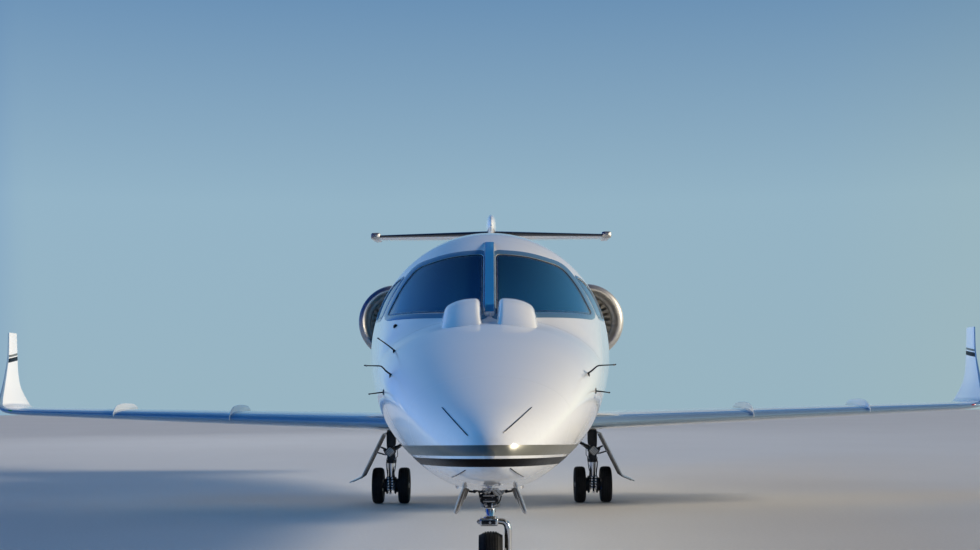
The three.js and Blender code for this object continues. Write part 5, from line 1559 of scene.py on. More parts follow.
def engine_pieces():
    """Nacelles and cores turned from their tables of radii, fans of one blade repeated, and pylons: one thin section
    carried outwards, thickened near both ends by the square of the distance."""
    place = np.concatenate([10.6 + 0.2 * np.linspace(0, 1, 14) ** 2, np.linspace(10.8, 13.55, 34)[1:]])
    outside = np.column_stack([place, smooth(NACELLE_OUTSIDE, 1, place)])
    place = np.concatenate([10.6 + 0.25 * np.linspace(0, 1, 14) ** 2, np.linspace(10.85, 13.55, 30)[1:]])
    duct = np.column_stack([place, smooth(NACELLE_DUCT, 1, place)])
    profile = np.concatenate([outside, [[13.556, 0.379], [13.556, 0.371]], duct[::-1][:-1]])
    middle = (profile[:, 0] + np.roll(profile[:, 0], -1, 0)) / 2
    outer = np.arange(len(profile)) < len(outside)
    shades = np.select([middle < 10.8, outer & (middle > 13.3), outer, middle < 11.3], [1, 3, 0, 2], 3)[:, None]
    profile[:, 0] += NOSE_TIP
    nacelle = lathe(profile, (ENGINE["across"], 0, ENGINE["height"]), "y", 72, shades, closed=True)
    chord = np.array([0, 0.01, 0.04, 0.1, 0.2, 0.35, 0.5, 0.6, 0.75, 0.88, 0.96, 1.0])
    thick = smooth(
        np.array([[0, 0.02], [0.04, 0.55], [0.2, 1], [0.6, 0.9], [1, 0.06]]), 1, chord
    ) * PYLON["thickness"] / 2
    c = np.concatenate([chord, chord[::-1]])
    rise = np.concatenate([thick, -thick[::-1]])
    across = np.linspace(PYLON["inner"], PYLON["outer"], 12)[:, None]
    flare = 1 + 0.5 * np.clip((0.62 - across) / 0.2, 0, 1) ** 2 + 0.5 * np.clip((across - 0.74) / 0.1, 0, 1) ** 2
    rows = stack(
        across, at(PYLON["front"] + c * (PYLON["back"] - PYLON["front"]))[None, :],
        ENGINE["height"] - 0.03 + flare * rise
    )
    nacelle.join(hull(rows))
    pair(
        "nacelle_*_cowl", nacelle, looks("nacelle", "lip", "liner", "exhaust"), "white_paint", node="nacelle_*",
        sharp=50
    )

    core = np.array(
        [
            [11.3, 0.0], [11.3, 0.364], [11.34, 0.367], [11.56, 0.366], [11.62, 0.335], [11.8, 0.3], [12.6, 0.292],
            [13.05, 0.24], [13.5, 0.15], [13.8, 0.04], [13.86, 0.0]
        ]
    )
    rings = [core[0]]
    for a, b in zip(core[:-1], core[1:]):
        rings += [a + (b - a) * t for t in (0.5, 1.0)]
    profile = np.array(rings) + (NOSE_TIP, 0)
    centre = (ENGINE["across"], 0, ENGINE["height"])
    body = lathe(profile, centre, "y", 48, (profile[:-1, 0] > 3.7).astype(int)[:, None])
    count = 22
    turn = circuit(count)
    blade = strut(0.25, 0.374, at(11.26), 0.06, 0.012, 0.1)
    body.join(*[blade.moved(spun(angle, centre)) for angle in turn])
    vane = strut(0.28, 0.436, at(12.1), 0.16, 0.02, 0.0)
    body.join(*[vane.moved(spun(angle, centre)) for angle in turn[::4]])
    pair("engine_core_*_block", body, looks("dark_metal", "exhaust"), "engine_metal", node="engine_core_*")

    spinner = np.array(
        [
            [10.85, 0.0], [10.856, 0.018], [10.88, 0.042], [10.96, 0.092], [11.08, 0.132], [11.15, 0.14],
            [11.23, 0.142], [11.232, 0.0]
        ]
    )
    place = np.concatenate([[10.85], 10.85 + 0.38 * np.linspace(0.02, 1, 20) ** 1.5])
    nose = np.column_stack([place, smooth(spinner[:-1], 1, place)])
    fan = lathe(np.concatenate([nose, [[11.231, 0.0]]]) + (NOSE_TIP, 0), centre, "y", 40)
    count = bpy.context.scene.jet_sizes.fan_blades
    blade = fan_blade()
    for angle in circuit(count):
        fan.join(blade.moved(spun(angle, centre)))
    pair("fan_*_rotor", fan, looks("titanium"), "engine_metal", "fan_*", "fan_*")


def spun(angle, centre):
    """Turns points made about the axis through the origin by an angle, and moves them onto the engine's axis."""
    c, s = math.cos(angle), math.sin(angle)
    turn = np.array([[c, 0, s], [0, 1, 0], [-s, 0, c]])
    return lambda points: points @ turn.T + centre


def strut(root, tip, middle, chord, thick, lean):
    """A straight vane along z: a thin ellipse carried outwards and leaned round."""
    angle = circuit(12)[None, :]
    reach = np.linspace(root, tip, 4)[:, None]
    shift = np.cos(angle) * chord / 2
    return hull(stack(np.sin(angle) * thick / 2 + lean * shift, middle + shift, reach))


def fan_blade():
    """A wide twisted blade along z: a thin cambered section that turns and widens towards the tip, whose front edge
    sweeps back."""
    t = np.linspace(0, 1, 9)[:, None]
    reach = FAN["root"] + t * (FAN["tip"] - FAN["root"])
    chord = 0.1 + 0.05 * t - 0.02 * t * t
    turn = np.radians(32 + 28 * t)
    u = np.concatenate([np.linspace(-0.5, 0.5, 8), np.linspace(0.5, -0.5, 8)[1:-1]])[None, :]
    side = np.concatenate([np.ones(8), -np.ones(6)])[None, :]
    thick = side * (0.0035 - 0.0012 * t) * np.sqrt(np.clip(1.02 - 4 * u * u, 0, 1))
    camber = 0.12 * chord * (0.25 - u * u)
    along, off = u * chord, thick + camber
    x = along * np.sin(turn) + off * np.cos(turn)
    y = along * np.cos(turn) - off * np.sin(turn)
    middle = at((FAN["front"] + FAN["back"]) / 2) + 0.012 * t
    return hull(stack(x, middle + y, reach + 0 * u))


# Pieces: undercarriage


NOSE_GEAR = {"station": 1.96, "wheel": 1.995, "axle": 0.2285}
MAIN_GEAR = {"across": 1.26, "station": 9.45, "axle": 0.2225, "track": 0.162}
# Tyres: places from the middle and radii, up the side wall and then across the tread.
NOSE_WALL = [
    (0.044, 0.112), (0.053, 0.128), (0.062, 0.15), (0.0645, 0.17), (0.063, 0.185), (0.07, 0.191), (0.081, 0.198),
    (0.0825, 0.202), (0.074, 0.206)
]
NOSE_TREAD = np.array([[0.0, 0.2285], [0.03, 0.2272], [0.046, 0.2225], [0.058, 0.2135], [0.074, 0.206]])
MAIN_WALL = [(0.05, 0.112), (0.058, 0.126), (0.0665, 0.15), (0.069, 0.172), (0.0685, 0.19), (0.064, 0.203)]
MAIN_TREAD = np.array([[0.0, 0.2225], [0.034, 0.221], [0.05, 0.216], [0.058, 0.21], [0.064, 0.203]])


# Numbers of the gear legs' finishes: paint, dark metal, chrome, steel, hose rubber, lamp glass and a bright metal.
STEEL, HOSE = 3, 4


def rod(start, end, radius, finish=0, last=None, sides=20):
    """A straight round bar with softened ends, tapered where a second radius is given."""
    start, end, soft = np.array(start, float), np.array(end, float), 0.14
    last = radius if last is None else last
    cut = min(soft * radius / np.linalg.norm(end - start), 0.3)
    t = np.array([0.0, cut * 0.3, cut, 1 - cut, 1 - cut * 0.3, 1.0])
    size = (radius + (last - radius) * t) * np.array([1 - soft, 1 - soft * 0.3, 1, 1, 1 - soft * 0.3, 1 - soft])
    return tube(start + t[:, None] * (end - start), size, sides, finish)


def studs(centre, axis, circle, count, size, rise, finish=0):
    """A ring of six-sided bolt heads round an axis."""
    form = Form()
    profile = [(0, 0), (0, size), (rise * 0.7, size), (rise, size * 0.75), (rise, 0)]
    for angle in circuit(count) + 0.3:
        c, s = circle * math.cos(angle), circle * math.sin(angle)
        away = {"x": (0, c, s), "y": (c, 0, s), "z": (c, s, 0)}[axis]
        form.join(lathe(profile, np.add(centre, away), axis, 6, finish))
    return form


def hose(points, radius=0.006):
    """A hose on a smooth curve, with a crimped metal sleeve at each end."""
    path = spline(points, 30)
    return tube(path, radius, 10, HOSE).join(*[tube(end, radius * 1.5, 10, STEEL) for end in (path[:3], path[-3:])])


def coil(start, end, radius, wire, turns):
    """A wound spring: a helix about the line between two points."""
    start, end = np.array(start, float), np.array(end, float)
    side, up = frames(np.stack([start, end]))
    t = np.linspace(0, 1, turns * 12)[:, None]
    angle = 2 * np.pi * turns * t
    return tube(
        start + t * (end - start) + radius * (np.cos(angle) * side[0] + np.sin(angle) * up[0]), wire, 8, STEEL
    )


def tyre_form(wall, tread, grooves, centre):
    """A tyre: its side walls follow a spline from the bead, and square grooves are cut round its crowned tread."""
    depth, width = bpy.context.scene.jet_sizes.tyre_grooves, 0.0045
    side = spline([(place, radius, 0) for place, radius in wall], 20)[:, :2]
    edge = side[-1, 0]
    cuts = [
        place + away for place in grooves for away in (-width / 2 - 0.0008, -width / 2, width / 2, width / 2 + 0.0008)
    ]
    places = np.unique(np.concatenate([np.linspace(-edge, edge, 29), cuts]))
    radius = smooth(tread, 1, np.abs(places))
    inside = np.zeros(len(places), bool)
    for place in grooves:
        inside |= np.abs(places - place) < width / 2 + 1e-5
    crown = np.column_stack([places, radius - depth * inside])
    profile = np.concatenate([side * (-1, 1), crown[1:-1], side[::-1]])
    return lathe(profile, centre, "x", 104, closed=True)


def rim_form(centre, bore, face):
    """A wheel's dished rim with a bolt circle, black discs on both sides that stand for lightening holes as painted
    shade, and a hub cap on one.
    """
    half = [
        (0.05, 0.04), (0.044, 0.046), (0.026, 0.052), (0.02, 0.06), (0.02, 0.082), (0.027, 0.092), (0.042, 0.0985),
        (0.0485, 0.101), (0.05, 0.1045), (0.05, 0.1115)
    ]
    outline = [(0.05, bore), *half, *[(-x, r) for x, r in half[::-1]], (-0.05, bore)]
    form = lathe(outline, centre, "x", 64, closed=bore > 0)
    for way in (-1, 1):
        form.join(studs(np.add(centre, (way * 0.019, 0, 0)), "x", 0.0585, 10, 0.0055, way * 0.009, 1))
        # Black discs on the rim's faces stand for lightening holes as painted shade.
        for angle in circuit(9):
            spot = np.add(centre, (way * 0.0202, 0.0735 * math.cos(angle), 0.0735 * math.sin(angle)))
            form.join(
                lathe(
                    [(-0.001 * way, 0), (-0.001 * way, 0.0085), (0.0004 * way, 0.0085), (0.0004 * way, 0)], spot, "x",
                    16, 2
                )
            )
    if face:
        cap = [(0.049, 0), (0.049, 0.037), (0.056, 0.036), (0.06, 0.03), (0.0615, 0.0)]
        form.join(lathe([(face * x, r) for x, r in cap], centre, "x", 32, 1))
    return form


def nose_leg_form():
    """The nose leg above the steering collar: a turned cylinder with collars, a valve block ahead of it, a folding
    brace, actuators, lamps, links and hoses."""
    y = at(NOSE_GEAR["station"])
    leg = [
        (0.622, 0.0), (0.622, 0.052), (0.626, 0.064), (0.65, 0.069), (0.66, 0.066), (0.668, 0.057), (0.735, 0.055),
        (0.742, 0.063), (0.772, 0.063), (0.779, 0.055)
    ]
    leg += [(0.92, 0.054), (0.93, 0.061), (0.985, 0.061), (1.0, 0.05), (1.002, 0.0)]
    form = lathe(leg, (0, y, 0), "z", 40, np.array([int(0.66 < low[0] < 0.99) for low in leg[:-1]])[:, None])
    front = y - 0.072
    form.join(block((-0.058, front - 0.02, 0.66), (0.04, front + 0.03, 0.722), 0.006, 1))
    form.join(block((-0.046, front - 0.014, 0.626), (0.024, front + 0.03, 0.662), 0.009, 1))
    for level, shade in ((0.671, 3), (0.69, 1), (0.709, 3)):
        form.join(rod((-0.05, front - 0.02, level), (0.032, front - 0.02, level), 0.0065, shade, sides=12))
    for x in (-0.061, 0.043):
        form.join(rod((x, front + 0.004, 0.664), (x, front + 0.004, 0.718), 0.009, 1, sides=12))
        form.join(rod((x, front - 0.008, 0.69), (x * 1.18, front - 0.008, 0.69), 0.007, 3, sides=6))
    form.join(studs((-0.009, front - 0.019, 0.69), "y", 0.024, 6, 0.004, -0.005, 3))
    form.join(
        rod((-0.03, front - 0.016, 0.632), (-0.03, front - 0.016, 0.66), 0.008, 3),
        rod((0.012, front - 0.016, 0.63), (0.012, front - 0.016, 0.66), 0.007, 2)
    )
    for x in (-0.05, 0.05):
        form.join(
            rod((x * 1.7, at(2.026), 0.745), (x * 0.2, at(2.026), 0.745), 0.032, 1),
            rod((x * 1.78, at(2.026), 0.745), (x * 1.7, at(2.026), 0.745), 0.022, 3)
        )
        form.join(rod((x * 0.2, at(2.026), 0.745), (x * 1.0, y + 0.01, 0.745), 0.014, 2))
    for side in (-1, 1):
        x = side * 0.034
        knee = (x, at(1.7), 0.873)
        form.join(rod((x, y, 0.77), knee, 0.017, 0), rod(knee, (x * 1.6, at(1.42), 0.984), 0.015, 0))
        form.join(rod((x - 0.012 * side, at(1.7), 0.873), (x + 0.014 * side, at(1.7), 0.873), 0.026, 3))
        form.join(
            rod((side * 0.055, y, 0.96), (side * 0.15, y, 0.96), 0.026, 0, 0.022),
            rod((side * 0.132, y, 0.96), (side * 0.15, y, 0.96), 0.036, 3)
        )
        # The link to each door, with a bracket at both ends.
        path = spline(
            [
                (side * 0.055, y - 0.02, 0.757), (side * 0.085, y - 0.03, 0.74), (side * 0.118, y - 0.035, 0.731),
                (side * 0.147, y - 0.035, 0.735)
            ],
            12
        )
        form.join(
            tube(path, 0.0075, 10, 1),
            rod((side * 0.108, y - 0.046, 0.733), (side * 0.108, y - 0.022, 0.733), 0.012, 1)
        )
        form.join(
            hose(
                [
                    (side * 0.03, front - 0.012, 0.718), (side * 0.05, front - 0.04, 0.77),
                    (side * 0.07, y - 0.06, 0.85), (side * 0.06, y - 0.02, 0.95), (side * 0.09, y + 0.05, 0.99)
                ]
            )
        )
        form.join(
            hose(
                [
                    (side * 0.02, front - 0.018, 0.64), (side * 0.055, front - 0.03, 0.66),
                    (side * 0.075, y - 0.02, 0.72), (side * 0.06, y + 0.05, 0.8), (side * 0.03, y + 0.07, 0.93)
                ],
                0.0045
            )
        )
    form.join(rod((-0.034, at(1.7), 0.873), (0.034, at(1.7), 0.873), 0.012, 3))
    form.join(coil((0, at(1.75), 0.9), (0, at(1.5), 0.96), 0.016, 0.0035, 16))

    # The taxi lamp: a bright dome with its lens ahead, and a small one beside it.
    for x, z, size in ((0.056, 0.752, 0.045), (-0.012, 0.742, 0.019)):
        shell = [
            (0.03, 0.0), (0.03, 0.5), (0.018, 0.82), (0.0, 0.97), (-0.016, 1.0), (-0.02, 0.96), (-0.02, 0.9),
            (-0.017, 0.88)
        ]
        form.join(lathe([(a, r * size) for a, r in shell] + [(-0.016, 0.0)], (x, y - 0.1, z), "y", 32, 6))
        glass = [(-0.017, 0.88), (-0.024, 0.7), (-0.028, 0.4), (-0.029, 0.0)]
        form.join(lathe([(a, r * size) for a, r in glass], (x, y - 0.1, z), "y", 32, 5))
        form.join(rod((x, y - 0.07, z), (x * 0.8, y - 0.04, 0.758), size * 0.3, 1, sides=10))
    return form


def nose_fork_form():
    """What steers: the chromed piston, the machined crown, the scissor link, and a one-sided arm swept down to the
    axle."""
    y, wheel, axle = at(NOSE_GEAR["station"]), at(NOSE_GEAR["wheel"]), NOSE_GEAR["axle"]
    form = lathe(
        [(0.548, 0.0), (0.548, 0.0305), (0.609, 0.0305), (0.6155, 0.028), (0.6155, 0.0)], (0, y, 0), "z", 32, 2
    )
    form.join(
        lathe(
            [(0.54, 0.0), (0.54, 0.05), (0.552, 0.05), (0.56, 0.044), (0.566, 0.036), (0.566, 0.0)], (0, y, 0), "z",
            32
        )
    )
    form.join(block((-0.074, y - 0.05, 0.5), (0.052, y + 0.05, 0.553), 0.012))
    form.join(block((-0.062, y - 0.056, 0.511), (0.034, y - 0.045, 0.541), 0.004, 1))
    for x in (-0.05, -0.028, -0.004, 0.02):
        form.join(rod((x, y - 0.062, 0.526), (x, y - 0.05, 0.526), 0.0085, 1 if x != -0.004 else 3, sides=10))
    form.join(
        rod((-0.088, y - 0.01, 0.526), (-0.07, y - 0.01, 0.526), 0.016, 3),
        rod((-0.094, y - 0.01, 0.526), (-0.086, y - 0.01, 0.526), 0.008, 3, sides=6)
    )
    for x in (-0.03, 0.03):
        form.join(
            rod((x, y + 0.05, 0.596), (x * 0.5, y + 0.1, 0.562), 0.008, 1),
            rod((x, y + 0.045, 0.515), (x * 0.5, y + 0.1, 0.556), 0.008, 1)
        )
    form.join(
        rod((-0.026, y + 0.1, 0.559), (0.026, y + 0.1, 0.559), 0.009, 3),
        rod((-0.036, y + 0.048, 0.598), (0.036, y + 0.048, 0.598), 0.008, 3)
    )
    form.join(rod((0, y + 0.026, 0.598), (0, y + 0.05, 0.598), 0.012, 1))

    path = [
        (0.02, y + 0.004, 0.527), (0.06, y + 0.006, 0.529), (0.09, y + 0.008, 0.524), (0.112, y + 0.01, 0.5),
        (0.119, y + 0.014, 0.46), (0.1195, y + 0.02, 0.4), (0.1195, y + 0.028, 0.32), (0.1195, wheel, 0.2285),
        (0.1195, wheel + 0.001, 0.192)
    ]
    path = spline(path, 44)
    t = np.linspace(0, 1, 44)
    size = np.interp(t, [0, 0.12, 0.3, 0.5, 0.85, 0.94, 1.0], [0.03, 0.036, 0.043, 0.041, 0.044, 0.043, 0.02])
    form.join(tube(path, size, 28, 0, 0.6))
    form.join(rod((0.0965, wheel, axle), (0.1425, wheel, axle), 0.051, 0, sides=40))
    form.join(
        rod((0.14, wheel, axle), (0.1515, wheel, axle), 0.035, 3, sides=32),
        rod((0.15, wheel, axle), (0.1545, wheel, axle), 0.017, 3, sides=6)
    )
    form.join(studs((0.141, wheel, axle), "x", 0.0425, 8, 0.0038, 0.0045, 3))
    form.join(
        rod((-0.07, wheel, axle), (0.11, wheel, axle), 0.018, 3),
        rod((-0.0705, wheel, axle), (-0.058, wheel, axle), 0.0215, 3, sides=6)
    )
    return form


def nose_door_form():
    """A nose gear door hung open: a plate curved a little along its depth and toed in, cut away below towards its
    rear, with ribs on its inner face."""
    top, foot, thick, toe = (0.168, 0.792), (0.233, 0.6), 0.011, 0.045
    front, run = 1.405, 0.64
    outline = resampled(
        rounded(
            [(front, 0.0, 0.004), (2.045, 0.0, 0.004), (2.045, 0.62, 0.3), (1.6, 0.96, 0.12), (front, 0.83, 0.06)]
        ),
        120
    )
    across = np.array([foot[0] - top[0], foot[1] - top[1]])
    normal = np.array([-across[1], across[0]]) / np.hypot(*across)

    def place(q, depth):
        depth = depth + 0.006 * np.sin(np.pi * np.clip(q[:, 1], 0, 1))
        inward = toe * (q[:, 0] - front) / run
        return stack(
            top[0] - inward + q[:, 1] * across[0] + normal[0] * depth, at(q[:, 0]),
            top[1] + q[:, 1] * across[1] + normal[1] * depth
        )

    middle, soft = outline.mean(0), ((0.0, 0.985), (0.0015, 1.0), (thick - 0.0015, 1.0), (thick, 0.985))
    rows = [place(middle + (outline - middle) * draw, depth) for depth, draw in soft]
    form = hull(rows, np.array([1, 2, 0])[:, None])
    for station, low in ((1.5, 0.78), (1.725, 0.76), (1.95, 0.6)):
        start, end = place(np.array([[station, 0.02], [station, low]]), 0.0)
        form.join(tube([start, end], [0.009, 0.006], 8, 1, 0.6))
    for station in (1.47, 1.98):
        hinge = place(np.array([[station, -0.02]]), 0.006)[0]
        form.join(rod(hinge - (0, 0.03, 0), hinge + (0, 0.03, 0), 0.009, 3, sides=12))
    return form


def main_leg_form():
    """A main leg: oleo and piston, torque links behind it, a folding side brace, a squared landing lamp, brake
    housings with their pistons, and hoses."""
    x, y, axle = MAIN_GEAR["across"], at(MAIN_GEAR["station"]), MAIN_GEAR["axle"]
    on = lambda a, b, c: (x + a, y + b, c)

    def bars(*rows):
        """Joins a rod for each row of two places from the leg's axis and what else a rod takes."""
        for row in rows:
            form.join(rod(on(*row[:3]), on(*row[3:6]), *row[6:]))

    cylinder = [
        (0.498, 0.0), (0.498, 0.05), (0.503, 0.063), (0.553, 0.066), (0.561, 0.06), (0.57, 0.052), (0.63, 0.05),
        (0.638, 0.057), (0.668, 0.057), (0.676, 0.05)
    ]
    cylinder += [
        (0.74, 0.05), (0.75, 0.058), (0.8, 0.06), (0.94, 0.056), (0.95, 0.062), (0.995, 0.062), (1.01, 0.05),
        (1.012, 0.0)
    ]
    form = lathe(cylinder, (x, y, 0), "z", 40)
    form.join(lathe([(0.27, 0.0), (0.27, 0.0335), (0.5, 0.0335), (0.5, 0.0)], (x, y, 0), "z", 32, 2))
    form.join(
        lathe(
            [(0.215, 0.0), (0.215, 0.05), (0.29, 0.049), (0.31, 0.044), (0.322, 0.037), (0.322, 0.0)], (x, y, 0), "z",
            32, 1
        )
    )
    bars(
        (-0.098, 0, 0.97, 0.098, 0, 0.97, 0.033), (-0.1, 0, 0.97, -0.084, 0, 0.97, 0.044, 3),
        (0.084, 0, 0.97, 0.1, 0, 0.97, 0.044, 3)
    )

    # The squared hydraulic block, its lower jaws, and the dark plates that brace the leg ahead and inboard.
    form.join(
        block(on(-0.052, -0.07, 0.54), on(0.05, -0.02, 0.6), 0.008, 1),
        block(on(-0.032, -0.072, 0.5), on(0.03, -0.02, 0.545), 0.01, 1)
    )
    form.join(block(on(-0.044, -0.066, 0.7), on(0.05, -0.02, 0.738), 0.008, 1))
    gusset = resampled(
        rounded(
            [
                (-0.05, 0.9, 0.01), (0.052, 0.9, 0.01), (0.058, 0.76, 0.02), (0.05, 0.72, 0.01), (-0.06, 0.724, 0.01),
                (-0.06, 0.76, 0.02)
            ]
        ),
        64
    )
    form.join(plate(gusset, lambda q, z: stack(x + q[:, 0], y + z, q[:, 1]), -0.068, -0.054, 0.004, 1))
    form.join(
        block(on(0.062, -0.05, 0.65), on(0.1, -0.02, 0.688), 0.006, 1),
        rod(on(0.05, -0.035, 0.668), on(0.07, -0.035, 0.668), 0.012, 3)
    )

    knee = on(-0.12, -0.004, 0.724)
    form.join(
        rod(on(-0.03, 0, 0.66), knee, 0.022, 0), rod(knee, on(-0.256, 0, 0.812), 0.018, 1),
        rod(on(-0.12, -0.03, 0.724), on(-0.12, 0.024, 0.724), 0.024, 3)
    )
    bars((-0.05, -0.03, 0.7, -0.154, -0.03, 0.737, 0.013, 1), (-0.1, -0.03, 0.718, -0.154, -0.03, 0.737, 0.009, 2))
    bars((0.04, 0.0, 0.606, 0.094, 0.004, 0.606, 0.011, 3), (0.09, 0.004, 0.606, 0.192, 0.012, 0.636, 0.0095, 0))
    bars((0.03, 0.01, 0.655, 0.142, 0.02, 0.7, 0.011, 1))

    # Torque links: two tapered arms that meet behind the leg.
    for low, high in ((0.31, 0.44), (0.575, 0.452)):
        for side in (-1, 1):
            bars((side * 0.03, 0.036, low, side * 0.012, 0.125, high, 0.015, 0, 0.01, 12))
        bars((-0.044, 0.04, low, 0.044, 0.04, low, 0.013, 3))
        web = [on(-0.026, 0.048, low), on(0.026, 0.048, low), on(0.012, 0.112, high), on(-0.012, 0.112, high)]
        rows = [np.array(web) + (0, 0, away) for away in (-0.004, 0.004)]
        form.join(hull(rows, 1))
    bars((-0.032, 0.126, 0.446, 0.032, 0.126, 0.446, 0.012, 3))

    # The landing lamp: a diamond-shaped frame round a ribbed lens.
    lamp = on(0.014, -0.083, 0.642)
    for reach, low, high, shade in ((0.076, 0.0, 0.022, 1), (0.066, -0.006, 0.004, 5)):
        diamond = rounded([(reach, 0, 0.02), (0, reach, 0.02), (-reach, 0, 0.02), (0, -reach, 0.02)], 5)
        form.join(
            plate(
                diamond, lambda q, z: stack(lamp[0] + q[:, 0], lamp[1] + z, lamp[2] + q[:, 1]), low, high, 0.003,
                shade
            )
        )
    for side in (-1, 1):
        bars((0.014 + side * 0.062, -0.06, 0.642, 0.014 + side * 0.062, -0.02, 0.642, 0.014, 1))

    # Axle housing, and on each side of it the brake: a ring of pistons and a stack of discs.
    form.join(
        lathe(
            [
                (-0.06, 0.0), (-0.06, 0.054), (-0.05, 0.058), (-0.03, 0.05), (0.03, 0.05), (0.05, 0.058),
                (0.06, 0.054), (0.06, 0.0)
            ],
            on(0, 0, axle), "x", 36, 1
        )
    )
    for side in (-1, 1):
        stack_of = [(0.05, 0.0), (0.05, 0.07), (0.054, 0.076), (0.062, 0.076), (0.064, 0.072)]
        for disc_start in (0.066, 0.074, 0.082, 0.09):
            stack_of += [
                (disc_start, 0.074), (disc_start + 0.0005, 0.085), (disc_start + 0.0055, 0.085),
                (disc_start + 0.006, 0.074)
            ]
        stack_of += [(0.1, 0.07), (0.102, 0.05), (0.102, 0.03)]
        form.join(
            lathe(
                [(side * a, r) for a, r in stack_of] + [(side * 0.098, 0.03), (side * 0.098, 0.0)], on(0, 0, axle),
                "x", 48, 1
            )
        )
        carrier = [
            (0.042, 0.0), (0.042, 0.098), (0.046, 0.105), (0.058, 0.107), (0.062, 0.103), (0.064, 0.08), (0.064, 0.0)
        ]
        form.join(lathe([(side * a, r) for a, r in carrier], on(0, 0, axle), "x", 48, 1))
        form.join(studs(on(side * 0.042, 0, axle), "x", 0.09, 12, 0.0055, -side * 0.007, 3))
        for angle in circuit(8):
            spot = on(0, 0.062 * math.cos(angle), axle + 0.062 * math.sin(angle))
            form.join(rod(np.add(spot, (side * 0.03, 0, 0)), np.add(spot, (side * 0.052, 0, 0)), 0.012, 3, sides=14))
            form.join(rod(np.add(spot, (side * 0.022, 0, 0)), np.add(spot, (side * 0.031, 0, 0)), 0.0055, 6, sides=6))
    for across in (-0.016, 0.034):
        for level in np.linspace(0.182, 0.316, 5):
            bars(
                (across, -0.092, level, across, -0.068, level, 0.0115, 6, None, 14),
                (across, -0.1, level, across, -0.09, level, 0.006, 3, None, 6)
            )
        bars((across, -0.072, 0.168, across, -0.072, 0.33, 0.0135, 1))
    form.join(block(on(-0.05, -0.072, 0.2), on(0.06, -0.02, 0.29), 0.012, 1))
    bars((0.008, -0.07, 0.128, 0.008, -0.03, 0.15, 0.013, 6), (0.008, -0.035, 0.14, 0.008, -0.01, 0.2, 0.012, 1))

    form.join(
        hose(
            [
                on(-0.045, -0.06, 0.56), on(-0.058, -0.07, 0.5), on(-0.048, -0.07, 0.42), on(-0.026, -0.082, 0.35),
                on(-0.016, -0.085, 0.31)
            ]
        )
    )
    form.join(
        hose(
            [
                on(0.045, -0.06, 0.56), on(0.058, -0.07, 0.49), on(0.048, -0.07, 0.4), on(0.04, -0.084, 0.34),
                on(0.034, -0.085, 0.31)
            ]
        )
    )
    form.join(
        hose(
            [on(-0.03, -0.06, 0.71), on(-0.078, -0.06, 0.68), on(-0.082, -0.06, 0.6), on(-0.05, -0.062, 0.55)], 0.0045
        )
    )
    form.join(
        hose(
            [
                on(0.03, 0.05, 0.95), on(0.062, 0.05, 0.86), on(0.06, 0.045, 0.74), on(0.05, 0.05, 0.62),
                on(0.048, 0.056, 0.52), on(0.05, 0.07, 0.36), on(0.06, 0.05, 0.28)
            ],
            0.0055
        )
    )
    form.join(coil(on(-0.02, 0.06, 0.9), on(-0.02, 0.058, 0.72), 0.012, 0.0026, 14))
    return form


def main_door_form():
    """A main gear door: a bent panel along the wheel's length with softened edges, a light outer face, ribs inside,
    and its two hinge arms."""
    corner, sheet = np.array([1.607, 0.341]), 0.0075
    ends = np.array([1.3445, 0.87]), np.array([1.7535, 0.281])
    t = np.linspace(0, 1, 7)[:, None]
    before, after = corner + (ends[0] - corner) * 0.06, corner + (ends[1] - corner) * 0.2
    bend = (1 - t) ** 2 * before + 2 * t * (1 - t) * corner + t * t * after
    path = np.concatenate(
        [
            ends[0] + (before - ends[0]) * np.array([[0.0], [0.003], [0.5]]), bend,
            after + (ends[1] - after) * np.array([[0.5], [0.985], [1.0]])
        ]
    )
    along = np.gradient(path, axis=0)
    normal = np.stack([-along[:, 1], along[:, 0]], -1) / np.linalg.norm(along, axis=1, keepdims=True)
    thick = sheet * np.array([0.5, 1, 1, *np.ones(7), 1, 0.9, 0.4])
    # The ring of a section: the outer face, the rear edge, the inner face and the front edge.
    depth = np.array([1, 1, 0.8, -0.8, -1, -1, -0.8, 0.8])[None, :] * thick[:, None]
    front, back, round_off = 9.15, 9.725, 0.004
    station = np.array(
        [front + round_off, back - round_off, back, back, back - round_off, front + round_off, front, front]
    )[None, :]
    rows = stack(path[:, :1] + depth * normal[:, :1], at(station), path[:, 1:] + depth * normal[:, 1:])
    form = hull(rows, np.array([0, 2, 2, 2, 1, 2, 2, 2])[None, :])
    for station in (9.2, 9.4375, 9.675):
        form.join(
            tube(
                [(1.351, at(station), 0.836), (1.602, at(station), 0.338), (1.7166, at(station), 0.2865)],
                [0.005, 0.009, 0.005], 10, 1
            )
        )
    for station in (9.26, 9.62):
        form.join(rod((1.337, at(station - 0.03), 0.866), (1.337, at(station + 0.03), 0.866), 0.012, 3))
    form.join(
        rod((1.452, at(9.44), 0.636), (1.452, at(9.48), 0.636), 0.014, 3),
        rod((1.402, at(9.455), 0.7), (1.402, at(9.49), 0.7), 0.014, 3)
    )
    return form


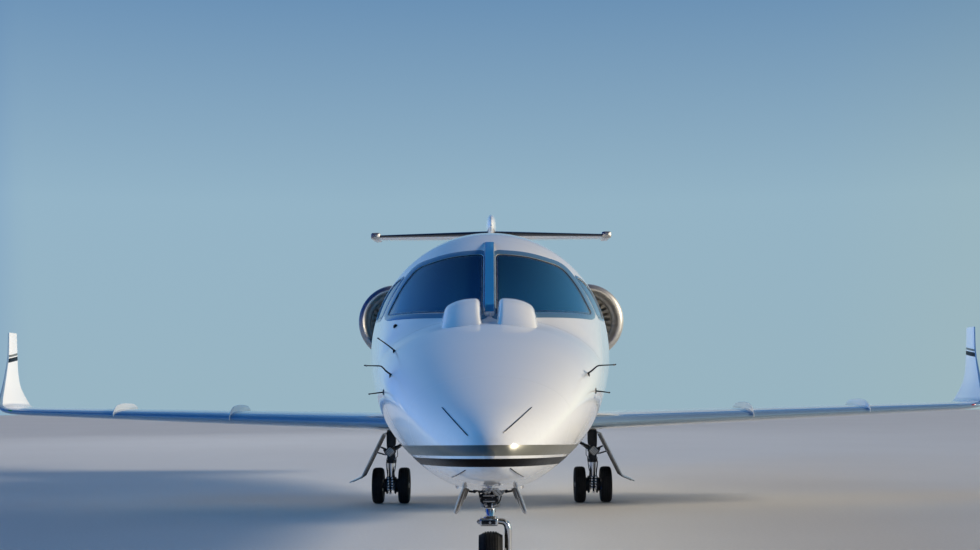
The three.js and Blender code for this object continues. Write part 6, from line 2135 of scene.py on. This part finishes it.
def gear_pieces():
    """The legs, wheels and doors, each built by its own function, and their mirror images."""
    metals = looks("gear", "dark_metal", "chrome", "steel", "hose", "lamp", "lip")
    # The main legs take the gear paint darkened as painted shade.
    shaded_gear_metals = looks("main_gear", "dark_metal", "chrome", "steel", "hose", "lamp", "polished")
    make("nose_leg_assembly", nose_leg_form(), metals, "airframe", "gear_paint", ["nose_leg"])
    fork = looks("fork", "dark_metal", "chrome", "steel")
    make("nose_fork_assembly", nose_fork_form(), fork, "nose_steering", "bright_metal", ["nose_fork"])
    centre = (0, at(NOSE_GEAR["wheel"]), NOSE_GEAR["axle"])
    tread = tyre_form(NOSE_WALL, NOSE_TREAD, (-0.045, -0.028, -0.009, 0.009, 0.028, 0.045), centre)
    make("nose_tyre_rubber", tread, looks("rubber"), "nose_wheel", "tyre_rubber", ["nose_tyre"], sharp=60)
    make(
        "nose_rim_metal", rim_form(centre, 0.0235, 0), looks("polished", "steel", "black_paint"), "nose_wheel",
        "bright_metal", ["nose_rim"]
    )
    door = looks("white", "taupe_lining", "edge", "steel")
    pair("nose_gear_door_*_panel", nose_door_form(), door, "white_paint", node="nose_gear_door_*")

    pair("main_leg_*_assembly", main_leg_form(), shaded_gear_metals, "gear_paint", node="main_leg_*")
    pair(
        "main_gear_door_*_panel", main_door_form(), looks("white", "dark_lining", "edge", "steel"), "white_paint",
        node="main_gear_door_*"
    )
    x, track = MAIN_GEAR["across"], MAIN_GEAR["track"]
    centres = {way: (x + way * track, at(MAIN_GEAR["station"]), MAIN_GEAR["axle"]) for way in (-1, 1)}
    rims = Form().join(*[rim_form(centres[way], 0.0, way) for way in (-1, 1)])
    rims.join(rod(centres[-1], centres[1], 0.02, 1))
    pair(
        "main_rims_*_metal", rims, looks("polished", "steel", "black_paint"), "bright_metal", "main_wheels_*",
        "main_rims_*"
    )
    for way, word in ((1, "outer"), (-1, "inner")):
        tread = tyre_form(MAIN_WALL, MAIN_TREAD, (-0.036, -0.012, 0.012, 0.036), centres[way])
        pair(
            f"main_tyre_*_{word}_rubber", tread, looks("rubber"), "tyre_rubber", "main_wheels_*",
            f"main_tyre_*_{word}", sharp=60
        )


# Pieces: cabin


def floor_form():
    """The cabin floor: a slab that follows the lining's width, with a raised edge strip along both walls."""
    station = np.linspace(2.27, 10.13, 60)
    half = flank(station, np.full(60, 1.0), 1, WALL + 0.016)[:, 0]
    across = half[:, None] * np.array([-1, 1, 1, -1])
    height = np.array([1.02, 1.02, 1.008, 1.008])
    form = hull(stack(across, at(station)[:, None], height))
    strip = half[:, None] - np.array([0.03, 0.006, 0.004, 0.032])
    rows = stack(strip, at(station)[:, None], np.array([1.026, 1.026, 1.019, 1.019]))
    return form.join(both(hull(rows, 1)))


def rails_form(half, start, end):
    """Four seat rails along the floor, two under each row of seats: plain bars with rounded edges."""
    form = Form()
    for x in (-half, -half + 0.27, half - 0.27, half):
        form.join(block((x - 0.012, at(start), 1.02), (x + 0.012, at(end), 1.029), 0.003))
    return form


def panel_form():
    """The instrument panel: a padded glareshield that follows the cockpit's width, and below it displays, keypads,
    pedestal, levers and two yokes."""
    side = [
        (2.7, 1.862), (2.74, 1.879), (2.82, 1.888), (2.93, 1.885), (2.955, 1.874), (2.952, 1.858), (2.915, 1.846),
        (2.925, 1.7), (2.94, 1.52), (2.935, 1.485), (2.72, 1.485), (2.7, 1.7)
    ]
    outline = resampled(rounded([(a, b, 0.008) for a, b in side], 4), 90)
    half = flank(outline[:, 0], outline[:, 1], 1, WALL + 0.026)[:, 0]
    share = np.sin(np.linspace(-np.pi / 2, np.pi / 2, 41))[:, None]
    dip = 0.012 * np.cos(share * np.pi * 2.0) * (outline[:, 1] > 1.84)
    form = hull(stack(share * half, at(outline[:, 0])[None, :], outline[:, 1] - 0.006 + dip * 0.5))
    face = at(2.922)
    for x in (-0.5, -0.21, 0.21, 0.5):
        form.join(
            block((x - 0.132, face - 0.006, 1.612), (x + 0.132, face + 0.012, 1.816), 0.006, 3),
            block((x - 0.118, face + 0.008, 1.626), (x + 0.118, face + 0.0135, 1.802), 0.002, 1)
        )
    for x in np.linspace(-0.3, 0.3, 9):
        form.join(rod((x, face - 0.005, 1.565), (x, face + 0.022, 1.565), 0.011, 2, sides=12))
    form.join(block((-0.12, at(2.71), 1.03), (0.12, at(3.3), 1.478), 0.02))
    form.join(block((-0.126, at(2.9), 1.468), (0.126, at(3.322), 1.49), 0.008, 3))
    for x in (-0.075, 0.075):
        form.join(block((x - 0.042, at(3.0), 1.486), (x + 0.042, at(3.28), 1.495), 0.003, 1))
    for x in (-0.018, 0.018):
        form.join(
            rod((x, at(3.06), 1.485), (x, at(3.09), 1.56), 0.006, 2),
            rod((x - 0.013, at(3.09), 1.565), (x + 0.013, at(3.09), 1.565), 0.013, 3)
        )
    for x in (-0.385, 0.385):
        form.join(
            rod((x, face, 1.58), (x, at(3.06), 1.6), 0.022, 3),
            rod((x, at(3.055), 1.6), (x, at(3.085), 1.6), 0.045, 3)
        )
        for way in (-1, 1):
            grip = spline(
                [
                    (x, at(3.07), 1.575), (x + way * 0.09, at(3.075), 1.565), (x + way * 0.155, at(3.085), 1.6),
                    (x + way * 0.165, at(3.09), 1.68), (x + way * 0.14, at(3.09), 1.73)
                ],
                24
            )
            form.join(
                tube(grip, np.interp(np.linspace(0, 1, 24), [0, 0.5, 0.6, 1], [0.016, 0.014, 0.019, 0.017]), 12, 3)
            )
    return form


def cushion(low, high, crown):
    """A filled pad: a rounded box whose broad faces crown as a product of two cosines and whose sides pull in between
    its corners."""
    low, high, waist = np.array(low, float), np.array(high, float), 0.012
    middle, half = (low + high) / 2, (high - low) / 2
    angle = circuit(64)[None, :]
    tilt = np.linspace(-np.pi / 2, np.pi / 2, 25)[:, None]
    u = power(np.cos(angle), 0.35) * power(np.cos(tilt), 0.3)
    v = power(np.sin(angle), 0.35) * power(np.cos(tilt), 0.3)
    w = power(np.sin(tilt), 0.45)
    x, y = u * (half[0] - waist * (1 - v * v)), v * (half[1] - waist * (1 - u * u))
    z = w * (half[2] - crown) + np.sign(w) * crown * np.cos(u * np.pi / 2) * np.cos(v * np.pi / 2)
    return hull(stack(x, y, z) + middle)


PAD_VOXEL = 0.0125
SWELL_FRAMES = 20


def swollen(form, pressure, cap):
    """Lets a pad swell as cloth under a little pressure with gravity off, and returns the settled shape. No point
    moves further than the cap."""
    mesh = bpy.data.meshes.new("pad")
    mesh.from_pydata(
        np.concatenate(form.points).tolist(), [], [face for rows in form.faces for face in rows.tolist()]
    )
    piece = bpy.data.objects.new("pad", mesh)
    scene = bpy.context.scene
    scene.collection.objects.link(piece)
    voxels = piece.modifiers.new("voxels", "REMESH")
    voxels.mode, voxels.voxel_size = "VOXEL", PAD_VOXEL
    graph = bpy.context.evaluated_depsgraph_get()
    even = bpy.data.meshes.new_from_object(piece.evaluated_get(graph))
    piece.modifiers.clear()
    piece.data = even
    start = np.empty(len(even.vertices) * 3)
    even.vertices.foreach_get("co", start)
    cloth = piece.modifiers.new("cloth", "CLOTH")
    cloth.settings.use_pressure, cloth.settings.uniform_pressure_force = True, pressure
    cloth.settings.effector_weights.gravity = 0
    cloth.settings.mass, cloth.settings.quality = 0.4, 5
    cloth.point_cache.frame_start, cloth.point_cache.frame_end = 1, SWELL_FRAMES
    for number in range(1, SWELL_FRAMES + 1):
        scene.frame_set(number)
    graph = bpy.context.evaluated_depsgraph_get()
    settled = bpy.data.meshes.new_from_object(piece.evaluated_get(graph))
    end = np.empty(len(settled.vertices) * 3)
    settled.vertices.foreach_get("co", end)
    scene.frame_set(1)
    start, end = start.reshape(-1, 3), end.reshape(-1, 3)
    move = end - start
    length = np.linalg.norm(move, axis=1, keepdims=True)
    points = start + move * np.minimum(1, cap / np.maximum(length, 1e-9))
    faces = np.array([face.vertices[:] for face in settled.polygons])
    bpy.data.objects.remove(piece)
    return Form().add(points, [faces])


SEAT_HALF, SEAT_LEAN = 0.205, 12


def seat_pads(half):
    """The three pads of a seat about its own origin at the floor: base, back and headrest. Each is shaped, then
    swollen as cloth."""
    base = swollen(cushion((-half + 0.02, 0.03, 0.33), (half - 0.02, 0.5, 0.435), 0.018), 3.0, 0.012)
    back = cushion((-half + 0.03, -0.055, 0.0), (half - 0.03, 0.055, 0.56), 0.012)
    head = cushion((-0.125, -0.045, 0.58), (0.125, 0.045, 0.73), 0.008)
    lean = math.radians(SEAT_LEAN)

    def leaned(points):
        y, z = points[:, 1], points[:, 2]
        return stack(
            points[:, 0], 0.545 + y * math.cos(lean) + z * math.sin(lean),
            0.43 + z * math.cos(lean) - y * math.sin(lean)
        )

    return Form().join(base, swollen(back, 3.0, 0.01).moved(leaned), swollen(head, 2.0, 0.006).moved(leaned))


def seat_frame(half):
    """What holds a seat's pads: a pan, a shell behind the back, armrests with a rounded section, and legs on the
    rails."""
    form = block((-half + 0.015, 0.05, 0.29), (half - 0.015, 0.52, 0.335), 0.015, 0)
    form.join(block((-half * 0.7, 0.1, 0.02), (half * 0.7, 0.46, 0.29), 0.03, 0))
    rows = []
    for z, y, w in (
        (0.36, 0.57, 0.97), (0.5, 0.6, 1.0), (0.8, 0.665, 0.96), (1.0, 0.708, 0.85), (1.12, 0.73, 0.6),
        (1.16, 0.737, 0.45)
    ):
        angle = circuit(32)
        rows.append(stack(half * w * 0.97 * power(np.cos(angle), 0.4), y + 0.022 * power(np.sin(angle), 0.7), z))
    form.join(hull(rows))
    for side in (-1, 1):
        x = side * (half - 0.018)
        path = spline([(x, 0.14, 0.3), (x, 0.12, 0.42), (x, 0.15, 0.56), (x, 0.3, 0.585), (x, 0.5, 0.58)], 20)
        form.join(
            tube(path, 0.02, 12, 0, 1.3),
            rod((side * half * 0.62, 0.12, 0.0), (side * half * 0.62, 0.12, 0.05), 0.02, 1),
            rod((side * half * 0.62, 0.44, 0.0), (side * half * 0.62, 0.44, 0.05), 0.02, 1)
        )
    return form


def seated(across, front, facing):
    """Moves a seat from its own origin to its place, and turns it about to face aft where facing is minus one."""
    return lambda points: stack(
        across + facing * points[:, 0], at(front + facing * points[:, 1]), 1.026 + points[:, 2]
    )


def cabin_pieces():
    """The floor, the instrument panel, and every seat as a copy of one set of pads and one frame."""
    make("cabin_floor_carpet", floor_form(), looks("carpet", "trim"), "airframe", "cabin_carpet", ["cabin_floor"])
    make(
        "instrument_panel_assembly", panel_form(), looks("dark_trim", "screen", "steel", "black_paint"), "airframe",
        "panel_plastic", ["instrument_panel"]
    )
    crew = [(side * 0.385, 3.19, 1) for side in (-1, 1)]
    cabin = [
        (side * 0.405, front, facing) for side in (-1, 1)
        for front, facing in ((5.6, -1), (6.15, 1), (7.35, 1), (8.55, 1))
    ]
    pads, frame_of = seat_pads(SEAT_HALF), seat_frame(SEAT_HALF)
    for name, seats, rails in (("crew", crew, (0.55, 3.26, 3.86)), ("cabin", cabin, (0.59, 4.97, 9.19))):
        soft = Form().join(*[pads.moved(seated(*seat)) for seat in seats])
        piece = make(
            f"{name}_seat_pads", soft, looks("leather"), "airframe", "seat_leather", [f"{name}_seats"], sharp=60
        )
        hard = Form().join(*[frame_of.moved(seated(*seat)) for seat in seats], rails_form(*rails))
        make(f"{name}_seat_frames", hard, looks("dark_trim", "steel"), "airframe", "panel_plastic")


# Pieces: small fittings


# Conductive strips on the nose, each from one place across and height to another as seen from ahead.
STRIPS = (
    ((-0.271, 1.326), (-0.114, 1.175)),
    ((0.244, 1.324), (0.075, 1.19)),
    ((-0.128, 0.991), (-0.218, 0.926)),
    ((0.112, 1.002), (0.194, 0.932)),
)
# Air data probes. Each has a station and a path of places out from the middle and heights, and a tube's length ahead.
PROBES = (
    (1, 1.42, ((0.62, 1.512), (0.66, 1.54), (0.705, 1.572), (0.8, 1.576)), 0.11),
    (-1, 1.42, ((0.62, 1.512), (0.66, 1.54), (0.705, 1.578), (0.79, 1.58)), 0.11),
    (1, 1.55, ((0.68, 1.41), (0.73, 1.405), (0.78, 1.398)), 0.03),
    (-1, 1.55, ((0.68, 1.41), (0.73, 1.405), (0.785, 1.398)), 0.03),
    (-1, 1.88, ((0.635, 1.68), (0.69, 1.725), (0.755, 1.772)), 0.06),
)
# Blade aerials and drains. Each has a station, place across, chord, height and which way up.
BLADES = (
    (6.6, 0.0, 0.26, 0.17, 1),
    (8.3, 0.0, 0.2, 0.12, 1),
    (12.1, 0.0, 0.2, 0.1, -1),
    (5.2, 0.0, 0.2, 0.09, -1),
    (5.9, 0.25, 0.09, 0.07, -1),
    (11.9, -0.18, 0.09, 0.07, -1),
)


def blade_form(station, x, chord, height, way):
    """A swept blade with a rounded tip on a small foot plate."""
    angle = circuit(20)[None, :]
    t = np.concatenate([[-0.15], np.linspace(0, 0.9, 7), [0.96, 0.99, 1.0]])[:, None]
    shrink = np.sqrt(np.clip(1 - np.clip((t - 0.9) / 0.1, 0, 1) ** 2, 0.01, 1))
    size = chord * (1 - 0.5 * t) * shrink
    root = float(crest(station, x)) if way > 0 else float(beneath(np.array([x]), np.array([station]))[0, 2])
    rows = stack(
        x + 0.011 * shrink * np.sin(angle), at(station) + 0.55 * height * t + size / 2 * np.cos(angle),
        root + way * height * t
    )
    form = hull(rows)
    foot = resampled(
        rounded(
            [
                (-0.024, -chord * 0.6, 0.02), (0.024, -chord * 0.6, 0.02), (0.024, chord * 0.6, 0.02),
                (-0.024, chord * 0.6, 0.02)
            ]
        ),
        40
    )
    return form.join(
        plate(foot, lambda q, z: stack(x + q[:, 0], at(station) + q[:, 1], z), root - 0.03, root + 0.004, 0.002)
    )


def fitting_pieces():
    """Strips and probes as tubes along curves, lamps and drains turned from short profiles, and the blade aerials."""
    form = Form()
    for start, end in STRIPS:
        spot = np.linspace(start, end, 30)
        size = np.interp(np.linspace(0, 1, 30), [0, 0.04, 0.96, 1], [0.0012, 0.0034, 0.0034, 0.0012])
        form.join(tube(facing(spot[:, 0], spot[:, 1], -0.0008), size, 10))
    make("radome_strips", form, looks("black_paint"), "airframe", "gear_paint")

    form = Form()
    for side, station, path, ahead in PROBES:
        points = [(side * x, at(station) - 0.02 * i, z) for i, (x, z) in enumerate(path)]
        form.join(tube(spline(points, 18), np.linspace(0.0095, 0.0055, 18), 14, 0, 0.6))
        tip = np.array(points[-1])
        form.join(
            rod(tip + (0, 0.02, 0), tip - (0, ahead, 0), 0.006, 0, 0.004, 16),
            rod(tip - (0, ahead - 0.001, 0), tip - (0, ahead + 0.002, 0), 0.0022, 1, sides=12)
        )
        x, z = path[0]
        base = flank(np.array([station]), np.array([z]), side)[0]
        form.join(
            lathe(
                [(-0.006, 0.0), (-0.006, 0.02), (0.002, 0.0195), (0.0035, 0.016), (0.0035, 0.0)], (0, 0, 0), "x", 28
            ).moved(lambda p: p * (side, 1, 1) + base)
        )
    for station, x, z, size in ((2.5, -0.688, 1.883, 0.017), (1.6, -0.216, None, 0.02), (1.6, 0.209, None, 0.02)):
        spot = np.array([x, at(station), z]) if z else beneath(np.array([x]), np.array([station]))[0]
        t = np.linspace(-np.pi / 2, np.pi / 2, 12)
        tall, wide = (1.1, 1.0) if z else (1.3, 0.62)
        dome = np.column_stack([size * tall * np.sin(t), size * wide * np.cos(t)])
        form.join(lathe(dome, spot - (0, 0, 0 if z else size * 1.0), "z", 20, 0 if z else 2))
    make("air_data_probes", form, looks("dark_metal", "black_paint", "steel"), "airframe", "bright_metal")

    blades = Form().join(*[blade_form(*row) for row in BLADES])
    make("aerials", blades, looks("white"), "airframe", "white_paint")
    lamps = Form()
    for way in (-1, 1):
        lamps.join(
            lathe([(0.0, 0.0), (0.0, 0.02), (0.012, 0.017), (0.018, 0.0)], (way * 0.05, at(BODY_END), 2.2), "y", 20)
        )
    make("tail_lamps", lamps, looks("lamp"), "airframe", "window_glass")


# Stage and camera

# The camera stands ahead of the nose, looks aft along the body and a little up.
CAMERA = {"place": (0.025, -15.94, 1.435), "lens": 47.755, "pitch": 4.95, "yaw": 0.12, "roll": -0.35}


def stage_pieces():
    """A pale floor of low waves too shallow to see, soft lamps at both sides, behind and above, a graded sky, and the
    camera."""
    scene = bpy.context.scene
    reach, wave, sunk = 60, 0.0004, -0.0006
    place = np.linspace(-reach, reach, 61)
    x, y = np.meshgrid(place, place, indexing="ij")
    floor = grid(stack(x, y, sunk + wave * np.sin(x * 0.7) * np.cos(y * 0.9)), outward=False)
    mesh = bpy.data.meshes.new("floor")
    mesh.from_pydata(np.concatenate(floor.points).tolist(), [], floor.faces[0].tolist())
    mesh.shade_smooth()
    ground = bpy.data.objects.new("floor", mesh)
    scene.collection.objects.link(ground)
    f = Finish("pale_floor")
    cloud = f.noise(0.35, 4.0)
    grain = f.noise(30.0, 5.0)
    tone = f.mix(cloud, (0.52, 0.5, 0.475), (0.58, 0.565, 0.54))
    tone = f.mix(grain.eased(0.35, 0.75) * 0.3, tone, (0.47, 0.45, 0.425))
    mesh.materials.append(f.surface(tone, 0.62 + grain * 0.2, 0.0, grain, 0.002))

    sizes = scene.jet_sizes
    # Three distant lamps as broad as soft boxes, warm on the left, blue on the right and pale from behind, and two
    # wide panels.
    for name, kind, place, aim, size, strength, shade in (
        ("key", "SUN", (26, -8.5, 10), (0, -8, 1.1), (0.182, 0), 3.9 * sizes.key_light, (1.0, 0.88, 0.7)),
        ("left_fill", "SUN", (-20, -13, 8), (0, -8.5, 1.2), (0.74, 0), 1.6 * sizes.fill_light, (0.0, 0.42, 1.0)),
        ("rear_fill", "SUN", (-24, 20, 8), (0, 4, 1.5), (0.6, 0), 1.5 * sizes.fill_light, (1.0, 0.93, 0.84)),
        ("overhead", "AREA", (0, 2, 22), (0, 2, 0), (20, 26), 300 * sizes.fill_light, (0.2, 0.6, 1.0)),
        ("rear", "AREA", (-6, 24, 11), (0, 4, 2), (18, 10), 600 * sizes.fill_light, (0.8, 0.88, 1.0)),
    ):
        lamp = bpy.data.lights.new(name, kind)
        if kind == "SUN":
            lamp.angle = size[0]
        else:
            lamp.shape, lamp.size, lamp.size_y = "RECTANGLE", *size
        lamp.energy, lamp.color = strength, shade
        holder = bpy.data.objects.new(name, lamp)
        scene.collection.objects.link(holder)
        holder.location = place
        holder.rotation_euler = (Vector(aim) - Vector(place)).to_track_quat("-Z", "Y").to_euler()
        holder.visible_glossy = name == "key"

    world = bpy.data.worlds.new("sky") if scene.world is None else scene.world
    scene.world = world
    world.use_nodes = True
    tree = world.node_tree
    tree.nodes.clear()
    end = tree.nodes.new("ShaderNodeOutputWorld")
    back = tree.nodes.new("ShaderNodeBackground")
    parts = tree.nodes.new("ShaderNodeSeparateXYZ")
    place = tree.nodes.new("ShaderNodeTexCoord")
    tree.links.new(place.outputs["Generated"], parts.inputs[0])
    # The sky darkens to a deep blue overhead and ahead of the nose, and is blue on the aircraft's right and warm on
    # its left.
    rise = (
        (0.0, (0.95, 0.94, 0.92)), (0.14, (0.9, 0.93, 0.96)), (0.36, (0.24, 0.42, 0.7)), (0.75, (0.02, 0.07, 0.22))
    )
    across = (
        (0.0, (0.0, 0.12, 0.6)), (0.27, (0.02, 0.3, 0.9)), (0.33, (1.0, 1.0, 1.0)), (0.62, (1.0, 0.99, 0.97)),
        (0.8, (1.25, 1.08, 0.86))
    )
    along = ((0.0, (0.03, 0.22, 0.5)), (0.45, (0.06, 0.34, 0.66)), (0.64, (0.55, 0.82, 1.0)))
    sky = None
    for axis, stops in (("Z", rise), ("X", across), ("Y", along)):
        ramp = tree.nodes.new("ShaderNodeValToRGB")
        span = tree.nodes.new("ShaderNodeMapRange")
        span.inputs[1].default_value = 0.0 if axis == "Z" else -1.0
        tree.links.new(parts.outputs[axis], span.inputs[0])
        tree.links.new(span.outputs[0], ramp.inputs[0])
        ends = ramp.color_ramp.elements
        for number, (position, tone) in enumerate(stops):
            stop = ends[number] if number < 2 else ends.new(position)
            stop.position, stop.color = position, (*tone, 1)
        if sky is None:
            sky = ramp.outputs[0]
        else:
            blend = tree.nodes.new("ShaderNodeMix")
            blend.data_type, blend.blend_type = "RGBA", "MULTIPLY"
            blend.inputs[0].default_value = 1.0
            tree.links.new(sky, blend.inputs[6])
            tree.links.new(ramp.outputs[0], blend.inputs[7])
            sky = blend.outputs[2]
    tree.links.new(sky, back.inputs[0])
    tree.links.new(back.outputs[0], end.inputs[0])
    back.inputs[1].default_value = sizes.sky_light
    scene.view_settings.view_transform = "Standard"

    view = bpy.data.cameras.new("photo_view")
    view.lens, view.sensor_width = CAMERA["lens"], 36.0
    view.clip_end = 200
    camera = bpy.data.objects.new("photo_view", view)
    scene.collection.objects.link(camera)
    camera.location = CAMERA["place"]
    yaw, pitch, roll = (math.radians(CAMERA[name]) for name in ("yaw", "pitch", "roll"))
    turn = Matrix.Rotation(yaw, 4, "Z") @ Matrix.Rotation(math.pi / 2 + pitch, 4, "X") @ Matrix.Rotation(roll, 4, "Z")
    camera.rotation_euler = turn.to_euler()
    scene.camera = camera


# The add-on


def length(label, text, default, low, high):
    """A length in metres for the panel."""
    return bpy.props.FloatProperty(name=label, description=text, default=default, min=low, max=high, unit="LENGTH")


def share(label, text, default):
    """A factor for the panel."""
    return bpy.props.FloatProperty(name=label, description=text, default=default, min=0, max=3, subtype="FACTOR")


def shade(label, text, default):
    """A colour for the panel."""
    return bpy.props.FloatVectorProperty(
        name=label, description=text, default=default, min=0, max=1, size=3, subtype="COLOR"
    )


class JetSizes(bpy.types.PropertyGroup):
    edge_steps: bpy.props.IntProperty(
        name="Edge steps", description="Steps in a bevelled edge", default=2, min=1, max=5
    )
    fan_blades: bpy.props.IntProperty(
        name="Fan blades", description="Blades of each engine's fan", default=26, min=8, max=40
    )
    tyre_grooves: length("Groove depth", "Depth of the tyres' grooves", 0.006, 0.001, 0.012)
    key_light: share("Key light", "Strength of the warm lamp on the aircraft's left", 1.0)
    fill_light: share("Fill light", "Strength of the cool lamps", 1.0)
    sky_light: share("Sky light", "Strength of the even sky", 0.6)


class JetColours(bpy.types.PropertyGroup):
    paint: shade("Paint", "Colour of the body and wings", (0.83, 0.835, 0.83))
    stripe: shade("Upper stripe", "Metallic colour of the upper stripe", (0.2, 0.195, 0.16))
    dark_stripe: shade("Lower stripe", "Colour of the lower stripe", (0.006, 0.005, 0.005))
    gear: shade("Gear", "Colour of the painted gear legs", (0.2, 0.21, 0.225))
    glass: shade("Glass", "Tint of the windshield", (0.04, 0.23, 0.44))
    leather: shade("Leather", "Colour of the seats", (0.34, 0.27, 0.19))


class Builder:
    """What every operator shares: it runs its own build function."""

    def execute(self, context):
        self.build()
        return {"FINISHED"}


class JET_OT_body(Builder, bpy.types.Operator):
    """Build the body's skins, bulkheads and nose gear bay"""

    bl_idname, bl_label = "jet.body", "Body"
    build = staticmethod(body_pieces)


class JET_OT_glazing(Builder, bpy.types.Operator):
    """Build the windshield, the windows, their frames and the post with its fairings"""

    bl_idname, bl_label = "jet.glazing", "Glazing"
    build = staticmethod(glazing_pieces)


class JET_OT_doors(Builder, bpy.types.Operator):
    """Build the entry door's two leaves, its steps, and the baggage door"""

    bl_idname, bl_label = "jet.doors", "Doors"
    build = staticmethod(door_pieces)


class JET_OT_wings(Builder, bpy.types.Operator):
    """Build the wings with their winglets and moving surfaces, and the belly fairing"""

    bl_idname, bl_label = "jet.wings", "Wings"
    build = staticmethod(wing_pieces)


class JET_OT_tail(Builder, bpy.types.Operator):
    """Build the fin, rudder, stabilizer, elevators, ventral fins and beacons"""

    bl_idname, bl_label = "jet.tail", "Tail"
    build = staticmethod(tail_pieces)


class JET_OT_engines(Builder, bpy.types.Operator):
    """Build the nacelles with their pylons, the engines and the fans"""

    bl_idname, bl_label = "jet.engines", "Engines"
    build = staticmethod(engine_pieces)


class JET_OT_gear(Builder, bpy.types.Operator):
    """Build the nose gear, the two main gears, their wheels and their doors"""

    bl_idname, bl_label = "jet.gear", "Undercarriage"
    build = staticmethod(gear_pieces)


class JET_OT_cabin(Builder, bpy.types.Operator):
    """Build the floor, the instrument panel and the seats"""

    bl_idname, bl_label = "jet.cabin", "Cabin"
    build = staticmethod(cabin_pieces)


class JET_OT_fittings(Builder, bpy.types.Operator):
    """Build the probes, the nose's conductive strips, the aerials and the tail lamps"""

    bl_idname, bl_label = "jet.fittings", "Fittings"
    build = staticmethod(fitting_pieces)


class JET_OT_stage(Builder, bpy.types.Operator):
    """Set up the floor, the lamps, the sky and the camera"""

    bl_idname, bl_label = "jet.stage", "Stage"
    build = staticmethod(stage_pieces)


OPERATORS = (
    JET_OT_body, JET_OT_glazing, JET_OT_doors, JET_OT_wings, JET_OT_tail, JET_OT_engines, JET_OT_gear, JET_OT_cabin,
    JET_OT_fittings, JET_OT_stage
)


class JET_PT_panel(bpy.types.Panel):
    bl_label = "Business jet"
    bl_idname = "JET_PT_panel"
    bl_space_type = "VIEW_3D"
    bl_region_type = "UI"
    bl_category = "Jet"

    def draw(self, context):
        for group in (context.scene.jet_sizes, context.scene.jet_colours):
            for name in group.__annotations__:
                self.layout.prop(group, name)
        for operator in OPERATORS:
            self.layout.operator(operator.bl_idname)


CLASSES = (JetSizes, JetColours, *OPERATORS, JET_PT_panel)


def register():
    for one in CLASSES:
        bpy.utils.register_class(one)
    bpy.types.Scene.jet_sizes = bpy.props.PointerProperty(type=JetSizes)
    bpy.types.Scene.jet_colours = bpy.props.PointerProperty(type=JetColours)


def unregister():
    del bpy.types.Scene.jet_colours
    del bpy.types.Scene.jet_sizes
    for one in reversed(CLASSES):
        bpy.utils.unregister_class(one)


def main():
    register()
    for operator in OPERATORS:
        group, name = operator.bl_idname.split(".")
        getattr(getattr(bpy.ops, group), name)()


if __name__ == "__main__":
    main()
